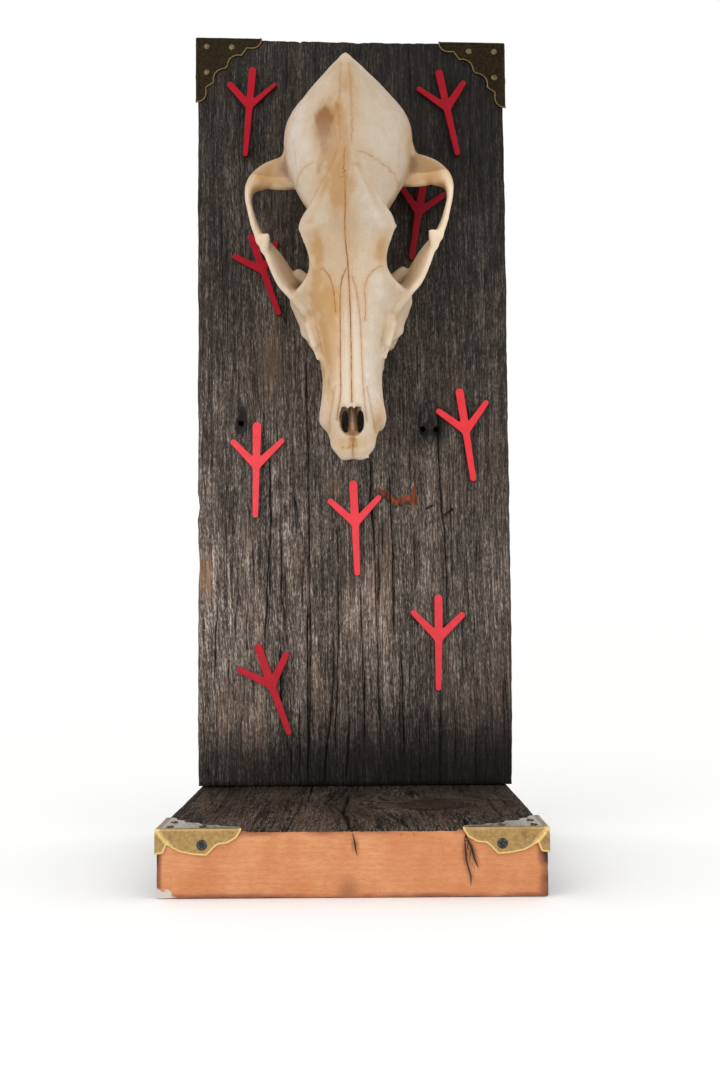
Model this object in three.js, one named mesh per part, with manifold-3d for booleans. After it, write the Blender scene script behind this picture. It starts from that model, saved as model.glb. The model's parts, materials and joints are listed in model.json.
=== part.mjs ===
// Coyote skull on a barn-board wall shelf.
// Millimetres. X to the right, the front faces -Y, Z up. The origin is the middle of the footprint, on the underside of the shelf.
// The skull leans on the board's front. The board stands on the rear of the shelf.
import * as THREE from 'three';
import Module from 'manifold-3d';

const wasm = await Module();
wasm.setup();

// ---------------------------------------------------------------- driving dimensions
const GAP = 0.3;                    // room left between pieces that touch
const SHELF_T = 25.7;               // shelf thickness
const SHELF_X0 = -74.8;             // shelf left side
const SHELF_X1 = 74.2;              // shelf right side
const SHELF_Y0 = -90.1;             // shelf front
const BOARD_W = 152.4;              // board width
const BOARD_Y0 = 66.2;              // board front
const BOARD_Y1 = 91.6;              // board back, flush with the shelf's back
const BOARD_ZL = 395.9;             // top left of the board
const BOARD_ZR = 391.9;             // top right of the board, sawn a little out of square
const SHEET = 0.6;                  // corner plate thickness
const SHEET_GAP = 0.25;             // room between a corner plate and the wood
const TRACK_T = 2.6;                // thickness of the cut-out bird tracks
const SKULL_STEP = 1.75;            // sampling step of the skull
const SKULL_FACES = 2900;           // faces left on the skull

// pose of the skull: its own axes and origin in the part's frame
const TILT = 7.0, ROLL = 2.0, TURN = 0.25;
const SKULL_O = [0.4809, 44.6157, 182.8375];

// ---------------------------------------------------------------- skull shape table
// Each row: + adds, - cuts; k blends over that distance; the shape; 1 = both sides.
// x is across, s runs back from the front of the upper jaw, z is up from the tooth sockets.
const SKULL = [
  ["+",0,{"t":"loft","sub":3,"rings":[[-0.6,[[0,5.0],[1.5,5],[3,4.8],[4.2,4.4],[5,3.8],[5.5,3.1],[5.6,2.3],[5.4,1.5],[5,0.9],[4,0.5],[2.8,0.4],[1.4,0.4],[0,0.4]]],[1.6,[[0,7.3],[1.8,7.5],[3.8,7.3],[5.6,6.7],[7,5.8],[7.8,4.7],[8.1,3.4],[8.0,2.0],[7.5,0.7],[6.4,-0.2],[4.5,-0.5],[2.2,-0.5],[0,-0.3]]],[4.6,[[0,8.8],[2.2,9.1],[4.6,9.0],[6.8,8.4],[8.5,7.3],[9.7,5.9],[10.2,4.2],[10.1,2.4],[9.6,0.8],[8.4,-0.3],[6,-0.6],[3,-0.2],[0,0.3]]],[8.5,[[0,11.6],[2.6,12.2],[5.2,12.1],[7.4,11.1],[9.3,9.2],[10.5,7],[11.0,4.8],[10.9,2.8],[10.4,1.1],[8.6,0.4],[6,0.7],[3,1.2],[0,1.6]]],[12,[[0,16.0],[3,17.0],[5.8,16.3],[8,14.6],[9.8,12],[11.3,9],[12.3,6],[12.3,3.4],[11.6,1.4],[9.3,0.8],[6.4,1.5],[3.2,2.1],[0,2.4]]],[15.5,[[0,21.5],[3.2,21.8],[6,20.6],[8.4,18.2],[10.6,14.8],[13,11],[14.9,7.2],[15.2,4],[14.2,1.4],[11,0.3],[7,1.8],[3.5,2.6],[0,2.9]]],[19,[[0,26.4],[3.2,26.0],[6,24],[8.4,21],[10.8,17.2],[13.4,12.8],[15.3,8.2],[15.5,4.4],[14.4,1.3],[11,0.2],[7,2.0],[3.5,2.9],[0,3.2]]],[23,[[0,27.0],[3.1,26.8],[6,25.2],[8.6,22],[11,18],[13.3,13.4],[14.9,8.8],[15.0,4.6],[13.9,1.2],[10.8,0.3],[7,2.2],[3.5,3.1],[0,3.4]]],[29,[[0,27.8],[3,27.7],[6,26.4],[8.6,23.4],[10.8,19],[12.9,14],[14.3,9.2],[14.4,4.8],[13.4,1.2],[10.6,0.5],[7,2.4],[3.5,3.3],[0,3.6]]],[36,[[0,28.9],[3,28.9],[6,27.6],[8.6,24.6],[10.6,20],[12.4,14.8],[13.8,9.6],[14.1,4.8],[13.2,1.1],[10.6,0.5],[7,2.5],[3.5,3.4],[0,3.7]]],[43,[[0,30.2],[3,30.2],[6,29],[8.7,26],[10.8,21.2],[12.7,15.8],[14.3,10.2],[14.9,4.8],[14,1],[11.4,0.5],[7.5,2.6],[3.7,3.5],[0,3.8]]],[49,[[0,31.6],[3.2,31.7],[6.4,30.7],[9.3,27.8],[11.5,22.8],[13.5,17],[15.3,10.8],[16.2,4.8],[15.4,0.9],[12.6,0.5],[8.2,2.7],[4,3.6],[0,3.9]]],[55,[[0,33.3],[3.6,33.6],[7.2,32.8],[10.4,29.8],[12.8,24.6],[15,18.4],[17.6,11.6],[19.4,5.2],[18.8,1],[15.6,0.5],[10.5,2.8],[5.2,3.8],[0,4.1]]],[60.5,[[0,35.2],[4,35.6],[8.2,35],[11.6,32],[14.4,26.8],[16.8,20.4],[20.2,12.6],[23.7,5.2],[23.4,1],[20,0.5],[13.5,2.8],[6.5,4],[0,4.3]]],[65,[[0,37],[4.5,37.6],[9.2,37],[13,34.2],[16,29],[18.6,22.6],[22,14.6],[24.9,6.4],[24.9,1.3],[21.6,0.6],[14.5,2.9],[7,4.1],[0,4.4]]],[70,[[0,39],[5.2,39.8],[10.6,39.4],[14.8,36.8],[18.2,31.8],[21,25.4],[24.2,17.6],[27.2,9.6],[26.8,2.4],[22.6,0.8],[15,3],[7.5,4.3],[0,4.6]]],[75,[[0,41],[6.2,42.1],[12.2,42],[16.8,39.6],[20.2,35.4],[23.2,29.6],[26.4,22],[29,13.6],[28,4.2],[22.8,1],[15,3.1],[7.5,4.4],[0,4.7]]],[80,[[0,43.2],[7,44.5],[13.4,44.7],[17.3,42.8],[18.4,38.4],[18.8,32],[19.6,25],[22.6,17.4],[24.6,8.4],[22.4,1.4],[14.8,3.2],[7.5,4.5],[0,4.8]]],[85,[[0,45],[7.4,46.4],[14,46.8],[18,44.9],[16.6,40],[14.6,33],[13.6,25.4],[15.2,17.6],[20.4,9.4],[20.6,2],[14.2,3],[7.3,4.5],[0,4.9]]],[89.5,[[0,46.4],[8,48],[15.2,48.5],[19.5,46.6],[16.6,41],[13.8,33.4],[12.6,25.6],[12.6,18],[14.8,10.6],[15,4.4],[11.6,3.2],[6.6,4.4],[0,4.9]]],[93,[[0,47.5],[8.4,49.2],[16.2,49.6],[21,47.2],[17,41.2],[13.6,33.6],[12,25.8],[11.2,18.4],[11,12.8],[9.8,10.4],[7.4,10.2],[4,10.6],[0,10.8]]],[97.5,[[0,49.2],[8.8,51],[16.6,51],[22,47.6],[18.4,42],[13.6,34],[11.6,26],[10.8,18.6],[10.2,13.2],[8.8,11],[6.6,10.6],[3.4,10.8],[0,11]]],[102.5,[[0,51],[8,52.2],[15.4,51],[20.6,47.4],[18.8,42.4],[15,35],[12.8,27],[11.6,19.4],[10.4,13.6],[8.6,11.2],[6,10.6],[3,10.6],[0,10.6]]],[108.5,[[0,52.4],[6.4,52.8],[12.6,51.1],[17.2,47.4],[18.3,42.2],[16.8,34.8],[14.8,26.8],[13.2,19.4],[11.2,14],[8.8,11.2],[6,10.2],[3,10],[0,10]]],[115,[[0,53.1],[6,52.9],[12.6,50.6],[18.2,46.2],[21.2,39.8],[20.8,32],[18.8,24],[17,17.2],[13.4,13],[9.6,10.6],[6,9.6],[3,9.4],[0,9.4]]],[122,[[0,53.6],[5.4,52.8],[12.8,50.2],[19.6,45.2],[23.6,38.4],[24.2,30.4],[22.6,22.4],[20,16.2],[15.6,12.4],[10.6,10],[6,9.2],[3,9],[0,9]]],[130,[[0,53.9],[4.6,52.9],[12.8,50.4],[20.8,45.2],[25.8,37.6],[27.2,29],[26.6,21],[23,15.6],[17.6,11.8],[11.4,9.6],[6,8.9],[3,8.8],[0,8.8]]],[140,[[0,54.1],[3.6,53],[12.4,50.6],[21.6,45],[27.8,36.6],[29.8,28],[29.2,20.4],[26,15.4],[20,11.6],[12.8,9.4],[6.4,8.6],[3,8.5],[0,8.5]]],[149,[[0,54.2],[3,52.9],[11.8,50.3],[21.4,44.4],[28.3,36],[30.6,27.6],[30,20],[26.4,15],[20.4,11.4],[13,9.2],[6.6,8.3],[3,8.2],[0,8.2]]],[157,[[0,54.2],[2.6,52.6],[10.6,49.6],[19.8,43.4],[26.8,35.6],[29.5,27.2],[28,19.8],[24.4,14.8],[18.6,11.2],[12,9],[6.6,8.1],[3,7.9],[0,7.9]]],[164,[[0,54.0],[2.4,52],[9,48.6],[17,42.8],[23.2,35.8],[25.6,28],[24,20.8],[20.6,15.6],[15.6,11.8],[10.4,9.4],[6.4,8.4],[3,8.1],[0,8.1]]],[168.6,[[0,53.6],[2.2,51.3],[7.8,48.2],[14,42.8],[18.8,36.8],[20.6,30.6],[19.8,25],[17,20.8],[13,18],[9.4,16],[6.2,15],[3,14.6],[0,14.6]]],[172.6,[[0,52.8],[2,50.8],[6.2,47.8],[10.8,43.4],[14,38.8],[14.6,34.8],[13.4,31.4],[11,29.2],[8.6,28],[6.2,27.4],[4.2,27],[2,26.8],[0,26.8]]],[176.8,[[0,51.6],[1.6,49.8],[4.2,47.4],[6.8,44.6],[8.2,42],[8,40.2],[7,39.2],[5.8,38.6],[4.6,38.2],[3.4,38],[2.3,37.8],[1.1,37.7],[0,37.7]]],[181.2,[[0,50],[0.7,49.6],[1.4,48.9],[1.9,48],[2.1,47.2],[2,46.5],[1.8,46],[1.5,45.6],[1.2,45.3],[0.9,45.1],[0.6,45],[0.3,45],[0,45]]]]},0],
  ["-",1.2,{"t":"ell","c":[26.5,96.5,31],"r":[9.5,18.5,15.5],"e":[0,0,-22]},1],
  ["-",1.0,{"t":"ell","c":[24.0,96,37.5],"r":[7.0,17,9.5],"e":[0,0,-8]},1],
  ["+",3.0,{"t":"band","n":2.6,"sub":4,"st":[[20.4,70.0,13.0,7.6,2.6,26],[24.8,76.6,14.4,9.0,2.4,30],[29.3,82.0,15.6,9.6,2.2,32],[32.8,88.0,17.0,8.8,2.1,32],[36.5,95.0,18.8,7.2,2.0,30],[41.0,101.5,20.2,6.0,1.9,21],[44.5,108.0,21.6,5.2,1.6,11],[46.5,114.5,22.9,4.8,1.35,5],[47.9,121.0,23.6,4.8,1.4,0],[47.5,126.4,23.3,4.7,2.1,-4],[45.6,130.2,22.0,4.1,3.4,-8],[42.8,133.0,20.4,3.5,4.8,-8],[38.6,135.6,19.0,3.2,6.0,-6],[32.5,136.8,18.2,3.4,7.8,-4],[26,138,17.6,4.0,8.6,0]]},1],
  ["+",2.2,{"t":"cap","a":[19.5,83.4,7.5],"b":[25.0,88.6,10.8],"ra":4.6,"rb":2.6},1],
  ["+",2.0,{"t":"band","n":2,"sub":4,"st":[[29.2,150.5,19.5,1.6,1.6,0],[30.2,145,18.8,1.8,2.0,0],[30.4,139,18.4,2.2,2.4,0]]},1],
  ["+",1.6,{"t":"cap","a":[41.6,101.4,24.0],"b":[38.6,101.9,27.8],"ra":2.8,"rb":1.1},1],
  ["+",1.4,{"t":"cap","a":[40.0,96.6,24.2],"b":[38.9,100.2,26.4],"ra":2.1,"rb":1.5},1],
  ["+",2.4,{"t":"cap","a":[16.0,97.0,47.6],"b":[20.6,97.6,45.4],"ra":3.4,"rb":1.6},1],
  ["+",1.6,{"t":"cap","a":[22.5,141.2,10.6],"b":[32.5,139.4,11.6],"ra":2.4,"rb":2.0},1],
  ["-",1.5,{"t":"ell","c":[29.0,133.0,9.6],"r":[11.0,5.2,4.6],"e":[0,0,0]},1],
  ["+",2.4,{"t":"ell","c":[13.4,138.5,5.2],"r":[9.0,12.4,8.8],"e":[0,0,14]},1],
  ["+",1.0,{"t":"cap","a":[21.5,141.5,11.5],"b":[25.5,143.5,13.0],"ra":3.9,"rb":3.2},1],
  ["-",0.6,{"t":"cap","a":[21,141.2,11.2],"b":[31,146.2,15.4],"ra":1.9,"rb":2.3},1],
  ["+",1.8,{"t":"cap","a":[22.0,152.5,16.0],"b":[20.6,154.2,6.5],"ra":4.8,"rb":2.8},1],
  ["+",1.4,{"t":"cap","a":[17.6,154.5,9.0],"b":[17.2,156.0,1.4],"ra":3.6,"rb":1.9},1],
  ["+",1.4,{"t":"ell","c":[9.0,170.6,12.4],"r":[4.8,6.0,7.6],"e":[18,0,20]},1],
  ["+",1.6,{"t":"cap","a":[5.0,167.5,8.2],"b":[0,166.5,7.2],"ra":2.6,"rb":2.4},1],
  ["+",1.2,{"t":"band","n":2,"sub":4,"st":[[0,171.4,29.0,2.4,2.0,0],[5.5,171.2,28.0,2.6,2.0,0],[10.2,170.8,24.0,3.0,2.2,0],[12.2,170.0,18.0,3.4,2.4,0]]},1],
  ["+",1.2,{"t":"band","n":2.4,"sub":4,"st":[[0,128,51.9,1.2,2.0,0],[0,140,52.3,1.4,2.1,0],[0,155,52.5,1.5,2.2,0],[0,168,52.1,1.7,2.2,0],[0,176,50.9,2.2,2.0,0],[0,180.6,49.2,2.9,1.9,0]]},0],
  ["+",1.4,{"t":"band","n":2,"sub":4,"st":[[0,180.8,48.0,2.6,1.2,0],[4.4,178.2,45.6,2.6,1.1,0],[9.2,174.9,42.0,2.6,1.1,0],[14.4,171.4,37.4,2.6,1.1,0],[19.2,167.8,31.6,2.6,1.2,0],[22.8,163.6,25.0,2.6,1.5,0],[24.0,159.4,18.6,2.6,1.9,0]]},1],
  ["+",2.0,{"t":"band","n":2,"sub":4,"st":[[19.6,100.4,47.2,0.9,1.2,0],[15.0,108.2,49.2,0.9,1.2,0],[9.6,117.0,50.9,0.9,1.2,0],[5.0,124.6,52.2,0.9,1.2,0],[1.4,131.6,52.8,0.9,1.2,0]]},1],
  ["-",1.5,{"t":"ell","c":[8.4,181.5,30.5],"r":[6.8,7.6,9.0],"e":[20,0,24]},1],
  ["+",2.0,{"t":"cap","a":[12.9,18.6,3.6],"b":[11.4,26.0,15.0],"ra":2.7,"rb":1.6},1],
  ["+",1.2,{"t":"cap","a":[12.6,29.6,1.2],"b":[11.799999999999999,29.8,6.5],"ra":1.5,"rb":1.0499999999999998},1],
  ["+",1.2,{"t":"cap","a":[12.8,35,1.2],"b":[12.0,35.2,6.5],"ra":1.6,"rb":1.1199999999999999},1],
  ["+",1.2,{"t":"cap","a":[13.0,39.4,1.2],"b":[12.2,39.6,6.5],"ra":1.6,"rb":1.1199999999999999},1],
  ["+",1.2,{"t":"cap","a":[13.9,44.2,1.2],"b":[13.1,44.400000000000006,6.5],"ra":1.7,"rb":1.19},1],
  ["+",1.2,{"t":"cap","a":[14.8,49.2,1.2],"b":[14.0,49.400000000000006,6.5],"ra":1.7,"rb":1.19},1],
  ["+",1.6,{"t":"cap","a":[16.6,53.8,1.4],"b":[15.4,54,8],"ra":1.5,"rb":1.1},1],
  ["+",1.6,{"t":"cap","a":[22.4,62.6,1.6],"b":[20.0,62.8,9.5],"ra":2.3,"rb":1.6},1],
  ["+",1.6,{"t":"cap","a":[24.6,70.4,1.8],"b":[23.6,70.6,9],"ra":2.2,"rb":1.6},1],
  ["+",1.2,{"t":"band","n":3,"sub":4,"st":[[10.6,88.0,8.0,5.0,1.3,0],[9.4,95,8.2,5.2,1.1,0],[8.6,103,8.2,5.0,0.95,0],[8.2,111,8.0,4.8,0.9,0],[8.0,118,8.2,4.4,0.9,0],[7.8,122,8.6,3.6,0.9,0]]},1],
  ["+",0.8,{"t":"cap","a":[7.9,120.5,5.0],"b":[7.6,124.6,2.8],"ra":1.2,"rb":0.9},1],
  ["-",0.7,{"t":"loft","sub":3,"rings":[[8.2,[[0,17.0],[1,17],[2,16.6],[2.8,15.8],[3.3,14.6],[3.4,13.2],[3.2,12.2],[2.6,11.6],[1.8,11.4],[1,11.3],[0,11.2]]],[10.5,[[0,22.0],[1.6,22],[3.0,21.2],[4.1,19.4],[4.8,16.8],[5.0,14.0],[4.7,11.6],[4,9.8],[3,8.8],[1.6,8.3],[0,8.2]]],[14.5,[[0,28.0],[1.9,27.4],[3.6,25.8],[4.8,22.4],[5.7,18.6],[6.1,14.8],[5.9,11.4],[5.2,8.8],[4,7.4],[2.2,6.8],[0,6.6]]],[18.4,[[0,28.6],[2.0,27.8],[3.9,25.2],[4.9,21.6],[6.0,18.4],[6.6,14.8],[6.5,11.2],[5.8,8.4],[4.4,6.8],[2.4,6.2],[0,6.0]]],[21.5,[[0,25.0],[1.8,24.7],[3.7,23.6],[5.1,21.6],[6.2,18.4],[6.9,14.8],[6.8,11.2],[6.1,8.4],[4.6,6.8],[2.4,6.2],[0,6.0]]],[27,[[0,25.4],[1.8,25.2],[3.8,24.2],[5.4,21.8],[6.6,18.4],[7.4,14.6],[7.4,11],[6.6,8.2],[5,6.6],[2.6,6],[0,5.9]]],[45,[[0,27.8],[2,27.6],[4.2,26.6],[6,24],[7.4,20.2],[8.6,15.6],[9,11],[8,8],[6,6.8],[3,6.4],[0,6.3]]],[62,[[0,32],[2.2,31.8],[4.8,30.6],[7.2,27.6],[9,23],[10.4,17.4],[10.8,12],[9.4,8.6],[6.8,7.4],[3.4,7.0],[0,6.9]]],[78,[[0,31],[2.4,30.6],[5,29],[7.2,26],[8.6,21.6],[9,16.6],[8.8,12],[7.8,9.2],[6,8],[3,7.6],[0,7.5]]],[88,[[0,22],[2,21.6],[4,20.4],[5.8,18],[6.8,15],[7,12],[6.8,9.6],[6,8],[4.6,7.2],[2.4,7],[0,7]]],[95,[[0,15.0],[2,14.8],[3.8,14],[5.4,12.6],[6.4,10.4],[6.6,7.6],[6.4,4],[5.6,1.6],[4,0.2],[2,-0.2],[0,-0.2]]],[99,[[0,13],[2,12.8],[3.8,12.2],[5.2,11],[6.2,9],[6.4,6.4],[6.2,3.4],[5.4,1],[4,0],[2,-0.4],[0,-0.4]]]]},0],
  ["-",0.5,{"t":"ell","c":[3.75,15.9,3.6],"r":[1.75,6.8,9.0]},1],
  ["+",0.6,{"t":"band","n":3,"sub":4,"st":[[0,5.5,8.4,2.0,1.9,0],[0,11,6.4,2.8,2.0,0],[0,17,6.0,3.0,1.9,0],[0,26,6.2,2.6,1.4,0],[0,40,7.2,3,1.1,0]]},0],
  ["-",1.0,{"t":"ell","c":[0,137.5,30.5],"r":[24.4,27.0,19.4]},0],
  ["-",1.0,{"t":"ell","c":[0,113.5,36.0],"r":[12.6,14,11.6]},0],
  ["-",1.0,{"t":"ell","c":[0,160,28],"r":[14.5,8,13]},0],
  ["-",0.8,{"t":"cap","a":[0,158,22.5],"b":[0,178.5,19.2],"ra":6.6,"rb":7.0},0],
  ["-",0.6,{"t":"cap","a":[18.6,52.0,12.6],"b":[19.0,62,14.6],"ra":2.0,"rb":2.4},1],
  ["+",1.0,{"t":"cap","a":[16.9,51.6,16.4],"b":[18.4,60.0,17.4],"ra":1.6,"rb":1.6},1],
  ["-",0.3,{"t":"cap","a":[21.6,79.5,30.6],"b":[18.8,73.5,26.4],"ra":1.1,"rb":0.9},1],
  ["-",0.3,{"t":"cap","a":[1.7,0.39999999999999997,-1.2],"b":[1.632,4.2,3.8],"ra":1.05,"rb":0.8},1],
  ["-",0.3,{"t":"cap","a":[4.6,1.4000000000000001,-1.2],"b":[4.4159999999999995,5.2,3.8],"ra":1.05,"rb":0.8},1],
  ["-",0.3,{"t":"cap","a":[7.6,4.3999999999999995,-1.2],"b":[7.295999999999999,8.2,3.8],"ra":1.05,"rb":0.8},1],
  ["-",0.3,{"t":"cap","a":[10.2,113,14],"b":[13.4,104,20],"ra":1.2,"rb":1.2},1],
  ["-",0.3,{"t":"cap","a":[13.0,118,9],"b":[12.4,119.5,16],"ra":1.2,"rb":1.0},1],
];

// ---------------------------------------------------------------- small vector helpers
const sub3 = (a, b) => [a[0] - b[0], a[1] - b[1], a[2] - b[2]];
const dot3 = (a, b) => a[0] * b[0] + a[1] * b[1] + a[2] * b[2];
const cross3 = (a, b) => [a[1] * b[2] - a[2] * b[1], a[2] * b[0] - a[0] * b[2], a[0] * b[1] - a[1] * b[0]];
const len3 = a => Math.hypot(a[0], a[1], a[2]);
const clamp = (v, a, b) => v < a ? a : v > b ? b : v;
const rad = d => d * Math.PI / 180;

function catmull(P, n) {
  const out = [], m = P.length, k = P[0].length;
  for (let i = 0; i < m - 1; i++) {
    const p1 = P[i], p2 = P[i + 1];
    const p0 = i > 0 ? P[i - 1] : p1.map((v, j) => 2 * v - p2[j]);
    const p3 = i + 2 < m ? P[i + 2] : p2.map((v, j) => 2 * v - p1[j]);
    for (let j = 0; j < n; j++) {
      const t = j / n, q = [];
      for (let c = 0; c < k; c++) q.push(0.5 * (2 * p1[c] + (-p0[c] + p2[c]) * t + (2 * p0[c] - 5 * p1[c] + 4 * p2[c] - p3[c]) * t * t + (-p0[c] + 3 * p1[c] - 3 * p2[c] + p3[c]) * t * t * t));
      out.push(q);
    }
  }
  out.push(P[m - 1].slice());
  return out;
}

// signed distance to a half outline that starts and ends on the midline
function outlineDistance(px, pz, C) {
  let d2 = 1e9, inside = false;
  for (let i = 0; i < C.length - 1; i++) {
    const ax = C[i][0], az = C[i][1], bx = C[i + 1][0], bz = C[i + 1][1];
    const ex = bx - ax, ez = bz - az, L = ex * ex + ez * ez;
    if (L < 1e-12) continue;
    const wx = px - ax, wz = pz - az, t = clamp((wx * ex + wz * ez) / L, 0, 1);
    const dx = wx - t * ex, dz = wz - t * ez, q = dx * dx + dz * dz;
    if (q < d2) d2 = q;
    if ((az <= pz) !== (bz <= pz) && px < ax + (pz - az) * (ex / ez)) inside = !inside;
  }
  const d = Math.sqrt(d2);
  return inside ? -d : d;
}

// ---------------------------------------------------------------- sampled field
class Field {
  constructor(lo, hi, h) {
    this.lo = lo; this.h = h;
    this.n = [0, 1, 2].map(i => Math.ceil((hi[i] - lo[i]) / h) + 1);
    this.v = new Float32Array(this.n[0] * this.n[1] * this.n[2]).fill(30);
  }
  at(i, j, k) { return (i * this.n[1] + j) * this.n[2] + k; }
}

function loftSampler(p, F) {
  const S = p.rings.map(r => r[0]), R = p.rings.map(r => r[1].flat()), m = S.length, w = R[0].length;
  const d = [], sl = [];
  for (let i = 0; i < m - 1; i++) d.push(R[i].map((v, j) => (R[i + 1][j] - v) / (S[i + 1] - S[i])));
  for (let i = 0; i < m; i++) {
    if (i === 0) sl.push(d[0]); else if (i === m - 1) sl.push(d[m - 2]);
    else { const h0 = S[i] - S[i - 1], h1 = S[i + 1] - S[i]; sl.push(d[i - 1].map((v, j) => (v * h1 + d[i][j] * h0) / (h0 + h1))); }
  }
  const section = s => {
    const sc = clamp(s, S[0], S[m - 1]);
    let i = 0; while (i < m - 2 && S[i + 1] <= sc) i++;
    const hh = S[i + 1] - S[i], t = (sc - S[i]) / hh, pts = [];
    for (let j = 0; j < w; j += 2) {
      const q = [0, 1].map(c => (2 * t ** 3 - 3 * t * t + 1) * R[i][j + c] + (t ** 3 - 2 * t * t + t) * sl[i][j + c] * hh + (-2 * t ** 3 + 3 * t * t) * R[i + 1][j + c] + (t ** 3 - t * t) * sl[i + 1][j + c] * hh);
      pts.push(q);
    }
    const C = catmull(pts, p.sub); for (const q of C) q[0] = Math.max(q[0], 0);
    C[0][0] = 0; C[C.length - 1][0] = 0;
    return C;
  };
  return { S, section };
}

function makeEval(p) {
  if (p.t === 'cap') {
    const a = p.a, ba = sub3(p.b, p.a), L = dot3(ba, ba);
    return (x, s, z) => {
      const w = [x - a[0], s - a[1], z - a[2]], t = clamp(dot3(w, ba) / L, 0, 1);
      return Math.hypot(w[0] - t * ba[0], w[1] - t * ba[1], w[2] - t * ba[2]) - (p.ra + (p.rb - p.ra) * t);
    };
  }
  if (p.t === 'ell') {
    const c = p.c, r = p.r;
    let M = null;
    if (p.e) {
      const m = new THREE.Matrix4().makeRotationFromEuler(new THREE.Euler(rad(p.e[0]), rad(p.e[1]), rad(p.e[2]), 'ZYX')).elements;
      M = [[m[0], m[1], m[2]], [m[4], m[5], m[6]], [m[8], m[9], m[10]]];
    }
    return (x, s, z) => {
      let q = [x - c[0], s - c[1], z - c[2]];
      if (M) q = [dot3(M[0], q), dot3(M[1], q), dot3(M[2], q)];
      const k0 = Math.hypot(q[0] / r[0], q[1] / r[1], q[2] / r[2]);
      const k1 = Math.hypot(q[0] / (r[0] * r[0]), q[1] / (r[1] * r[1]), q[2] / (r[2] * r[2]));
      return k0 * (k0 - 1) / Math.max(k1, 1e-6);
    };
  }
  // band: a swept strip with a rounded section
  const st = catmull(p.st, p.sub), n = p.n, seg = [];
  for (let i = 0; i < st.length - 1; i++) {
    const A = st[i], B = st[i + 1], a = A.slice(0, 3), ba = sub3(B.slice(0, 3), a), L = Math.max(dot3(ba, ba), 1e-9);
    const T = ba.map(v => v / Math.sqrt(L));
    let V0 = cross3(T, [0, 0, 1]); const l = Math.max(len3(V0), 1e-6); V0 = V0.map(v => v / l);
    const U0 = cross3(V0, T), al = rad(A[5] + (B[5] - A[5]) * 0.5), c = Math.cos(al), s = Math.sin(al);
    seg.push({ a, ba, L, T, A, B, U: U0.map((v, i2) => v * c + V0[i2] * s), V: V0.map((v, i2) => v * c - U0[i2] * s) });
  }
  return (x, s, z) => {
    let D = 30;
    for (const g of seg) {
      const w = [x - g.a[0], s - g.a[1], z - g.a[2]], t = clamp(dot3(w, g.ba) / g.L, 0, 1);
      const q = [w[0] - t * g.ba[0], w[1] - t * g.ba[1], w[2] - t * g.ba[2]];
      const hh = g.A[3] + (g.B[3] - g.A[3]) * t, ht = g.A[4] + (g.B[4] - g.A[4]) * t;
      const u = Math.abs(dot3(q, g.U)), v = Math.abs(dot3(q, g.V)), ww = Math.abs(dot3(q, g.T));
      const rho = Math.sqrt(u * u + v * v + ww * ww) + 1e-6;
      const k = ((u / hh) ** n + (v / ht) ** n + (ww / ht) ** n) ** (1 / n) + 1e-9;
      const d = Math.max(rho * (1 - 1 / k), -Math.min(hh, ht));
      if (d < D) D = d;
    }
    return D;
  };
}

function shapeBox(p) {
  if (p.t === 'loft') {
    const w = Math.max(...p.rings.flatMap(r => r[1].map(q => q[0]))), zs = p.rings.flatMap(r => r[1].map(q => q[1])), S = p.rings.map(r => r[0]);
    return [[-w, Math.min(...S), Math.min(...zs)], [w, Math.max(...S), Math.max(...zs)]];
  }
  if (p.t === 'cap') { const r = Math.max(p.ra, p.rb); return [p.a.map((v, i) => Math.min(v, p.b[i]) - r), p.a.map((v, i) => Math.max(v, p.b[i]) + r)]; }
  if (p.t === 'ell') { const r = p.e ? [0, 0, 0].map(() => Math.max(...p.r)) : p.r; return [p.c.map((v, i) => v - r[i]), p.c.map((v, i) => v + r[i])]; }
  const r = Math.max(...p.st.map(q => Math.max(q[3], q[4])));
  return [[0, 1, 2].map(i => Math.min(...p.st.map(q => q[i])) - r), [0, 1, 2].map(i => Math.max(...p.st.map(q => q[i])) + r)];
}

function mirrored(p) {
  const q = { ...p };
  if (p.t === 'cap') { q.a = [-p.a[0], p.a[1], p.a[2]]; q.b = [-p.b[0], p.b[1], p.b[2]]; }
  if (p.t === 'ell') { q.c = [-p.c[0], p.c[1], p.c[2]]; if (p.e) q.e = [p.e[0], -p.e[1], -p.e[2]]; }
  if (p.t === 'band') q.st = p.st.map(r => [-r[0], r[1], r[2], r[3], r[4], -r[5]]);
  return q;
}

const smin = (a, b, k) => { if (k <= 0) return Math.min(a, b); const h = Math.max(k - Math.abs(a - b), 0) / k; return Math.min(a, b) - h * h * k * 0.25; };

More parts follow.
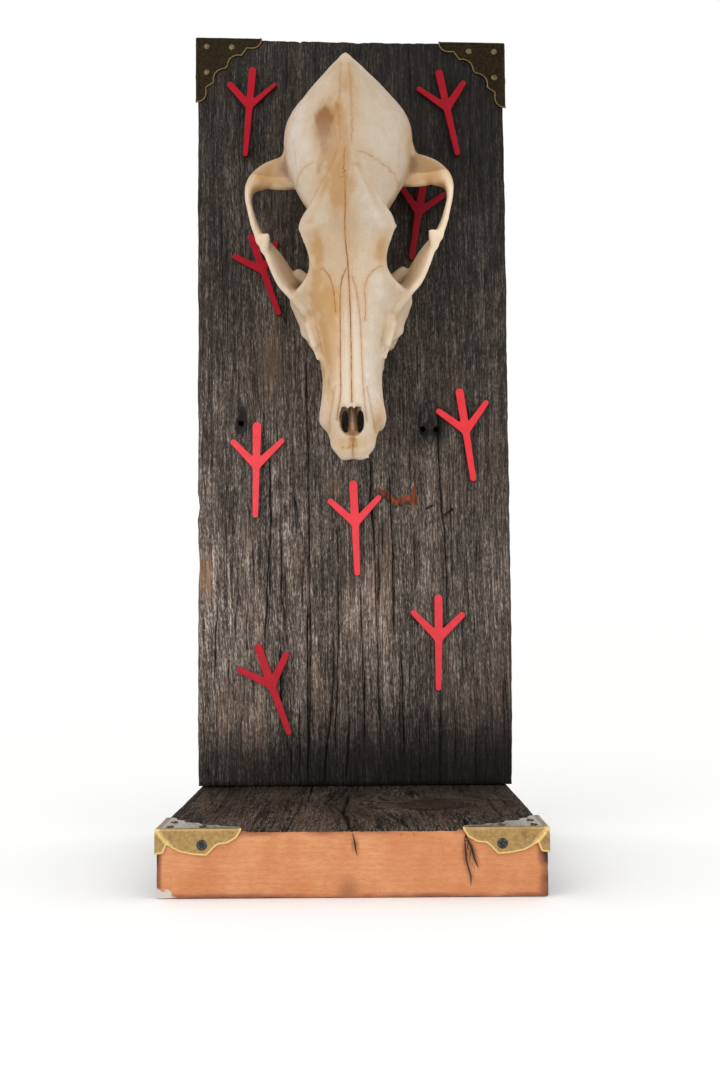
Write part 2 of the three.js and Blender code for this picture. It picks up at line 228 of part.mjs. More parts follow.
function sampleShapes(rows, F) {
  const h = F.h;
  for (const [op, k, p0, both] of rows) {
    for (const p of both ? [p0, mirrored(p0)] : [p0]) {
      const [lo, hi] = shapeBox(p), pad = k + 3;
      const i0 = [0, 1, 2].map(i => clamp(Math.floor((lo[i] - pad - F.lo[i]) / h), 0, F.n[i] - 1));
      const i1 = [0, 1, 2].map(i => clamp(Math.ceil((hi[i] + pad - F.lo[i]) / h) + 1, 1, F.n[i]));
      let get;
      if (p.t === 'loft') {
        const { S, section } = loftSampler(p, F), nx = i1[0] - i0[0], ny = i1[1] - i0[1], nz = i1[2] - i0[2];
        const D = new Float64Array(nx * ny * nz), id = (i, j, l) => (i * ny + j) * nz + l;
        for (let j = 0; j < ny; j++) {
          const C = section(F.lo[1] + (i0[1] + j) * h);
          for (let i = 0; i < nx; i++) for (let l = 0; l < nz; l++) D[id(i, j, l)] = outlineDistance(Math.abs(F.lo[0] + (i0[0] + i) * h), F.lo[2] + (i0[2] + l) * h, C);
        }
        const E = new Float64Array(D.length);
        for (let i = 0; i < nx; i++) for (let j = 0; j < ny; j++) for (let l = 0; l < nz; l++) {
          const a = D[id(i, Math.max(j - 1, 0), l)], b = D[id(i, Math.min(j + 1, ny - 1), l)];
          const g = clamp((b - a) / (h * (j > 0 && j < ny - 1 ? 2 : 1)), -2.5, 2.5), d = D[id(i, j, l)] / Math.sqrt(1 + g * g);
          const s = F.lo[1] + (i0[1] + j) * h, over = Math.max(S[0] - s, s - S[S.length - 1]);
          E[id(i, j, l)] = over > -6 ? Math.min(Math.max(d, over), 0) + Math.hypot(Math.max(d, 0), Math.max(over, 0)) : d;
        }
        get = (i, j, l) => E[id(i - i0[0], j - i0[1], l - i0[2])];
      } else {
        const f = makeEval(p);
        get = (i, j, l) => f(F.lo[0] + i * h, F.lo[1] + j * h, F.lo[2] + l * h);
      }
      for (let i = i0[0]; i < i1[0]; i++) for (let j = i0[1]; j < i1[1]; j++) for (let l = i0[2]; l < i1[2]; l++) {
        const d = get(i, j, l), a = F.at(i, j, l);
        F.v[a] = op === '+' ? smin(F.v[a], d, k) : -smin(-F.v[a], d, k);
      }
    }
  }
}

// closed surface of the field's zero level, by cutting each cell into six tetrahedra
function surface(F) {
  const [nx, ny, nz] = F.n, V = [], T = [], seen = new Map();
  const corner = [[0, 0, 0], [1, 0, 0], [0, 1, 0], [1, 1, 0], [0, 0, 1], [1, 0, 1], [0, 1, 1], [1, 1, 1]];
  const tets = [[0, 1, 3, 7], [0, 1, 7, 5], [0, 5, 7, 4], [0, 3, 2, 7], [0, 2, 6, 7], [0, 6, 4, 7]];
  const pos = a => { const k = a % nz, j = ((a - k) / nz) % ny, i = (a - k - j * nz) / (ny * nz); return [F.lo[0] + i * F.h, F.lo[1] + j * F.h, F.lo[2] + k * F.h]; };
  const N = F.v.length;
  const cut = (a, b) => {
    if (a > b) [a, b] = [b, a];
    const key = a * 8 + 0 + (b - a) / 1e9, id = a * N + b;
    let q = seen.get(id);
    if (q === undefined) {
      const t = clamp(F.v[a] / (F.v[a] - F.v[b]), 0.06, 0.94), pa = pos(a), pb = pos(b);
      q = V.length; V.push([0, 1, 2].map(i => pa[i] + (pb[i] - pa[i]) * t)); seen.set(id, q);
    }
    return q;
  };
  const put = (a, b, c, ref) => {
    const A = V[a], n = cross3(sub3(V[b], A), sub3(V[c], A));
    if (dot3(n, sub3(A, ref)) < 0) T.push([a, c, b]); else T.push([a, b, c]);
  };
  for (let i = 0; i < nx - 1; i++) for (let j = 0; j < ny - 1; j++) for (let k = 0; k < nz - 1; k++) {
    const id = corner.map(c => F.at(i + c[0], j + c[1], k + c[2]));
    let m = 0; for (const a of id) if (F.v[a] < 0) m++;
    if (m === 0 || m === 8) continue;
    for (const t of tets) {
      const inn = [], out = []; for (const c of t) (F.v[id[c]] < 0 ? inn : out).push(id[c]);
      if (inn.length === 1) put(cut(inn[0], out[0]), cut(inn[0], out[1]), cut(inn[0], out[2]), pos(inn[0]));
      else if (inn.length === 3) { const a = cut(inn[0], out[0]), b = cut(inn[1], out[0]), c = cut(inn[2], out[0]), r = [0, 1, 2].map(q => (pos(inn[0])[q] + pos(inn[1])[q] + pos(inn[2])[q]) / 3); put(a, b, c, r); }
      else if (inn.length === 2) {
        const a = cut(inn[0], out[0]), b = cut(inn[0], out[1]), c = cut(inn[1], out[1]), d = cut(inn[1], out[0]);
        const r = [0, 1, 2].map(q => (pos(inn[0])[q] + pos(inn[1])[q]) / 2);
        put(a, b, c, r); put(a, c, d, r);
      }
    }
  }
  return { V, T };
}

function largestPart({ V, T }) {
  const up = V.map((_, i) => i);
  const find = a => { while (up[a] !== a) { up[a] = up[up[a]]; a = up[a]; } return a; };
  for (const t of T) { const a = find(t[0]); up[find(t[1])] = a; up[find(t[2])] = find(a); }
  const count = new Map(); for (const t of T) { const r = find(t[0]); count.set(r, (count.get(r) || 0) + 1); }
  let best = -1, n = 0; for (const [r, c] of count) if (c > n) { n = c; best = r; }
  const keep = T.filter(t => find(t[0]) === best), map = new Map(), V2 = [];
  const T2 = keep.map(t => t.map(a => { if (!map.has(a)) { map.set(a, V2.length); V2.push(V[a]); } return map.get(a); }));
  return { V: V2, T: T2 };
}

// edge collapses in order of quadric error, keeping the surface closed and unfolded
function simplify({ V, T }, target) {
  const n = V.length, Q = Array.from({ length: n }, () => new Float64Array(10)), near = Array.from({ length: n }, () => new Set());
  const alive = new Uint8Array(T.length).fill(1), P = V.map(v => v.slice()), stamp = new Int32Array(n);
  const plane = (a, b, c) => { const m = cross3(sub3(b, a), sub3(c, a)), l = len3(m); return l < 1e-12 ? null : [m[0] / l, m[1] / l, m[2] / l, l / 2]; };
  T.forEach((t, i) => {
    const p = plane(P[t[0]], P[t[1]], P[t[2]]); t.forEach(v => near[v].add(i));
    if (!p) return;
    const d = -dot3(p, P[t[0]]), w = p[3], q = [p[0], p[1], p[2], d];
    for (const v of t) { let o = 0; for (let a = 0; a < 4; a++) for (let b = a; b < 4; b++) Q[v][o++] += w * q[a] * q[b]; }
  });
  const err = (q, p) => q[0] * p[0] * p[0] + 2 * q[1] * p[0] * p[1] + 2 * q[2] * p[0] * p[2] + 2 * q[3] * p[0] + q[4] * p[1] * p[1] + 2 * q[5] * p[1] * p[2] + 2 * q[6] * p[1] + q[7] * p[2] * p[2] + 2 * q[8] * p[2] + q[9];
  const best = (a, b) => {
    const q = new Float64Array(10); for (let i = 0; i < 10; i++) q[i] = Q[a][i] + Q[b][i];
    const m = [[q[0], q[1], q[2]], [q[1], q[4], q[5]], [q[2], q[5], q[7]]], r = [-q[3], -q[6], -q[8]];
    const det = m[0][0] * (m[1][1] * m[2][2] - m[1][2] * m[2][1]) - m[0][1] * (m[1][0] * m[2][2] - m[1][2] * m[2][0]) + m[0][2] * (m[1][0] * m[2][1] - m[1][1] * m[2][0]);
    const tr = q[0] + q[4] + q[7], mid = P[a].map((v, i) => (v + P[b][i]) / 2), L = len3(sub3(P[a], P[b]));
    const cand = [mid, P[a], P[b]];
    if (Math.abs(det) > 1e-5 * tr * tr * tr) {
      const c = (i, j, k, l) => m[i][j] * m[k][l];
      const x = (r[0] * (c(1, 1, 2, 2) - c(1, 2, 2, 1)) - m[0][1] * (r[1] * m[2][2] - m[1][2] * r[2]) + m[0][2] * (r[1] * m[2][1] - m[1][1] * r[2])) / det;
      const y = (m[0][0] * (r[1] * m[2][2] - m[1][2] * r[2]) - r[0] * (m[1][0] * m[2][2] - m[1][2] * m[2][0]) + m[0][2] * (m[1][0] * r[2] - r[1] * m[2][0])) / det;
      const z = (m[0][0] * (m[1][1] * r[2] - r[1] * m[2][1]) - m[0][1] * (m[1][0] * r[2] - r[1] * m[2][0]) + r[0] * (m[1][0] * m[2][1] - m[1][1] * m[2][0])) / det;
      if (len3(sub3([x, y, z], mid)) < 1.5 * L) cand.unshift([x, y, z]);
    }
    let e = 1e30, p = mid; for (const c of cand) { const v = err(q, c); if (v < e) { e = v; p = c; } }
    return { e: Math.max(e, 0) + 1e-5 * L * L, p };
  };
  // binary heap
  const H = [];
  const push = x => { let i = H.length; H.push(x); while (i > 0) { const p = (i - 1) >> 1; if (H[p].e <= H[i].e) break; [H[p], H[i]] = [H[i], H[p]]; i = p; } };
  const pop = () => { const r = H[0], l = H.pop(); if (H.length) { H[0] = l; let i = 0; for (;;) { let c = 2 * i + 1; if (c >= H.length) break; if (c + 1 < H.length && H[c + 1].e < H[c].e) c++; if (H[i].e <= H[c].e) break; [H[c], H[i]] = [H[i], H[c]]; i = c; } } return r; };
  const ring = v => { const s = new Set(); for (const t of near[v]) for (const w of T[t]) if (w !== v) s.add(w); return s; };
  const enqueue = (a, b) => { const o = best(a, b); push({ e: o.e, p: o.p, a, b, sa: stamp[a], sb: stamp[b] }); };
  for (let v = 0; v < n; v++) for (const w of ring(v)) if (w > v) enqueue(v, w);
  let faces = T.length;
  while (faces > target && H.length) {
    const c = pop(), { a, b, p } = c;
    if (stamp[a] !== c.sa || stamp[b] !== c.sb) continue;
    const ra = ring(a), rb = ring(b); if (!ra.has(b)) continue;
    let common = 0; for (const w of ra) if (rb.has(w)) common++;
    if (common !== 2 || ra.size + rb.size < 7) continue;
    let ok = true;
    for (const [v, o] of [[a, b], [b, a]]) {
      for (const t of near[v]) {
        const f = T[t]; if (f.includes(o)) continue;
        const i = f.indexOf(v), u = P[f[(i + 1) % 3]], w = P[f[(i + 2) % 3]];
        const n0 = cross3(sub3(u, P[v]), sub3(w, P[v])), n1 = cross3(sub3(u, p), sub3(w, p)), l0 = len3(n0), l1 = len3(n1);
        const e0 = len3(sub3(u, p)), e1 = len3(sub3(w, p)), e2 = len3(sub3(u, w)), m = Math.max(e0, e1, e2);
        if (l1 < 0.045 * m * m || (l0 > 1e-9 && dot3(n0, n1) < 0.45 * l0 * l1)) { ok = false; break; }
      }
      if (!ok) break;
    }
    if (!ok) continue;
    for (const t of [...near[b]]) {
      if (T[t].includes(a)) { for (const v of T[t]) near[v].delete(t); alive[t] = 0; faces--; }
      else { T[t] = T[t].map(v => v === b ? a : v); near[a].add(t); }
    }
    near[b].clear(); P[a] = p; for (let i = 0; i < 10; i++) Q[a][i] += Q[b][i];
    stamp[b] = -1; stamp[a]++;
    const nb = ring(a); for (const w of nb) enqueue(a, w);
  }
  const map = new Map(), V2 = [], T2 = [];
  T.forEach((t, i) => { if (alive[i]) T2.push(t.map(v => { if (!map.has(v)) { map.set(v, V2.length); V2.push(P[v]); } return map.get(v); })); });
  return { V: V2, T: T2 };
}

// ---------------------------------------------------------------- meshes, solids, joins and cuts
function solid({ V, T }) {
  const vertProperties = new Float32Array(V.flat()), triVerts = new Uint32Array(T.flat());
  const mesh = new wasm.Mesh({ numProp: 3, vertProperties, triVerts });
  mesh.merge();
  return new wasm.Manifold(mesh);
}
function toShape(m) {
  const g = m.getMesh(), V = [], T = [];
  for (let i = 0; i < g.vertProperties.length; i += g.numProp) V.push([g.vertProperties[i], g.vertProperties[i + 1], g.vertProperties[i + 2]]);
  for (let i = 0; i < g.triVerts.length; i += 3) T.push([g.triVerts[i], g.triVerts[i + 1], g.triVerts[i + 2]]);
  return { V, T };
}
function geometry({ V, T }) {
  const g = new THREE.BufferGeometry();
  g.setAttribute('position', new THREE.BufferAttribute(new Float32Array(V.flat()), 3));
  g.setIndex(T.flat());
  g.computeVertexNormals();
  return g;
}
// a stack of closed sections, all with the same number of points, capped at both ends
function stack(levels) {
  const n = levels[0].length, V = levels.flat().map(v => v.slice()), T = [];
  for (let l = 0; l < levels.length - 1; l++) for (let i = 0; i < n; i++) {
    const a = l * n + i, b = l * n + (i + 1) % n, c = a + n, d = b + n;
    T.push([a, b, d], [a, d, c]);
  }
  for (let i = 1; i < n - 1; i++) { T.push([0, i + 1, i]); const o = (levels.length - 1) * n; T.push([o, o + i, o + i + 1]); }
  const s = { V, T };
  return volume(s) < 0 ? { V, T: T.map(t => [t[0], t[2], t[1]]) } : s;
}
function volume({ V, T }) { let v = 0; for (const t of T) v += dot3(V[t[0]], cross3(V[t[1]], V[t[2]])) / 6; return v; }
function mapped(s, f) { const V = s.V.map(f), r = { V, T: s.T }; return volume(r) < 0 ? { V, T: s.T.map(t => [t[0], t[2], t[1]]) } : r; }
// a flat outline made into a plate between two heights
function plate(pts, z0, z1) {
  const flat = pts.map(p => new THREE.Vector2(p[0], p[1]));
  const tri = THREE.ShapeUtils.triangulateShape(flat, []), n = pts.length, V = [], T = [];
  for (const z of [z0, z1]) for (const p of pts) V.push([p[0], p[1], z]);
  for (const t of tri) { T.push([t[0], t[2], t[1]]); T.push([t[0] + n, t[1] + n, t[2] + n]); }
  const ccw = THREE.ShapeUtils.area(flat) > 0;
  for (let i = 0; i < n; i++) { const j = (i + 1) % n; if (ccw) T.push([i, j, j + n], [i, j + n, i + n]); else T.push([i, j + n, j], [i, i + n, j + n]); }
  const s = { V, T };
  return volume(s) < 0 ? { V, T: T.map(t => [t[0], t[2], t[1]]) } : s;
}
// a turned solid: profile of [radius, height] from the axis back to the axis, seg sides
function turned(profile, seg, axis, at) {
  const up = new THREE.Vector3(...axis).normalize(), q = new THREE.Quaternion().setFromUnitVectors(new THREE.Vector3(0, 0, 1), up);
  const V = [], T = [], row = [];
  for (const [r, h] of profile) {
    if (r < 1e-6) { row.push([V.length]); V.push([0, 0, h]); }
    else { const o = []; for (let i = 0; i < seg; i++) { const a = 2 * Math.PI * (i + 0.5) / seg; o.push(V.length); V.push([r * Math.cos(a), r * Math.sin(a), h]); } row.push(o); }
  }
  for (let k = 0; k < row.length - 1; k++) {
    const A = row[k], B = row[k + 1];
    for (let i = 0; i < seg; i++) {
      const j = (i + 1) % seg;
      if (A.length === 1) T.push([A[0], B[j], B[i]]);
      else if (B.length === 1) T.push([A[i], A[j], B[0]]);
      else T.push([A[i], A[j], B[j]], [A[i], B[j], B[i]]);
    }
  }
  return mapped({ V, T }, v => { const p = new THREE.Vector3(...v).applyQuaternion(q); return [p.x + at[0], p.y + at[1], p.z + at[2]]; });
}

// ---------------------------------------------------------------- skull axes in the part's frame
const [EX, ES, EZ] = (() => {
  const ta = rad(TILT), ro = rad(ROLL), tu = rad(TURN);
  const ex = [1, 0, 0], es = [0, Math.sin(ta), Math.cos(ta)], ez = [0, -Math.cos(ta), Math.sin(ta)];
  const mix = (a, b, c, s) => a.map((v, i) => v * c + b[i] * s);
  const c = Math.cos(ro), s = Math.sin(ro), c2 = Math.cos(tu), s2 = Math.sin(tu);
  const turn = v => [c2 * v[0] - s2 * v[2], v[1], s2 * v[0] + c2 * v[2]];
  return [turn(mix(ex, ez, c, s)), turn(es), turn(mix(ez, ex, c, -s))];
})();
const place = a => [0, 1, 2].map(i => SKULL_O[i] + a[0] * EX[i] + a[1] * ES[i] + a[2] * EZ[i]);

// ---------------------------------------------------------------- teeth: sections of [z, x, s, half width, half length, turn]
const TEETH = {
  canine: [[9.5, 11.2, 26.2, 1.6, 2.2, 0], [5, 11.8, 23.4, 2.6, 4.0, 0], [0, 12.4, 20.4, 3.0, 4.5, 0], [-5, 12.7, 18.6, 2.6, 3.6, 0], [-11, 12.5, 18.2, 1.8, 2.5, 0], [-15.5, 12.1, 19.0, 1.1, 1.5, 0], [-18.5, 11.7, 20.2, 0.35, 0.45, 0]],
  premolar_1: [[4.0, 12.1, 30.2, 1.0, 1.4, 0], [0.4, 12.3, 29.8, 1.5, 2.2, 0], [-1.6, 12.3, 29.8, 1.4, 2.0, 0], [-4.0, 12.2, 29.6, 0.4, 0.7, 0]],
  premolar_2: [[4.5, 12.2, 37.0, 1.2, 3.2, 2], [0.4, 12.4, 37.0, 1.8, 4.4, 2], [-1.8, 12.4, 37.0, 1.7, 3.8, 2], [-5.4, 12.3, 36.6, 0.4, 0.9, 2]],
  premolar_3: [[4.5, 13.2, 47.2, 1.3, 3.6, 10], [0.4, 13.4, 47.2, 2.0, 5.0, 10], [-2.0, 13.4, 47.2, 1.8, 4.4, 10], [-6.4, 13.3, 46.8, 0.4, 1.0, 10]],
  premolar_4: [[5.0, 18.9, 61.0, 2.2, 6.4, 20], [0.5, 19.3, 61.0, 3.4, 8.6, 20], [-3.0, 19.4, 61.0, 3.0, 8.0, 20], [-6.2, 19.6, 60.4, 1.9, 5.6, 20], [-9.4, 19.7, 58.2, 0.6, 1.6, 20]],
  molar_1: [[5.0, 19.0, 75.4, 4.6, 3.6, 0], [0.5, 19.2, 75.4, 6.0, 4.9, 0], [-2.6, 19.4, 75.4, 5.8, 4.7, 0], [-5.2, 20.2, 75.2, 4.0, 3.2, 0]],
  molar_2: [[4.2, 17.6, 84.2, 3.2, 2.0, 0], [0.5, 17.8, 84.2, 4.4, 2.8, 0], [-1.8, 17.9, 84.2, 4.2, 2.7, 0], [-3.8, 18.4, 84.2, 2.8, 1.7, 0]],
};
const TOOTH_SIDES = 8;
function tooth(rows, side, grow) {
  const lv = rows.map(([z, x, s, hx, hs, turn], i) => {
    const end = i === 0 ? 1 : i === rows.length - 1 ? -1 : 0, pts = [], a0 = rad(turn);
    for (let k = 0; k < TOOTH_SIDES; k++) {
      const a = 2 * Math.PI * (k + 0.5) / TOOTH_SIDES, u = (hx + grow) * Math.cos(a), v = (hs + grow) * Math.sin(a);
      pts.push(place([side * (x + u * Math.cos(a0) + v * Math.sin(a0)), s + v * Math.cos(a0) - u * Math.sin(a0), z + end * grow]));
    }
    return pts;
  });
  return stack(lv);
}

// ---------------------------------------------------------------- group and materials
const group = new THREE.Group();
const MAT = {
  bone: new THREE.MeshStandardMaterial({ color: 0xd9c3a0, roughness: 0.6, metalness: 0 }),
  enamel: new THREE.MeshStandardMaterial({ color: 0xe6dcc4, roughness: 0.35, metalness: 0 }),
  barnwood: new THREE.MeshStandardMaterial({ color: 0x4a433c, roughness: 0.95, metalness: 0 }),
  shelfwood: new THREE.MeshStandardMaterial({ color: 0x5a4e44, roughness: 0.9, metalness: 0 }),
  brass: new THREE.MeshStandardMaterial({ color: 0x7d6a3c, roughness: 0.45, metalness: 1 }),
  steel: new THREE.MeshStandardMaterial({ color: 0x3c3a38, roughness: 0.5, metalness: 1 }),
  red: new THREE.MeshStandardMaterial({ color: 0xc8262e, roughness: 0.6, metalness: 0 }),
};
function add(name, shape, mat) {
  const m = new THREE.Mesh(geometry(shape), mat);
  m.name = name;
  group.add(m);
}

// ---------------------------------------------------------------- skull
const F = new Field([-54, -5, -9], [54, 186.6, 60.5], SKULL_STEP);
sampleShapes(SKULL, F);
let skull = solid(mapped(simplify(largestPart(surface(F)), SKULL_FACES), place));

const teeth = [];
for (const [name, rows] of Object.entries(TEETH)) for (const [side, word] of [[-1, 'left'], [1, 'right']]) {
  const t = tooth(rows, side, 0);
  teeth.push([`${name}_${word}`, t]);
  skull = skull.subtract(solid(tooth(rows, side, GAP)));
}

// two long screws come through the board into the solid bone of the skull base
const SKULL_SCREWS = [104, 157].map(s => place([0, s, s < 120 ? 17.0 : 13.6]));
const SCREW_R = 1.9;
for (const p of SKULL_SCREWS) skull = skull.subtract(solid(turned([[0, -30], [SCREW_R + GAP, -30], [SCREW_R + GAP, 0.3], [0, 0.7]], 8, [0, -1, 0], p)));
add('skull', toShape(skull), MAT.bone);
for (const [name, t] of teeth) add(name, t, MAT.enamel);

// ---------------------------------------------------------------- board and shelf
const hx = BOARD_W / 2, slope = (BOARD_ZR - BOARD_ZL) / BOARD_W;
let board = solid(stack([
  [[-hx, BOARD_Y0, SHELF_T + GAP], [hx, BOARD_Y0, SHELF_T + GAP], [hx, BOARD_Y1, SHELF_T + GAP], [-hx, BOARD_Y1, SHELF_T + GAP]],
  [[-hx, BOARD_Y0, BOARD_ZL], [hx, BOARD_Y0, BOARD_ZR], [hx, BOARD_Y1, BOARD_ZR], [-hx, BOARD_Y1, BOARD_ZL]],
]));
let shelf = solid(stack([0, SHELF_T].map(z => [[SHELF_X0, SHELF_Y0, z], [SHELF_X1, SHELF_Y0, z], [SHELF_X1, BOARD_Y1, z], [SHELF_X0, BOARD_Y1, z]])));
// each hole runs the fastener's length into the wood, a little wide of it
const bore = (body, at, axis, r, depth, seg = 6) => body.subtract(solid(turned([[0, -depth], [r, -depth], [r, 2], [0, 2]], seg, axis, at)));

// skull screws: heads sunk in the board's back
for (const [i, p] of SKULL_SCREWS.entries()) {
  const tip = p[1], back = BOARD_Y1;
  board = bore(board, [p[0], back, p[2]], [0, 1, 0], SCREW_R + GAP, back - BOARD_Y0 + 3, 8);
  board = bore(board, [p[0], back, p[2]], [0, 1, 0], 4.6, 4.2, 8);
  const L = back - 1.2 - tip;
  add(`skull_screw_${i + 1}`, turned([[0, -L], [SCREW_R * 0.35, -L], [SCREW_R, -L + 5], [SCREW_R, -2.6], [4.1, -0.5], [4.1, 0], [0, 0]], 8, [0, 1, 0], [p[0], back - 1.2, p[2]]), MAT.steel);
}
// shelf screws: from below, up into the board's foot
for (const [i, x] of [-48, 48].entries()) {
  const y = (BOARD_Y0 + BOARD_Y1) / 2, L = 62;
  shelf = bore(shelf, [x, y, 0], [0, 0, -1], SCREW_R + GAP, SHELF_T + 3, 8);
  shelf = bore(shelf, [x, y, 0], [0, 0, -1], 4.6, 4.2, 8);
  board = bore(board, [x, y, SHELF_T + GAP], [0, 0, -1], SCREW_R + GAP, L - SHELF_T + 2, 8);
  add(`shelf_screw_${i + 1}`, turned([[0, -L], [SCREW_R * 0.35, -L], [SCREW_R, -L + 5], [SCREW_R, -2.6], [4.1, -0.5], [4.1, 0], [0, 0]], 8, [0, 0, -1], [x, y, 1.2]), MAT.steel);
}
// three old nail holes in the board's face
for (const [x, z] of [[-54.9, 203.0], [34.4, 199.5], [41.2, 199.4]]) board = bore(board, [x, BOARD_Y0, z], [0, -1, 0], 1.7, 9, 6);

// ---------------------------------------------------------------- corner plates
// face outline from the corner, along edge a and edge b
const FACE = [[0, 0], [32.4, 0], [32.1, 1.9], [30.6, 3.8], [28.7, 4.7], [26.8, 4.8], [24.9, 4.7], [22.2, 8.6], [20.0, 8.4], [18.1, 9.0], [16.5, 10.3], [15.6, 12.2], [15.3, 14.0],
  [14.0, 15.3], [12.2, 15.6], [10.3, 16.5], [9.0, 18.1], [8.4, 20.0], [8.6, 22.2], [4.7, 24.9], [4.8, 26.8], [4.7, 28.7], [3.8, 30.6], [1.9, 32.1], [0, 32.4]];
// flap outline: along the edge, and down from it
const FLAP = [[0, 0], [32.4, 0], [30.5, 3], [27, 5], [23.5, 5.4], [22, 6.6], [19.1, 9.6], [14, 9.2], [8.8, 8.1], [5.3, 6.3], [3.9, 5.4], [2.6, 8.6], [0, 9.0]];
const NAILS = [[4.7, 4.1], [17.2, 4.2], [4.7, 17.2]];
const FLAP_SCREW = [17.3, 5.4];
const NAIL_R = 0.75, FLAP_SCREW_R = 1.1;
const unit = v => { const l = len3(v); return v.map(a => a / l); };

function corner(name, P, a, b, n, body) {
  // P: the wood's corner; a, b: unit vectors along its two face edges; n: the face's outward normal
  const at = (u, v, w) => [0, 1, 2].map(i => P[i] + u * a[i] + v * b[i] + w * n[i]);
  const o = SHEET_GAP, e = SHEET_GAP + SHEET;
  const face = FACE.map(([u, v]) => [u <= 0 ? -e : u, v <= 0 ? -e : v]);
  let m = solid(mapped(plate(face, o, e), v => at(v[0], v[1], v[2])));
  // flap along a lies on the side that faces away from b; flap along b faces away from a
  const flap = FLAP.map(([u, v]) => [u <= 0 ? -e : u, v <= 0 ? -e : v]);
  m = m.add(solid(mapped(plate(flap, o, e), v => at(v[0], -v[2], -v[1]))));
  m = m.add(solid(mapped(plate(flap, o, e), v => at(-v[2], v[0], -v[1]))));
  let k = 0;
  for (const [u, v] of NAILS) {
    m = m.subtract(solid(turned([[0, -3], [NAIL_R + GAP, -3], [NAIL_R + GAP, 3], [0, 3]], 6, n, at(u, v, 0))));
    body = bore(body, at(u, v, 0), n, NAIL_R + GAP, 3.5);
    add(`${name}_nail_${++k}`, turned([[0, -3.9], [NAIL_R, -3.0], [NAIL_R, 0.15], [1.5, 0.15], [1.2, 0.55], [0, 0.7]], 6, n, at(u, v, e)), MAT.brass);
  }
  k = 0;
  for (const [p, ax] of [[at(FLAP_SCREW[0], 0, -FLAP_SCREW[1]), b.map(v => -v)], [at(0, FLAP_SCREW[0], -FLAP_SCREW[1]), a.map(v => -v)]]) {
    m = m.subtract(solid(turned([[0, -3], [FLAP_SCREW_R + GAP, -3], [FLAP_SCREW_R + GAP, 3], [0, 3]], 8, ax, p)));
    body = bore(body, p, ax, FLAP_SCREW_R + GAP, 12.2, 8);
    add(`${name}_screw_${++k}`, turned([[0, -12], [0.3, -12], [FLAP_SCREW_R, -9], [FLAP_SCREW_R, 0.15], [2.05, 0.15], [1.7, 0.5], [0, 0.65]], 8, ax, p.map((v, i) => v + ax[i] * e)), MAT.steel);
  }
  add(name, toShape(m), MAT.brass);
  return body;
}
const edge = unit([1, 0, slope]);
board = corner('corner_top_left', [-hx, BOARD_Y0, BOARD_ZL], edge, [0, 0, -1], [0, -1, 0], board);
board = corner('corner_top_right', [hx, BOARD_Y0, BOARD_ZR], edge.map(v => -v), [0, 0, -1], [0, -1, 0], board);
shelf = corner('corner_shelf_left', [SHELF_X0, SHELF_Y0, SHELF_T], [1, 0, 0], [0, 1, 0], [0, 0, 1], shelf);
shelf = corner('corner_shelf_right', [SHELF_X1, SHELF_Y0, SHELF_T], [-1, 0, 0], [0, 1, 0], [0, 0, 1], shelf);
add('board', toShape(board), MAT.barnwood);
add('shelf', toShape(shelf), MAT.shelfwood);

// ---------------------------------------------------------------- bird tracks
// each: junction, middle toe, left toe, right toe, stem end (x, z), then the half widths at the junction and tip of each stroke
const TRACKS = [
  [[-50.15,360.72],[-48.53,378.73],[-59.68,371.67],[-37.46,371.64],[-52.18,336.64],[1.73,1.84,1.87,1.57,1.68,0.93,1.73,1.29]],
  [[47.75,359.12],[44.09,376.63],[33.97,368.78],[55.93,371.45],[52.68,336.44],[1.7,1.95,1.85,1.22,2.01,1.46,1.72,1.42]],
  [[33.25,306.84],[36.28,324.68],[24.91,319.21],[45.73,315.35],[29.49,284.51],[1.85,1.9,1.9,1.41,1.9,1.31,1.75,1.41]],
  [[-43.54,278.23],[-49.16,294.68],[-57.34,285.19],[-37.45,291.62],[-36.16,257.12],[1.79,1.85,1.98,1.41,1.44,1.38,1.68,1.4]],
  [[-47.22,181.65],[-46.83,200.99],[-58.43,193.25],[-34.59,193.83],[-47.79,157.43],[1.8,2.18,2.0,1.49,2.05,1.32,1.79,1.39]],
  [[55.44,197.99],[52.56,217.0],[42.29,207.71],[65.4,211.76],[58.71,174.65],[1.87,2.02,1.96,1.44,1.98,1.35,1.75,1.47]],
  [[0.92,153.08],[0.1,172.2],[-11.09,163.89],[12.48,165.5],[1.74,128.83],[2.01,1.98,1.96,1.47,1.98,1.34,1.82,1.42]],
  [[41.09,96.78],[41.19,116.18],[28.93,109.34],[52.56,108.0],[40.82,72.77],[1.94,1.97,2.07,1.38,2.03,1.53,1.89,1.37]],
  [[-40.09,74.53],[-46.53,92.92],[-55.59,82.11],[-33.11,89.14],[-31.87,51.79],[2.02,1.94,2.07,1.41,2.01,1.58,1.86,1.41]],
];
function stroke(p, q, r0, r1) {
  const d = unit([q[0] - p[0], q[1] - p[1], 0]), a0 = Math.atan2(d[1], d[0]), pts = [];
  for (const a of [90, 150, 210, 270]) pts.push([p[0] + r0 * Math.cos(a0 + rad(a)), p[1] + r0 * Math.sin(a0 + rad(a))]);
  for (const a of [-90, -40, 0, 40, 90]) pts.push([q[0] + r1 * Math.cos(a0 + rad(a)), q[1] + r1 * Math.sin(a0 + rad(a))]);
  return plate(pts, 0, TRACK_T);
}
for (const [i, t] of TRACKS.entries()) {
  const at = v => [v[0], BOARD_Y0 - GAP - v[2], v[1]], J = t[0];
  let m = null;
  [[t[1], 0], [t[2], 1], [t[3], 2], [t[4], 3]].forEach(([e, k]) => {
    const s = solid(mapped(stroke(J, e, t[5][2 * k], t[5][2 * k + 1]), at));
    m = m ? m.add(s) : s;
  });
  add(`track_${i + 1}`, toShape(m.simplify ? m.simplify(0.05) : m), MAT.red);
}

export default group;
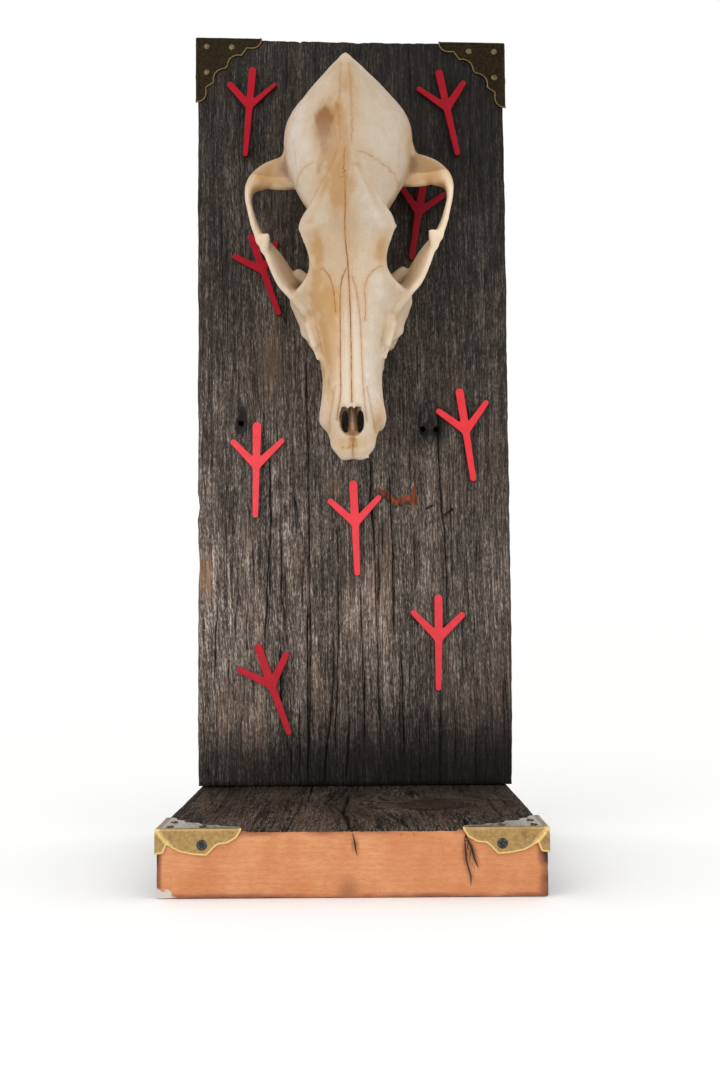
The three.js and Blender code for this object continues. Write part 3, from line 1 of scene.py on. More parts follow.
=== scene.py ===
# Coyote skull on a barn-board wall shelf: the looks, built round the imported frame.
# Row frame, metres; the shape tables are in millimetres.
import json, math
import bpy
import numpy as np
from mathutils import Vector, Matrix

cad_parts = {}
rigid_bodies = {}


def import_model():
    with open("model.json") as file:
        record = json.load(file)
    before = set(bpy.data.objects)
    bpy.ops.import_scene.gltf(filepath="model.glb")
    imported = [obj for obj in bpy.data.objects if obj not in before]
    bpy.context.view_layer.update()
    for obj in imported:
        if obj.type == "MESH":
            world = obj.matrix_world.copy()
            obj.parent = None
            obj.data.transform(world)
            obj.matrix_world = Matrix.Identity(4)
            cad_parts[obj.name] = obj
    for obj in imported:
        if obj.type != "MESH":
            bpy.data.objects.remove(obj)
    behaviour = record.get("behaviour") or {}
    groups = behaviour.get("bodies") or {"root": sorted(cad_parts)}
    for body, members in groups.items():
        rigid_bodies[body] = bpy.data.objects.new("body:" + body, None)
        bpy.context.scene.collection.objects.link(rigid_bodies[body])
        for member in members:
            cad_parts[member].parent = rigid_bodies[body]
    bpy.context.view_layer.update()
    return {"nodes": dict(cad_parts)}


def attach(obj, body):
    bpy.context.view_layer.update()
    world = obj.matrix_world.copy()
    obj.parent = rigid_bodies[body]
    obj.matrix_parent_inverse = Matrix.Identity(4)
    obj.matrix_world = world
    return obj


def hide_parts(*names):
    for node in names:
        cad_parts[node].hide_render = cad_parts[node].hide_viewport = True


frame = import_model()
MM = 0.001
NODES = frame["nodes"]

# ------------------------------------------------------------------ camera
cam_data = bpy.data.cameras.new("camera")
cam = bpy.data.objects.new("camera", cam_data)
bpy.context.scene.collection.objects.link(cam)
right, fwd, up = (0.999974, 0.002004, -0.006854), (-0.001611, 0.998383, 0.056826), (0.006956, -0.056813, 0.998361)
cam.matrix_world = Matrix(((right[0], up[0], -fwd[0], 4.403 * MM), (right[1], up[1], -fwd[1], -666.718 * MM), (right[2], up[2], -fwd[2], 103.318 * MM), (0, 0, 0, 1)))
cam_data.sensor_fit = 'AUTO'
cam_data.sensor_width = 36.0
cam_data.lens = 50.0
cam_data.clip_start, cam_data.clip_end = 0.01, 50.0
bpy.context.scene.camera = cam

# ------------------------------------------------------------------ light and ground
def stage_light(name, loc, target, size, power, colour=(1, 1, 1), size_y=None):
    d = bpy.data.lights.new(name, 'AREA')
    d.shape = 'RECTANGLE' if size_y else 'SQUARE'
    d.size = size
    if size_y:
        d.size_y = size_y
    d.energy = power
    d.color = colour
    o = bpy.data.objects.new(name, d)
    o.location = loc
    o.rotation_euler = (Vector(target) - Vector(loc)).to_track_quat('-Z', 'Y').to_euler()
    bpy.context.scene.collection.objects.link(o)
    return o

# ------------------------------------------------------------------ numeric helpers
f32 = np.float32

def catmull(P, n):
    P = np.asarray(P, float); m = len(P); out = []
    for i in range(m - 1):
        p1, p2 = P[i], P[i + 1]
        p0 = P[i - 1] if i > 0 else 2 * p1 - p2
        p3 = P[i + 2] if i + 2 < m else 2 * p2 - p1
        for j in range(n):
            t = j / n
            out.append(0.5 * ((2 * p1) + (-p0 + p2) * t + (2 * p0 - 5 * p1 + 4 * p2 - p3) * t * t + (-p0 + 3 * p1 - 3 * p2 + p3) * t ** 3))
    out.append(P[-1])
    return np.array(out)

def sstep(a, b, x):
    t = np.clip((x - a) / (b - a), 0, 1)
    return t * t * (3 - 2 * t)

def _hash(ix, iy, iz, seed):
    h = (ix.astype(np.int64) * 73856093) ^ (iy.astype(np.int64) * 19349663) ^ (iz.astype(np.int64) * 83492791) ^ (seed * 2654435761)
    h = (h ^ (h >> 13)) * 1274126177
    h = h ^ (h >> 16)
    return (h & 0xFFFFFF).astype(float) / float(0x7FFFFF) - 1.0

def vnoise(x, y, z, seed=0):
    """smooth value noise, -1..1"""
    x, y, z = np.broadcast_arrays(np.asarray(x, float), np.asarray(y, float), np.asarray(z, float))
    fx, fy, fz = np.floor(x), np.floor(y), np.floor(z)
    u, v, w = x - fx, y - fy, z - fz
    u, v, w = [t * t * t * (t * (t * 6 - 15) + 10) for t in (u, v, w)]
    ix, iy, iz = fx.astype(np.int64), fy.astype(np.int64), fz.astype(np.int64)
    r = 0
    for a in (0, 1):
        for b in (0, 1):
            for c in (0, 1):
                wgt = (u if a else 1 - u) * (v if b else 1 - v) * (w if c else 1 - w)
                r = r + wgt * _hash(ix + a, iy + b, iz + c, seed)
    return r

def fbm(x, y, z, oct=3, seed=0, gain=0.5):
    r, a, n = 0, 1.0, 0.0
    for o in range(oct):
        k = 2.03 ** o
        r = r + a * vnoise(x * k + 17.1 * o, y * k - 9.7 * o, z * k + 4.3 * o, seed + o)
        n += a; a *= gain
    return r / n

# ------------------------------------------------------------------ sampled solid shapes
def interp_rings(S, R, s):
    S = np.asarray(S, float); R = np.asarray(R, float); R2 = R.reshape(len(S), -1)
    h = np.diff(S)[:, None]; d = np.diff(R2, axis=0) / h
    m = np.zeros_like(R2); m[0] = d[0]; m[-1] = d[-1]
    m[1:-1] = (d[:-1] * h[1:] + d[1:] * h[:-1]) / (h[1:] + h[:-1])
    sc = np.clip(s, S[0], S[-1]); i = np.clip(np.searchsorted(S, sc, side='right') - 1, 0, len(S) - 2)
    hh = (S[i + 1] - S[i]); t = ((sc - S[i]) / hh)[:, None]; hh = hh[:, None]
    a = R2[i]; b = R2[i + 1]; ma = m[i] * hh; mb = m[i + 1] * hh
    v = (2 * t ** 3 - 3 * t ** 2 + 1) * a + (t ** 3 - 2 * t ** 2 + t) * ma + (-2 * t ** 3 + 3 * t ** 2) * b + (t ** 3 - t ** 2) * mb
    return v.reshape((len(s),) + R.shape[1:])

def poly_sd(px, pz, C):
    """signed distance in the half plane px >= 0 to an open outline that starts and ends on the midline"""
    d2 = np.full(px.shape, 1e9, f32); inside = np.zeros(px.shape, bool)
    for (ax, az), (bx, bz) in zip(C[:-1], C[1:]):
        ex, ez = bx - ax, bz - az; L = ex * ex + ez * ez
        if L < 1e-12:
            continue
        wx, wz = px - ax, pz - az
        t = np.clip((wx * ex + wz * ez) / L, 0, 1)
        dx, dz = wx - t * ex, wz - t * ez
        d2 = np.minimum(d2, dx * dx + dz * dz)
        c = (az <= pz) != (bz <= pz)
        if c.any():
            xi = ax + (pz - az) * (ex / (ez if abs(ez) > 1e-12 else 1e-12))
            inside ^= c & (px < xi)
    d = np.sqrt(d2)
    return np.where(inside, -d, d)

class Grid:
    def __init__(self, lo, hi, h):
        self.lo = np.array(lo, float); self.h = h
        self.n = np.ceil((np.array(hi) - self.lo) / h).astype(int) + 1
        self.ax = [self.lo[i] + h * np.arange(self.n[i]) for i in range(3)]
        self.F = np.full(self.n, 30.0, f32)
    def block(self, lo, hi, pad):
        i0 = np.clip(np.floor((np.array(lo) - pad - self.lo) / self.h).astype(int), 0, self.n - 1)
        i1 = np.clip(np.ceil((np.array(hi) + pad - self.lo) / self.h).astype(int) + 1, 1, self.n)
        if np.any(i1 - i0 < 2):
            return None
        sl = tuple(slice(a, b) for a, b in zip(i0, i1))
        return sl, self.ax[0][sl[0]][:, None, None].astype(f32), self.ax[1][sl[1]][None, :, None].astype(f32), self.ax[2][sl[2]][None, None, :].astype(f32)
    def sample(self, P, F=None):
        """trilinear value at points"""
        F = self.F if F is None else F
        q = (np.asarray(P) - self.lo) / self.h
        i = np.clip(np.floor(q).astype(int), 0, self.n - 2); t = np.clip(q - i, 0, 1)
        r = 0
        for a in (0, 1):
            for b in (0, 1):
                for c in (0, 1):
                    w = (t[:, 0] if a else 1 - t[:, 0]) * (t[:, 1] if b else 1 - t[:, 1]) * (t[:, 2] if c else 1 - t[:, 2])
                    r = r + w * F[i[:, 0] + a, i[:, 1] + b, i[:, 2] + c]
        return r

def rotm(e):
    a, b, c = np.radians(e)
    Rx = np.array([[1, 0, 0], [0, np.cos(a), -np.sin(a)], [0, np.sin(a), np.cos(a)]])
    Ry = np.array([[np.cos(b), 0, np.sin(b)], [0, 1, 0], [-np.sin(b), 0, np.cos(b)]])
    Rz = np.array([[np.cos(c), -np.sin(c), 0], [np.sin(c), np.cos(c), 0], [0, 0, 1]])
    return Rz @ Ry @ Rx

def shape_box(p):
    t = p['t']
    if t == 'loft':
        R = np.array([r[1] for r in p['rings']], float); S = [r[0] for r in p['rings']]
        w = R[..., 0].max(); return [-w, min(S), R[..., 1].min()], [w, max(S), R[..., 1].max()]
    if t == 'cap':
        a, b = np.array(p['a'], float), np.array(p['b'], float); r = max(p['ra'], p['rb'])
        return np.minimum(a, b) - r, np.maximum(a, b) + r
    if t == 'ell':
        c = np.array(p['c'], float); r = np.array(p['r'], float)
        if p.get('e'):
            r = np.full(3, r.max())
        return c - r, c + r
    st = np.array(p['st'], float); r = max(st[:, 3].max(), st[:, 4].max())
    return st[:, :3].min(0) - r, st[:, :3].max(0) + r

def shape_value(p, X, S, Z):
    t = p['t']
    if t == 'loft':
        Ss = np.array([r[0] for r in p['rings']], float); R = np.array([r[1] for r in p['rings']], float)
        s = S.ravel(); V = interp_rings(Ss, R, s)
        xs = X[:, 0, 0]; z = Z[0, 0, :][None, :]
        ax = np.abs(xs)[:, None]; uni, inv = np.unique(np.round(ax[:, 0], 4), return_inverse=True)
        D = np.empty((X.shape[0], len(s), Z.shape[2]), f32)
        for j in range(len(s)):
            C = catmull(V[j], p.get('sub', 3)); C[0, 0] = 0; C[-1, 0] = 0; C[:, 0] = np.maximum(C[:, 0], 0)
            px = (uni[:, None] + 0 * z).astype(f32); pz = (z + 0 * uni[:, None]).astype(f32)
            D[:, j, :] = poly_sd(px, pz, C.astype(f32))[inv]
        over = np.maximum(Ss[0] - s, s - Ss[-1])[None, :, None].astype(f32)
        if len(s) > 2:
            g = np.gradient(D, s, axis=1); D = D / np.sqrt(1 + np.clip(g, -2.5, 2.5) ** 2)
        return np.where(over > -6, np.minimum(np.maximum(D, over), 0) + np.sqrt(np.maximum(D, 0) ** 2 + np.maximum(over, 0) ** 2), D)
    if t == 'cap':
        a, b = np.array(p['a'], float), np.array(p['b'], float); ba = b - a; L = float(ba @ ba)
        a = [f32(v) for v in a]; ba = [f32(v) for v in ba]
        w = (X - a[0], S - a[1], Z - a[2])
        tt = np.clip((w[0] * ba[0] + w[1] * ba[1] + w[2] * ba[2]) / f32(L), 0, 1)
        d = np.sqrt((w[0] - tt * ba[0]) ** 2 + (w[1] - tt * ba[1]) ** 2 + (w[2] - tt * ba[2]) ** 2)
        return d - (p['ra'] + (p['rb'] - p['ra']) * tt)
    if t == 'ell':
        c, r = [f32(v) for v in p['c']], [f32(v) for v in p['r']]
        q = (X - c[0], S - c[1], Z - c[2])
        if p.get('e'):
            M = rotm(p['e']).astype(f32); q = tuple(M[0][i] * q[0] + M[1][i] * q[1] + M[2][i] * q[2] for i in range(3))
        k0 = np.sqrt((q[0] / r[0]) ** 2 + (q[1] / r[1]) ** 2 + (q[2] / r[2]) ** 2)
        k1 = np.sqrt((q[0] / r[0] ** 2) ** 2 + (q[1] / r[1] ** 2) ** 2 + (q[2] / r[2] ** 2) ** 2)
        return k0 * (k0 - 1) / np.maximum(k1, 1e-6)
    st = catmull(np.array(p['st'], float), p.get('sub', 4)); n = p.get('n', 2.6)
    D = np.full(np.broadcast(X, S, Z).shape, 30.0, f32)
    x0, s0, z0 = X[0, 0, 0], S[0, 0, 0], Z[0, 0, 0]
    hx = X[1, 0, 0] - X[0, 0, 0]
    lo0 = np.array([x0, s0, z0])
    for i in range(len(st) - 1):
        A, Bq = st[i], st[i + 1]; a, b = A[:3], Bq[:3]; ba = b - a; L = max(ba @ ba, 1e-9)
        T = ba / np.sqrt(L)
        pad = max(A[3], A[4], Bq[3], Bq[4]) + 5.0
        i0 = np.clip(np.floor((np.minimum(a, b) - pad - lo0) / hx).astype(int), 0, np.array(D.shape) - 1)
        i1 = np.clip(np.ceil((np.maximum(a, b) + pad - lo0) / hx).astype(int) + 1, 1, D.shape)
        if np.any(i1 <= i0):
            continue
        sl = tuple(slice(u, v) for u, v in zip(i0, i1))
        w = (X[sl[0]] - f32(a[0]), S[:, sl[1]] - f32(a[1]), Z[:, :, sl[2]] - f32(a[2]))
        ba = [f32(v) for v in ba]
        tt = np.clip((w[0] * ba[0] + w[1] * ba[1] + w[2] * ba[2]) / f32(L), 0, 1)
        q = (w[0] - tt * ba[0], w[1] - tt * ba[1], w[2] - tt * ba[2])
        V0 = np.cross(T, [0, 0, 1.0]); V0 /= max(np.linalg.norm(V0), 1e-6)
        U0 = np.cross(V0, T)
        al = np.radians(A[5] + (Bq[5] - A[5]) * 0.5)
        U = (U0 * np.cos(al) + V0 * np.sin(al)).astype(f32); V = (V0 * np.cos(al) - U0 * np.sin(al)).astype(f32); T = T.astype(f32)
        hh = A[3] + (Bq[3] - A[3]) * tt; ht = A[4] + (Bq[4] - A[4]) * tt
        u = np.abs(q[0] * U[0] + q[1] * U[1] + q[2] * U[2]); v = np.abs(q[0] * V[0] + q[1] * V[1] + q[2] * V[2])
        ww = np.abs(q[0] * T[0] + q[1] * T[1] + q[2] * T[2])
        rho = np.sqrt(u * u + v * v + ww * ww) + 1e-6
        k = ((u / hh) ** n + (v / ht) ** n + (ww / ht) ** n) ** (1 / n) + 1e-9
        d = np.maximum(rho * (1 - 1 / k), -np.minimum(hh, ht)).astype(f32)
        D[sl] = np.minimum(D[sl], d)
    return D

def smin(a, b, k):
    if k <= 0:
        return np.minimum(a, b)
    h = np.maximum(k - np.abs(a - b), 0) / k
    return np.minimum(a, b) - h * h * k * 0.25

def mirrored(p):
    q = dict(p)
    if p['t'] == 'cap':
        q['a'] = [-p['a'][0], *p['a'][1:]]; q['b'] = [-p['b'][0], *p['b'][1:]]
    elif p['t'] == 'ell':
        q['c'] = [-p['c'][0], *p['c'][1:]]
        if p.get('e'):
            q['e'] = [p['e'][0], -p['e'][1], -p['e'][2]]
    elif p['t'] == 'band':
        q['st'] = [[-r[0], r[1], r[2], r[3], r[4], -r[5]] for r in p['st']]
    return q

def fill(rows, g):
    for it in rows:
        op, k, p = it[0], it[1], it[2]; both = it[3] if len(it) > 3 else 0
        for q in ([p, mirrored(p)] if both else [p]):
            lo, hi = shape_box(q)
            bl = g.block(lo, hi, k + 3.0)
            if bl is None:
                continue
            sl, X, S, Z = bl
            d = shape_value(q, X, S, Z).astype(f32)
            g.F[sl] = smin(g.F[sl], d, k) if op == '+' else -smin(-g.F[sl], d, k)
    return g

def surface_nets(F, lo, h):
    """dual mesh of F = 0: vertices (n,3) and quads (m,4) that face out of F < 0"""
    B = (F < 0); n = F.shape
    c = [B[i:n[0] - 1 + i, j:n[1] - 1 + j, k:n[2] - 1 + k] for i in (0, 1) for j in (0, 1) for k in (0, 1)]
    cnt = sum(x.astype(np.int8) for x in c)
    act = (cnt > 0) & (cnt < 8)
    idx = np.full(act.shape, -1, np.int64); ii = np.argwhere(act); idx[act] = np.arange(len(ii))
    acc = np.zeros((len(ii), 3)); num = np.zeros(len(ii))
    I, J, K = ii[:, 0], ii[:, 1], ii[:, 2]
    corners = [(a, b, cc) for a in (0, 1) for b in (0, 1) for cc in (0, 1)]
    for a in range(8):
        for b in range(a + 1, 8):
            ca, cb = corners[a], corners[b]
            df = [x != y for x, y in zip(ca, cb)]
            if sum(df) != 1:
                continue
            va = F[I + ca[0], J + ca[1], K + ca[2]].astype(float); vb = F[I + cb[0], J + cb[1], K + cb[2]].astype(float)
            m = (va < 0) != (vb < 0)
            t = np.where(m, va / np.where(m, va - vb, 1), 0)
            axn = df.index(True)
            for ax in range(3):
                acc[:, ax] += np.where(m, ca[ax] + (t if ax == axn else 0), 0)
            num += m
    V = (ii + acc / num[:, None]) * h + np.asarray(lo)
    quads = []
    for ax in range(3):
        sl0 = [slice(None)] * 3; sl1 = [slice(None)] * 3
        sl0[ax] = slice(0, n[ax] - 1); sl1[ax] = slice(1, n[ax])
        b0, b1 = B[tuple(sl0)], B[tuple(sl1)]
        o = [a for a in range(3) if a != ax]
        cut = [slice(None)] * 3; cut[o[0]] = slice(1, n[o[0]] - 1); cut[o[1]] = slice(1, n[o[1]] - 1)
        e = np.argwhere((b0 != b1)[tuple(cut)])
        e[:, o[0]] += 1; e[:, o[1]] += 1
        pos = b0[e[:, 0], e[:, 1], e[:, 2]]
        def cell(d0, d1):
            q = e.copy(); q[:, o[0]] -= d0; q[:, o[1]] -= d1
            return idx[q[:, 0], q[:, 1], q[:, 2]]
        q = np.stack([cell(1, 1), cell(0, 1), cell(0, 0), cell(1, 0)], 1)
        flip = pos if ax != 1 else ~pos
        quads.append(np.where(flip[:, None], q, q[:, ::-1]))
    return V, np.concatenate(quads)

def largest(V, Q):
    """the biggest connected piece of a mesh"""
    up = np.arange(len(V))
    e = np.concatenate([Q[:, [0, 1]], Q[:, [1, 2]], Q[:, [2, 3]]])
    while True:
        a, b = up[e[:, 0]], up[e[:, 1]]
        m = np.minimum(a, b)
        new = up.copy()
        np.minimum.at(new, a, m); np.minimum.at(new, b, m)
        new = new[new]
        if np.array_equal(new, up):
            break
        up = new
    r, cnt = np.unique(up[Q[:, 0]], return_counts=True)
    keep = up[Q[:, 0]] == r[cnt.argmax()]
    Q = Q[keep]; used, inv = np.unique(Q, return_inverse=True)
    return V[used], inv.reshape(Q.shape)

def relax(V, Q, rounds, w=0.5, back=None):
    """Laplacian smoothing that keeps volume (Taubin)"""
    e = np.concatenate([Q[:, [0, 1]], Q[:, [1, 2]], Q[:, [2, 3]], Q[:, [3, 0]]])
    a = np.concatenate([e[:, 0], e[:, 1]]); b = np.concatenate([e[:, 1], e[:, 0]])
    deg = np.bincount(a, minlength=len(V)).astype(float)[:, None]
    for _ in range(rounds):
        for k in (w, -w * 1.04):
            s = np.stack([np.bincount(a, weights=V[b, i], minlength=len(V)) for i in range(3)], 1)
            V = V + k * (s / deg - V)
    return V

def normals_of(V, Q):
    n = np.cross(V[Q[:, 2]] - V[Q[:, 0]], V[Q[:, 3]] - V[Q[:, 1]])
    N = np.zeros_like(V)
    for i in range(4):
        for c in range(3):
            N[:, c] += np.bincount(Q[:, i], weights=n[:, c], minlength=len(V))
    return N / np.maximum(np.linalg.norm(N, axis=1, keepdims=True), 1e-12)

# ------------------------------------------------------------------ meshes
def mesh_piece(name, V, faces, mats, smooth=True, attrs=None, uv=None, node=None, mat_index=None, colour=None):
    """V in mm; faces a list or an (m,k) array; attrs {name: per-vertex floats or vectors}"""
    me = bpy.data.meshes.new(name)
    V = np.asarray(V, float) * MM
    if isinstance(faces, np.ndarray):
        m, k = faces.shape
        me.vertices.add(len(V)); me.vertices.foreach_set("co", V.astype(f32).ravel())
        me.loops.add(m * k); me.loops.foreach_set("vertex_index", faces.astype(np.int32).ravel())
        me.polygons.add(m); me.polygons.foreach_set("loop_start", np.arange(0, m * k, k, dtype=np.int32))
        me.polygons.foreach_set("loop_total", np.full(m, k, np.int32))
        me.update(calc_edges=True)
    else:
        me.from_pydata([tuple(v) for v in V], [], faces)
        me.update()
    me.validate()
    for k, v in (attrs or {}).items():
        v = np.asarray(v, f32)
        if v.ndim == 1:
            a = me.attributes.new(k, 'FLOAT', 'POINT'); a.data.foreach_set("value", v)
        else:
            a = me.attributes.new(k, 'FLOAT_VECTOR', 'POINT'); a.data.foreach_set("vector", v.ravel())
    me.polygons.foreach_set("use_smooth", np.full(len(me.polygons), smooth))
    if mat_index is not None:
        me.polygons.foreach_set("material_index", np.asarray(mat_index, np.int32))
    for m in (mats if isinstance(mats, (list, tuple)) else [mats]):
        me.materials.append(m)
    if uv is not None:
        l = np.zeros(len(me.loops), np.int32); me.loops.foreach_get("vertex_index", l)
        lay = me.uv_layers.new(name="uv"); lay.data.foreach_set("uv", np.asarray(uv, f32)[l].ravel())
    o = bpy.data.objects.new(name, me)
    bpy.context.scene.collection.objects.link(o)
    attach(o, "root")
    if node:
        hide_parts(*([node] if isinstance(node, str) else node))
    return o

# ------------------------------------------------------------------ material helper
def lin(r, g, b):
    """an 8-bit colour as linear light"""
    return tuple(((c / 255 + 0.055) / 1.055) ** 2.4 if c > 10.3 else c / 255 / 12.92 for c in (r, g, b)) + (1.0,)

class Mat:
    def __init__(self, name):
        self.m = bpy.data.materials.new(name)
        self.m.use_nodes = True
        self.nt = self.m.node_tree
        self.nt.nodes.clear()
        self.out = self.nt.nodes.new('ShaderNodeOutputMaterial')
        self.b = self.nt.nodes.new('ShaderNodeBsdfPrincipled')
        self.nt.links.new(self.b.outputs[0], self.out.inputs[0])
        self._obj = None
    def put(self, sock, v):
        if isinstance(v, bpy.types.NodeSocket):
            self.nt.links.new(v, sock)
        elif v is not None:
            sock.default_value = v
    def set(self, **kw):
        for k, v in kw.items():
            self.put(self.b.inputs[k.replace('_', ' ')], v)
    def pos(self):
        if self._obj is None:
            self._obj = self.nt.nodes.new('ShaderNodeTexCoord').outputs['Object']
        return self._obj
    def mth(self, op, a, b=None, c=None, clamp=False):
        n = self.nt.nodes.new('ShaderNodeMath'); n.operation = op; n.use_clamp = clamp
        for i, v in enumerate((a, b, c)):
            self.put(n.inputs[i], v)
        return n.outputs[0]
    def add(self, a, b): return self.mth('ADD', a, b)
    def sub(self, a, b): return self.mth('SUBTRACT', a, b)
    def mul(self, a, b, clamp=False): return self.mth('MULTIPLY', a, b, None, clamp)
    def mad(self, a, b, c): return self.mth('MULTIPLY_ADD', a, b, c)
    def mx(self, a, b): return self.mth('MAXIMUM', a, b)
    def mn(self, a, b): return self.mth('MINIMUM', a, b)
    def ab(self, a): return self.mth('ABSOLUTE', a)
    def inv(self, a): return self.mth('SUBTRACT', 1.0, a)
    def vm(self, op, a, b=None, s=None):
        n = self.nt.nodes.new('ShaderNodeVectorMath'); n.operation = op
        self.put(n.inputs[0], a)
        if b is not None: self.put(n.inputs[1], b)
        if s is not None: self.put(n.inputs['Scale'], s)
        return n.outputs['Value'] if op in ('LENGTH', 'DISTANCE', 'DOT_PRODUCT') else n.outputs['Vector']
    def comb(self, x, y, z):
        n = self.nt.nodes.new('ShaderNodeCombineXYZ')
        for i, v in enumerate((x, y, z)): self.put(n.inputs[i], v)
        return n.outputs[0]
    def sep(self, v):
        n = self.nt.nodes.new('ShaderNodeSeparateXYZ'); self.put(n.inputs[0], v)
        return n.outputs[0], n.outputs[1], n.outputs[2]
    def attr(self, name, vec=False):
        n = self.nt.nodes.new('ShaderNodeAttribute'); n.attribute_name = name
        return n.outputs['Vector' if vec else 'Fac']
    def noise(self, vec, scale=1.0, detail=2.0, rough=0.5, dist=0.0, colour=False):
        n = self.nt.nodes.new('ShaderNodeTexNoise')
        self.put(n.inputs['Vector'], vec)
        for k, v in (('Scale', scale), ('Detail', detail), ('Roughness', rough), ('Distortion', dist)): self.put(n.inputs[k], v)
        return n.outputs['Color' if colour else 'Fac']
    def vor(self, vec, scale=1.0, feature='F1', rand=1.0, out='Distance'):
        n = self.nt.nodes.new('ShaderNodeTexVoronoi'); n.feature = feature
        self.put(n.inputs['Vector'], vec); self.put(n.inputs['Scale'], scale); self.put(n.inputs['Randomness'], rand)
        return n.outputs[out]
    def rng(self, v, a, b, c=0.0, d=1.0, smooth=True):
        n = self.nt.nodes.new('ShaderNodeMapRange')
        n.interpolation_type = 'SMOOTHSTEP' if smooth else 'LINEAR'
        n.clamp = True
        for i, x in enumerate((v, a, b, c, d)): self.put(n.inputs[i], x)
        return n.outputs[0]
    def mix(self, f, a, b, mode='MIX'):
        n = self.nt.nodes.new('ShaderNodeMix'); n.data_type = 'RGBA'; n.blend_type = mode
        self.put(n.inputs['Factor'], f)
        ins = [i for i in n.inputs if i.type == 'RGBA']
        self.put(ins[0], a); self.put(ins[1], b)
        return [o for o in n.outputs if o.type == 'RGBA'][0]
    def ramp(self, f, stops, interp='LINEAR'):
        n = self.nt.nodes.new('ShaderNodeValToRGB'); cr = n.color_ramp; cr.interpolation = interp
        while len(cr.elements) < len(stops): cr.elements.new(0.5)
        while len(cr.elements) > len(stops): cr.elements.remove(cr.elements[-1])
        for e, (p, c) in zip(cr.elements, stops):
            e.position = p; e.color = c if len(c) == 4 else (*c, 1.0)
        self.put(n.inputs[0], f)
        return n.outputs[0]
    def hsv(self, col, h=0.5, s=1.0, v=1.0):
        n = self.nt.nodes.new('ShaderNodeHueSaturation')
        for k, x in (('Hue', h), ('Saturation', s), ('Value', v), ('Color', col)): self.put(n.inputs[k], x)
        return n.outputs[0]
    def scale(self, col, f):
        """brightness of a colour times a number"""
        return self.vm('SCALE', col, None, f)
    def bump(self, h, strength=0.5, dist=0.001, normal=None):
        n = self.nt.nodes.new('ShaderNodeBump')
        n.inputs['Strength'].default_value = strength; n.inputs['Distance'].default_value = dist
        self.put(n.inputs['Height'], h)
        if normal is not None: self.put(n.inputs['Normal'], normal)
        return n.outputs[0]

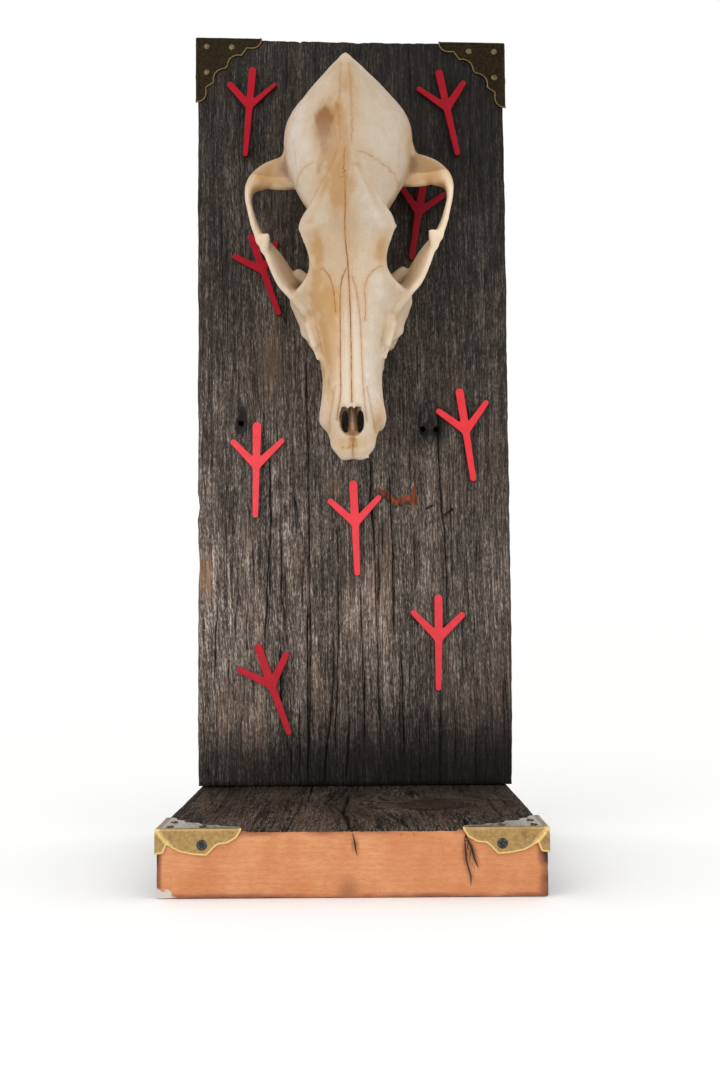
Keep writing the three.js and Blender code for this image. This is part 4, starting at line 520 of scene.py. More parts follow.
# ------------------------------------------------------------------ bone
def bone_material():
    M = Mat("bone")
    A = M.attr('A', vec=True)                                   # the skull's own millimetres
    tan, brown, white, cav, deep = (M.attr(k) for k in ('tan', 'brown', 'white', 'cav', 'deep'))
    n1 = M.noise(A, 0.055, 4, 0.6)
    n2 = M.noise(A, 0.22, 4, 0.62)
    n3 = M.noise(A, 0.9, 3, 0.6)
    n4 = M.noise(M.vm('MULTIPLY', A, (1.0, 0.28, 1.0)), 0.8, 3, 0.6)
    ivory, cream = lin(226, 207, 184), lin(214, 190, 161)
    c = M.mix(M.rng(M.mad(n2, 0.35, M.mul(n1, 0.65)), 0.36, 0.64), cream, ivory)
    c = M.scale(c, M.rng(M.mad(n3, 0.5, M.mul(n4, 0.5)), 0.3, 0.7, 0.86, 1.07, smooth=False))
    # warm stain, broken up by the noise
    t = M.mul(tan, M.rng(M.add(M.mul(n2, 0.6), M.mul(n4, 0.4)), 0.26, 0.62, 0.45, 1.0), clamp=True)
    c = M.mix(t, c, lin(204, 164, 112))
    t2 = M.mul(M.rng(M.add(tan, M.mul(n2, 0.5)), 0.85, 1.35), 0.5)
    c = M.mix(t2, c, lin(188, 141, 84))
    w = M.mul(white, M.rng(n2, 0.3, 0.68, 0.5, 1.0), clamp=True)
    c = M.mix(w, c, lin(229, 219, 208))
    # brown spots
    b = M.mul(M.rng(M.add(brown, M.mul(M.sub(M.mad(n4, 0.5, M.mul(n3, 0.5)), 0.5), 0.7)), 0.12, 1.05), 0.9)
    c = M.mix(b, c, lin(152, 98, 44))
    # dirt and painted shade held in hollows, and rubbed high places
    h = M.rng(M.add(cav, M.mul(M.sub(n3, 0.5), 0.35)), 0.12, 0.9, 0, 0.8)
    c = M.mix(h, c, lin(140, 100, 66))
    hi = M.rng(cav, -0.25, -0.9, 0, 0.35)
    c = M.mix(hi, c, lin(232, 218, 199))
    # painted shading: darker toward the braincase and lighter on one arch, standing in for the fall of light
    c = M.scale(c, M.attr('shade'))
    # specks and pores
    sp = M.vor(A, 0.62, rand=1.0)
    spm = M.mul(M.rng(sp, 0.17, 0.05), M.rng(M.noise(A, 0.075, 2, 0.5), 0.5, 0.62))
    c = M.mix(M.mul(spm, 0.75), c, lin(133, 88, 50))
    pore = M.rng(M.vor(A, 1.7, rand=1.0), 0.22, 0.06)
    pore = M.mul(pore, M.rng(n2, 0.42, 0.62))
    c = M.mix(M.mul(pore, 0.42), c, lin(150, 110, 72))
    # seams between the bones
    wob = M.mul(M.sub(M.noise(A, 1.05, 4, 0.65), 0.5), 3.2)
    lines, dark = None, None
    for i, (halfw, soft) in enumerate(((0.09, 0.30), (0.07, 0.28), (0.05, 0.30))):
        d, wgt, wav = M.attr(f'sd{i}'), M.attr(f'sw{i}'), M.attr(f'wv{i}')
        dd = M.ab(M.mad(wob, wav, d))
        core = M.mul(M.rng(dd, halfw, halfw + soft, 1, 0), wgt)
        halo = M.mul(M.rng(dd, 0.2, 1.9, 1, 0), M.mul(wgt, 0.5))
        lines = core if lines is None else M.mx(lines, core)
        dark = halo if dark is None else M.mx(dark, halo)
    c = M.mix(dark, c, lin(188, 132, 70))
    lines = M.mul(lines, M.rng(M.noise(A, 0.34, 3, 0.6), 0.34, 0.62, 0.6, 1.0))
    c = M.mix(M.mul(lines, 0.95), c, M.mix(M.rng(lines, 0.25, 0.8), lin(154, 102, 54), lin(92, 55, 26)))
    # deep inside, the colour is painted dark as shade
    c = M.mix(M.mul(deep, 0.75), c, lin(112, 82, 56))
    M.set(Base_Color=c, Roughness=M.rng(n3, 0.3, 0.7, 0.50, 0.66), Specular_IOR_Level=0.35)
    hgt = M.add(M.mul(n3, 0.5), M.mul(n4, 0.35))
    hgt = M.sub(hgt, M.mul(pore, 0.8)); hgt = M.sub(hgt, M.mul(spm, 0.9)); hgt = M.sub(hgt, M.mul(lines, 2.4))
    fine = M.noise(A, 3.2, 3, 0.6)
    hgt = M.add(hgt, M.mul(fine, 0.22))
    M.set(Normal=M.bump(hgt, 0.55, 0.00022))
    return M.m

def enamel_material():
    M = Mat("enamel")
    A = M.attr('A', vec=True); h = M.attr('crown'); cav = M.attr('cav')
    n = M.noise(M.vm('MULTIPLY', A, (1, 1, 0.3)), 0.8, 4, 0.6)
    c = M.mix(M.rng(n, 0.3, 0.7), lin(226, 212, 184), lin(238, 229, 210))
    c = M.mix(M.rng(M.add(h, M.mul(M.sub(n, 0.5), 0.5)), 0.45, 0.0), c, lin(206, 178, 138))     # yellow towards the root
    crack = M.vor(M.vm('MULTIPLY', A, (1, 1, 0.22)), 0.55, feature='DISTANCE_TO_EDGE')
    k = M.rng(crack, 0.025, 0.0)
    c = M.mix(M.mul(k, 0.55), c, lin(128, 92, 58))
    # dirt and painted shade in the hollows
    c = M.mix(M.rng(cav, 0.1, 0.8, 0, 0.7), c, lin(150, 112, 72))
    M.set(Base_Color=c, Roughness=M.rng(n, 0.3, 0.7, 0.22, 0.34), Specular_IOR_Level=0.5)
    M.set(Normal=M.bump(M.sub(M.mul(n, 0.4), k), 0.35, 0.00012))
    return M.m

# ------------------------------------------------------------------ skull
# Its own axes in mm: x across, s back from the front of the upper jaw, z up from the tooth sockets.
SKULL_O = np.array([0.4809, 44.6157, 182.8375])
def skull_axes():
    ta, ro, tu = math.radians(7.0), math.radians(2.0), math.radians(0.25)
    ex = np.array([1.0, 0, 0]); es = np.array([0, math.sin(ta), math.cos(ta)]); ez = np.array([0, -math.cos(ta), math.sin(ta)])
    c, s = math.cos(ro), math.sin(ro)
    a, b = ex * c + ez * s, ez * c - ex * s
    c2, s2 = math.cos(tu), math.sin(tu)
    turn = lambda v: np.array([c2 * v[0] - s2 * v[2], v[1], s2 * v[0] + c2 * v[2]])
    return np.stack([turn(a), turn(es), turn(b)])
AX = skull_axes()
def to_part(P): return SKULL_O + np.asarray(P, float) @ AX

SKULL_ROWS = json.loads('''[["+",0,{"t":"loft","sub":3,"rings":[[-0.6,[[0,5.0],[1.5,5],[3,4.8],[4.2,4.4],[5,3.8],[5.5,3.1],[5.6,2.3],[5.4,1.5],[5,0.9],[4,0.5],[2.8,0.4],[1.4,0.4],[0,0.4]]],[1.6,[[0,7.3],[1.8,7.5],[3.8,7.3],[5.6,6.7],[7,5.8],[7.8,4.7],[8.1,3.4],[8.0,2.0],[7.5,0.7],[6.4,-0.2],[4.5,-0.5],[2.2,-0.5],[0,-0.3]]],[4.6,[[0,8.8],[2.2,9.1],[4.6,9.0],[6.8,8.4],[8.5,7.3],[9.7,5.9],[10.2,4.2],[10.1,2.4],[9.6,0.8],[8.4,-0.3],[6,-0.6],[3,-0.2],[0,0.3]]],[8.5,[[0,11.6],[2.6,12.2],[5.2,12.1],[7.4,11.1],[9.3,9.2],[10.5,7],[11.0,4.8],[10.9,2.8],[10.4,1.1],[8.6,0.4],[6,0.7],[3,1.2],[0,1.6]]],[12,[[0,16.0],[3,17.0],[5.8,16.3],[8,14.6],[9.8,12],[11.3,9],[12.3,6],[12.3,3.4],[11.6,1.4],[9.3,0.8],[6.4,1.5],[3.2,2.1],[0,2.4]]],[15.5,[[0,21.5],[3.2,21.8],[6,20.6],[8.4,18.2],[10.6,14.8],[13,11],[14.9,7.2],[15.2,4],[14.2,1.4],[11,0.3],[7,1.8],[3.5,2.6],[0,2.9]]],[19,[[0,26.4],[3.2,26.0],[6,24],[8.4,21],[10.8,17.2],[13.4,12.8],[15.3,8.2],[15.5,4.4],[14.4,1.3],[11,0.2],[7,2.0],[3.5,2.9],[0,3.2]]],[23,[[0,27.0],[3.1,26.8],[6,25.2],[8.6,22],[11,18],[13.3,13.4],[14.9,8.8],[15.0,4.6],[13.9,1.2],[10.8,0.3],[7,2.2],[3.5,3.1],[0,3.4]]],[29,[[0,27.8],[3,27.7],[6,26.4],[8.6,23.4],[10.8,19],[12.9,14],[14.3,9.2],[14.4,4.8],[13.4,1.2],[10.6,0.5],[7,2.4],[3.5,3.3],[0,3.6]]],[36,[[0,28.9],[3,28.9],[6,27.6],[8.6,24.6],[10.6,20],[12.4,14.8],[13.8,9.6],[14.1,4.8],[13.2,1.1],[10.6,0.5],[7,2.5],[3.5,3.4],[0,3.7]]],[43,[[0,30.2],[3,30.2],[6,29],[8.7,26],[10.8,21.2],[12.7,15.8],[14.3,10.2],[14.9,4.8],[14,1],[11.4,0.5],[7.5,2.6],[3.7,3.5],[0,3.8]]],[49,[[0,31.6],[3.2,31.7],[6.4,30.7],[9.3,27.8],[11.5,22.8],[13.5,17],[15.3,10.8],[16.2,4.8],[15.4,0.9],[12.6,0.5],[8.2,2.7],[4,3.6],[0,3.9]]],[55,[[0,33.3],[3.6,33.6],[7.2,32.8],[10.4,29.8],[12.8,24.6],[15,18.4],[17.6,11.6],[19.4,5.2],[18.8,1],[15.6,0.5],[10.5,2.8],[5.2,3.8],[0,4.1]]],[60.5,[[0,35.2],[4,35.6],[8.2,35],[11.6,32],[14.4,26.8],[16.8,20.4],[20.2,12.6],[23.7,5.2],[23.4,1],[20,0.5],[13.5,2.8],[6.5,4],[0,4.3]]],[65,[[0,37],[4.5,37.6],[9.2,37],[13,34.2],[16,29],[18.6,22.6],[22,14.6],[24.9,6.4],[24.9,1.3],[21.6,0.6],[14.5,2.9],[7,4.1],[0,4.4]]],[70,[[0,39],[5.2,39.8],[10.6,39.4],[14.8,36.8],[18.2,31.8],[21,25.4],[24.2,17.6],[27.2,9.6],[26.8,2.4],[22.6,0.8],[15,3],[7.5,4.3],[0,4.6]]],[75,[[0,41],[6.2,42.1],[12.2,42],[16.8,39.6],[20.2,35.4],[23.2,29.6],[26.4,22],[29,13.6],[28,4.2],[22.8,1],[15,3.1],[7.5,4.4],[0,4.7]]],[80,[[0,43.2],[7,44.5],[13.4,44.7],[17.3,42.8],[18.4,38.4],[18.8,32],[19.6,25],[22.6,17.4],[24.6,8.4],[22.4,1.4],[14.8,3.2],[7.5,4.5],[0,4.8]]],[85,[[0,45],[7.4,46.4],[14,46.8],[18,44.9],[16.6,40],[14.6,33],[13.6,25.4],[15.2,17.6],[20.4,9.4],[20.6,2],[14.2,3],[7.3,4.5],[0,4.9]]],[89.5,[[0,46.4],[8,48],[15.2,48.5],[19.5,46.6],[16.6,41],[13.8,33.4],[12.6,25.6],[12.6,18],[14.8,10.6],[15,4.4],[11.6,3.2],[6.6,4.4],[0,4.9]]],[93,[[0,47.5],[8.4,49.2],[16.2,49.6],[21,47.2],[17,41.2],[13.6,33.6],[12,25.8],[11.2,18.4],[11,12.8],[9.8,10.4],[7.4,10.2],[4,10.6],[0,10.8]]],[97.5,[[0,49.2],[8.8,51],[16.6,51],[22,47.6],[18.4,42],[13.6,34],[11.6,26],[10.8,18.6],[10.2,13.2],[8.8,11],[6.6,10.6],[3.4,10.8],[0,11]]],[102.5,[[0,51],[8,52.2],[15.4,51],[20.6,47.4],[18.8,42.4],[15,35],[12.8,27],[11.6,19.4],[10.4,13.6],[8.6,11.2],[6,10.6],[3,10.6],[0,10.6]]],[108.5,[[0,52.4],[6.4,52.8],[12.6,51.1],[17.2,47.4],[18.3,42.2],[16.8,34.8],[14.8,26.8],[13.2,19.4],[11.2,14],[8.8,11.2],[6,10.2],[3,10],[0,10]]],[115,[[0,53.1],[6,52.9],[12.6,50.6],[18.2,46.2],[21.2,39.8],[20.8,32],[18.8,24],[17,17.2],[13.4,13],[9.6,10.6],[6,9.6],[3,9.4],[0,9.4]]],[122,[[0,53.6],[5.4,52.8],[12.8,50.2],[19.6,45.2],[23.6,38.4],[24.2,30.4],[22.6,22.4],[20,16.2],[15.6,12.4],[10.6,10],[6,9.2],[3,9],[0,9]]],[130,[[0,53.9],[4.6,52.9],[12.8,50.4],[20.8,45.2],[25.8,37.6],[27.2,29],[26.6,21],[23,15.6],[17.6,11.8],[11.4,9.6],[6,8.9],[3,8.8],[0,8.8]]],[140,[[0,54.1],[3.6,53],[12.4,50.6],[21.6,45],[27.8,36.6],[29.8,28],[29.2,20.4],[26,15.4],[20,11.6],[12.8,9.4],[6.4,8.6],[3,8.5],[0,8.5]]],[149,[[0,54.2],[3,52.9],[11.8,50.3],[21.4,44.4],[28.3,36],[30.6,27.6],[30,20],[26.4,15],[20.4,11.4],[13,9.2],[6.6,8.3],[3,8.2],[0,8.2]]],[157,[[0,54.2],[2.6,52.6],[10.6,49.6],[19.8,43.4],[26.8,35.6],[29.5,27.2],[28,19.8],[24.4,14.8],[18.6,11.2],[12,9],[6.6,8.1],[3,7.9],[0,7.9]]],[164,[[0,54.0],[2.4,52],[9,48.6],[17,42.8],[23.2,35.8],[25.6,28],[24,20.8],[20.6,15.6],[15.6,11.8],[10.4,9.4],[6.4,8.4],[3,8.1],[0,8.1]]],[168.6,[[0,53.6],[2.2,51.3],[7.8,48.2],[14,42.8],[18.8,36.8],[20.6,30.6],[19.8,25],[17,20.8],[13,18],[9.4,16],[6.2,15],[3,14.6],[0,14.6]]],[172.6,[[0,52.8],[2,50.8],[6.2,47.8],[10.8,43.4],[14,38.8],[14.6,34.8],[13.4,31.4],[11,29.2],[8.6,28],[6.2,27.4],[4.2,27],[2,26.8],[0,26.8]]],[176.8,[[0,51.6],[1.6,49.8],[4.2,47.4],[6.8,44.6],[8.2,42],[8,40.2],[7,39.2],[5.8,38.6],[4.6,38.2],[3.4,38],[2.3,37.8],[1.1,37.7],[0,37.7]]],[181.2,[[0,50],[0.7,49.6],[1.4,48.9],[1.9,48],[2.1,47.2],[2,46.5],[1.8,46],[1.5,45.6],[1.2,45.3],[0.9,45.1],[0.6,45],[0.3,45],[0,45]]]]},0],
["-",1.2,{"t":"ell","c":[26.5,96.5,31],"r":[9.5,18.5,15.5],"e":[0,0,-22]},1],
["-",1.0,{"t":"ell","c":[24.0,96,37.5],"r":[7.0,17,9.5],"e":[0,0,-8]},1],
["+",3.0,{"t":"band","n":2.6,"sub":4,"st":[[20.4,70.0,13.0,7.6,2.6,26],[24.8,76.6,14.4,9.0,2.4,30],[29.3,82.0,15.6,9.6,2.2,32],[32.8,88.0,17.0,8.8,2.1,32],[36.5,95.0,18.8,7.2,2.0,30],[41.0,101.5,20.2,6.0,1.9,21],[44.5,108.0,21.6,5.2,1.6,11],[46.5,114.5,22.9,4.8,1.35,5],[47.9,121.0,23.6,4.8,1.4,0],[47.5,126.4,23.3,4.7,2.1,-4],[45.6,130.2,22.0,4.1,3.4,-8],[42.8,133.0,20.4,3.5,4.8,-8],[38.6,135.6,19.0,3.2,6.0,-6],[32.5,136.8,18.2,3.4,7.8,-4],[26,138,17.6,4.0,8.6,0]]},1],
["+",2.2,{"t":"cap","a":[19.5,83.4,7.5],"b":[25.0,88.6,10.8],"ra":4.6,"rb":2.6},1],
["+",2.0,{"t":"band","n":2,"sub":4,"st":[[29.2,150.5,19.5,1.6,1.6,0],[30.2,145,18.8,1.8,2.0,0],[30.4,139,18.4,2.2,2.4,0]]},1],
["+",1.6,{"t":"cap","a":[41.6,101.4,24.0],"b":[38.6,101.9,27.8],"ra":2.8,"rb":1.1},1],
["+",1.4,{"t":"cap","a":[40.0,96.6,24.2],"b":[38.9,100.2,26.4],"ra":2.1,"rb":1.5},1],
["+",2.4,{"t":"cap","a":[16.0,97.0,47.6],"b":[20.6,97.6,45.4],"ra":3.4,"rb":1.6},1],
["+",1.6,{"t":"cap","a":[22.5,141.2,10.6],"b":[32.5,139.4,11.6],"ra":2.4,"rb":2.0},1],
["-",1.5,{"t":"ell","c":[29.0,133.0,9.6],"r":[11.0,5.2,4.6],"e":[0,0,0]},1],
["+",2.4,{"t":"ell","c":[13.4,138.5,5.2],"r":[9.0,12.4,8.8],"e":[0,0,14]},1],
["+",1.0,{"t":"cap","a":[21.5,141.5,11.5],"b":[25.5,143.5,13.0],"ra":3.9,"rb":3.2},1],
["-",0.6,{"t":"cap","a":[21,141.2,11.2],"b":[31,146.2,15.4],"ra":1.9,"rb":2.3},1],
["+",1.8,{"t":"cap","a":[22.0,152.5,16.0],"b":[20.6,154.2,6.5],"ra":4.8,"rb":2.8},1],
["+",1.4,{"t":"cap","a":[17.6,154.5,9.0],"b":[17.2,156.0,1.4],"ra":3.6,"rb":1.9},1],
["+",1.4,{"t":"ell","c":[9.0,170.6,12.4],"r":[4.8,6.0,7.6],"e":[18,0,20]},1],
["+",1.6,{"t":"cap","a":[5.0,167.5,8.2],"b":[0,166.5,7.2],"ra":2.6,"rb":2.4},1],
["+",1.2,{"t":"band","n":2,"sub":4,"st":[[0,171.4,29.0,2.4,2.0,0],[5.5,171.2,28.0,2.6,2.0,0],[10.2,170.8,24.0,3.0,2.2,0],[12.2,170.0,18.0,3.4,2.4,0]]},1],
["+",1.2,{"t":"band","n":2.4,"sub":4,"st":[[0,128,51.9,1.2,2.0,0],[0,140,52.3,1.4,2.1,0],[0,155,52.5,1.5,2.2,0],[0,168,52.1,1.7,2.2,0],[0,176,50.9,2.2,2.0,0],[0,180.6,49.2,2.9,1.9,0]]},0],
["+",1.4,{"t":"band","n":2,"sub":4,"st":[[0,180.8,48.0,2.6,1.2,0],[4.4,178.2,45.6,2.6,1.1,0],[9.2,174.9,42.0,2.6,1.1,0],[14.4,171.4,37.4,2.6,1.1,0],[19.2,167.8,31.6,2.6,1.2,0],[22.8,163.6,25.0,2.6,1.5,0],[24.0,159.4,18.6,2.6,1.9,0]]},1],
["+",2.0,{"t":"band","n":2,"sub":4,"st":[[19.6,100.4,47.2,0.9,1.2,0],[15.0,108.2,49.2,0.9,1.2,0],[9.6,117.0,50.9,0.9,1.2,0],[5.0,124.6,52.2,0.9,1.2,0],[1.4,131.6,52.8,0.9,1.2,0]]},1],
["-",1.5,{"t":"ell","c":[8.4,181.5,30.5],"r":[6.8,7.6,9.0],"e":[20,0,24]},1],
["+",2.0,{"t":"cap","a":[12.9,18.6,3.6],"b":[11.4,26.0,15.0],"ra":2.7,"rb":1.6},1],
["+",1.2,{"t":"cap","a":[12.6,29.6,1.2],"b":[11.799999999999999,29.8,6.5],"ra":1.5,"rb":1.0499999999999998},1],
["+",1.2,{"t":"cap","a":[12.8,35,1.2],"b":[12.0,35.2,6.5],"ra":1.6,"rb":1.1199999999999999},1],
["+",1.2,{"t":"cap","a":[13.0,39.4,1.2],"b":[12.2,39.6,6.5],"ra":1.6,"rb":1.1199999999999999},1],
["+",1.2,{"t":"cap","a":[13.9,44.2,1.2],"b":[13.1,44.400000000000006,6.5],"ra":1.7,"rb":1.19},1],
["+",1.2,{"t":"cap","a":[14.8,49.2,1.2],"b":[14.0,49.400000000000006,6.5],"ra":1.7,"rb":1.19},1],
["+",1.6,{"t":"cap","a":[16.6,53.8,1.4],"b":[15.4,54,8],"ra":1.5,"rb":1.1},1],
["+",1.6,{"t":"cap","a":[22.4,62.6,1.6],"b":[20.0,62.8,9.5],"ra":2.3,"rb":1.6},1],
["+",1.6,{"t":"cap","a":[24.6,70.4,1.8],"b":[23.6,70.6,9],"ra":2.2,"rb":1.6},1],
["+",1.2,{"t":"band","n":3,"sub":4,"st":[[10.6,88.0,8.0,5.0,1.3,0],[9.4,95,8.2,5.2,1.1,0],[8.6,103,8.2,5.0,0.95,0],[8.2,111,8.0,4.8,0.9,0],[8.0,118,8.2,4.4,0.9,0],[7.8,122,8.6,3.6,0.9,0]]},1],
["+",0.8,{"t":"cap","a":[7.9,120.5,5.0],"b":[7.6,124.6,2.8],"ra":1.2,"rb":0.9},1],
["-",0.7,{"t":"loft","sub":3,"rings":[[8.2,[[0,17.0],[1,17],[2,16.6],[2.8,15.8],[3.3,14.6],[3.4,13.2],[3.2,12.2],[2.6,11.6],[1.8,11.4],[1,11.3],[0,11.2]]],[10.5,[[0,22.0],[1.6,22],[3.0,21.2],[4.1,19.4],[4.8,16.8],[5.0,14.0],[4.7,11.6],[4,9.8],[3,8.8],[1.6,8.3],[0,8.2]]],[14.5,[[0,28.0],[1.9,27.4],[3.6,25.8],[4.8,22.4],[5.7,18.6],[6.1,14.8],[5.9,11.4],[5.2,8.8],[4,7.4],[2.2,6.8],[0,6.6]]],[18.4,[[0,28.6],[2.0,27.8],[3.9,25.2],[4.9,21.6],[6.0,18.4],[6.6,14.8],[6.5,11.2],[5.8,8.4],[4.4,6.8],[2.4,6.2],[0,6.0]]],[21.5,[[0,25.0],[1.8,24.7],[3.7,23.6],[5.1,21.6],[6.2,18.4],[6.9,14.8],[6.8,11.2],[6.1,8.4],[4.6,6.8],[2.4,6.2],[0,6.0]]],[27,[[0,25.4],[1.8,25.2],[3.8,24.2],[5.4,21.8],[6.6,18.4],[7.4,14.6],[7.4,11],[6.6,8.2],[5,6.6],[2.6,6],[0,5.9]]],[45,[[0,27.8],[2,27.6],[4.2,26.6],[6,24],[7.4,20.2],[8.6,15.6],[9,11],[8,8],[6,6.8],[3,6.4],[0,6.3]]],[62,[[0,32],[2.2,31.8],[4.8,30.6],[7.2,27.6],[9,23],[10.4,17.4],[10.8,12],[9.4,8.6],[6.8,7.4],[3.4,7.0],[0,6.9]]],[78,[[0,31],[2.4,30.6],[5,29],[7.2,26],[8.6,21.6],[9,16.6],[8.8,12],[7.8,9.2],[6,8],[3,7.6],[0,7.5]]],[88,[[0,22],[2,21.6],[4,20.4],[5.8,18],[6.8,15],[7,12],[6.8,9.6],[6,8],[4.6,7.2],[2.4,7],[0,7]]],[95,[[0,15.0],[2,14.8],[3.8,14],[5.4,12.6],[6.4,10.4],[6.6,7.6],[6.4,4],[5.6,1.6],[4,0.2],[2,-0.2],[0,-0.2]]],[99,[[0,13],[2,12.8],[3.8,12.2],[5.2,11],[6.2,9],[6.4,6.4],[6.2,3.4],[5.4,1],[4,0],[2,-0.4],[0,-0.4]]]]},0],
["-",0.5,{"t":"ell","c":[3.75,15.9,3.6],"r":[1.75,6.8,9.0]},1],
["+",0.6,{"t":"band","n":3,"sub":4,"st":[[0,5.5,8.4,2.0,1.9,0],[0,11,6.4,2.8,2.0,0],[0,17,6.0,3.0,1.9,0],[0,26,6.2,2.6,1.4,0],[0,40,7.2,3,1.1,0]]},0],
["-",1.0,{"t":"ell","c":[0,137.5,30.5],"r":[24.4,27.0,19.4]},0],
["-",1.0,{"t":"ell","c":[0,113.5,36.0],"r":[12.6,14,11.6]},0],
["-",1.0,{"t":"ell","c":[0,160,28],"r":[14.5,8,13]},0],
["-",0.8,{"t":"cap","a":[0,158,22.5],"b":[0,178.5,19.2],"ra":6.6,"rb":7.0},0],
["-",0.6,{"t":"cap","a":[18.6,52.0,12.6],"b":[19.0,62,14.6],"ra":2.0,"rb":2.4},1],
["+",1.0,{"t":"cap","a":[16.9,51.6,16.4],"b":[18.4,60.0,17.4],"ra":1.6,"rb":1.6},1],
["-",0.3,{"t":"cap","a":[21.6,79.5,30.6],"b":[18.8,73.5,26.4],"ra":1.1,"rb":0.9},1],
["-",0.3,{"t":"cap","a":[1.7,0.39999999999999997,-1.2],"b":[1.632,4.2,3.8],"ra":1.05,"rb":0.8},1],
["-",0.3,{"t":"cap","a":[4.6,1.4000000000000001,-1.2],"b":[4.4159999999999995,5.2,3.8],"ra":1.05,"rb":0.8},1],
["-",0.3,{"t":"cap","a":[7.6,4.3999999999999995,-1.2],"b":[7.295999999999999,8.2,3.8],"ra":1.05,"rb":0.8},1],
["-",0.3,{"t":"cap","a":[10.2,113,14],"b":[13.4,104,20],"ra":1.2,"rb":1.2},1],
["-",0.3,{"t":"cap","a":[13.0,118,9],"b":[12.4,119.5,16],"ra":1.2,"rb":1.0},1]]''')

# finer forms that the plain solid leaves out
FINE = [
    ['+', 3.0, {'t': 'cap', 'a': [15.8, 46.0, 12.8], 'b': [18.6, 61.0, 17.0], 'ra': 1.0, 'rb': 3.1}, 1],
    # infraorbital canal rim, lips of the tear duct, tubercles
    ['+', 1.0, {'t': 'cap', 'a': [18.4, 66.5, 15.5], 'b': [16.4, 60.5, 18.5], 'ra': 0.9, 'rb': 0.7}, 1],
    # rear rim of the palate and the low ridge down its middle
    ['+', 0.8, {'t': 'cap', 'a': [0, 20, 3.0], 'b': [0, 84, 4.6], 'ra': 0.75, 'rb': 0.75}, 0],
    # oval and round holes in the skull base
    ['-', 0.4, {'t': 'ell', 'c': [11.6, 121.5, 9.6], 'r': [1.7, 2.4, 2.6]}, 1],
    ['-', 0.4, {'t': 'ell', 'c': [9.2, 112.0, 12.2], 'r': [1.3, 1.9, 2.2]}, 1],
    ['-', 0.4, {'t': 'ell', 'c': [8.6, 126.5, 8.2], 'r': [1.3, 1.6, 2.6]}, 1],
    ['-', 0.4, {'t': 'ell', 'c': [10.4, 153.2, 8.4], 'r': [2.2, 1.7, 2.8]}, 1],
    ['-', 0.3, {'t': 'ell', 'c': [8.6, 160.8, 8.2], 'r': [1.0, 1.2, 2.4]}, 1],
    ['+', 0.8, {'t': 'cap', 'a': [20.6, 98.4, 46.0], 'b': [24.4, 99.2, 45.0], 'ra': 1.5, 'rb': 0.4}, 0],
    # palatine holes
    ['-', 0.3, {'t': 'ell', 'c': [6.6, 56.0, 2.6], 'r': [0.75, 1.7, 1.8]}, 1],
    ['-', 0.3, {'t': 'ell', 'c': [6.9, 63.0, 3.0], 'r': [0.7, 1.1, 1.6]}, 1],
    # optic canal and the slit in the wall of the eye socket
    ['-', 0.5, {'t': 'cap', 'a': [9.0, 108.0, 21.5], 'b': [14.5, 104.0, 21.0], 'ra': 1.5, 'rb': 1.5}, 1],
    ['-', 0.5, {'t': 'cap', 'a': [9.6, 112.5, 17.6], 'b': [14.5, 108.6, 16.4], 'ra': 1.7, 'rb': 1.5}, 1],
    # pits low in the front wall of the eye socket
    ['-', 0.6, {'t': 'cap', 'a': [21.5, 79.0, 18.0], 'b': [20.0, 75.5, 16.0], 'ra': 1.9, 'rb': 1.2}, 1],
    ['-', 0.4, {'t': 'ell', 'c': [24.6, 80.5, 20.4], 'r': [0.9, 1.6, 0.9]}, 1],
    ['-', 0.4, {'t': 'ell', 'c': [17.4, 78.6, 14.4], 'r': [1.1, 1.7, 1.0]}, 1],
    # thin flake on the right side wall, and the chipped tip of the right brow
    ['+', 0.7, {'t': 'ell', 'c': [30.2, 143.0, 28.6], 'r': [1.0, 4.6, 2.4], 'e': [0, 0, 4]}, 0],
    ['-', 0.4, {'t': 'ell', 'c': [23.0, 99.6, 46.4], 'r': [1.3, 1.6, 2.0], 'e': [0, 0, 30]}, 0],
    # tips of the nasal bones over the nose opening
    ['+', 0.7, {'t': 'cap', 'a': [1.5, 24.0, 25.7], 'b': [1.5, 18.3, 25.1], 'ra': 1.15, 'rb': 0.85}, 1],
    ['+', 0.7, {'t': 'cap', 'a': [3.6, 24.0, 24.7], 'b': [3.3, 19.4, 24.2], 'ra': 1.1, 'rb': 0.75}, 1],
    ['+', 0.5, {'t': 'cap', 'a': [0, 24.0, 25.9], 'b': [0, 18.9, 25.3], 'ra': 1.0, 'rb': 0.7}, 0],
    # the two rounded fronts of the upper jaw, the notch between them and a small spur on the right
    ['+', 1.2, {'t': 'ell', 'c': [3.3, 0.7, 2.7], 'r': [3.3, 2.1, 2.4]}, 1],
    ['-', 0.5, {'t': 'cap', 'a': [0, -1.7, 0.5], 'b': [0, -1.5, 6.5], 'ra': 0.55, 'rb': 0.5}, 0],
    ['+', 0.3, {'t': 'ell', 'c': [6.9, -0.2, 3.4], 'r': [0.9, 0.7, 0.9]}, 0],
    # scroll bones inside the nose
    ['+', 0.6, {'t': 'cap', 'a': [3.6, 22.0, 19.4], 'b': [4.2, 58.0, 23.0], 'ra': 1.1, 'rb': 1.5}, 1],
    ['+', 0.6, {'t': 'cap', 'a': [4.4, 24.0, 13.0], 'b': [5.0, 60.0, 15.0], 'ra': 1.3, 'rb': 1.8}, 1],
    ['+', 0.6, {'t': 'cap', 'a': [0, 12.0, 9.4], 'b': [0, 60.0, 14.0], 'ra': 0.9, 'rb': 0.8}, 0],
]

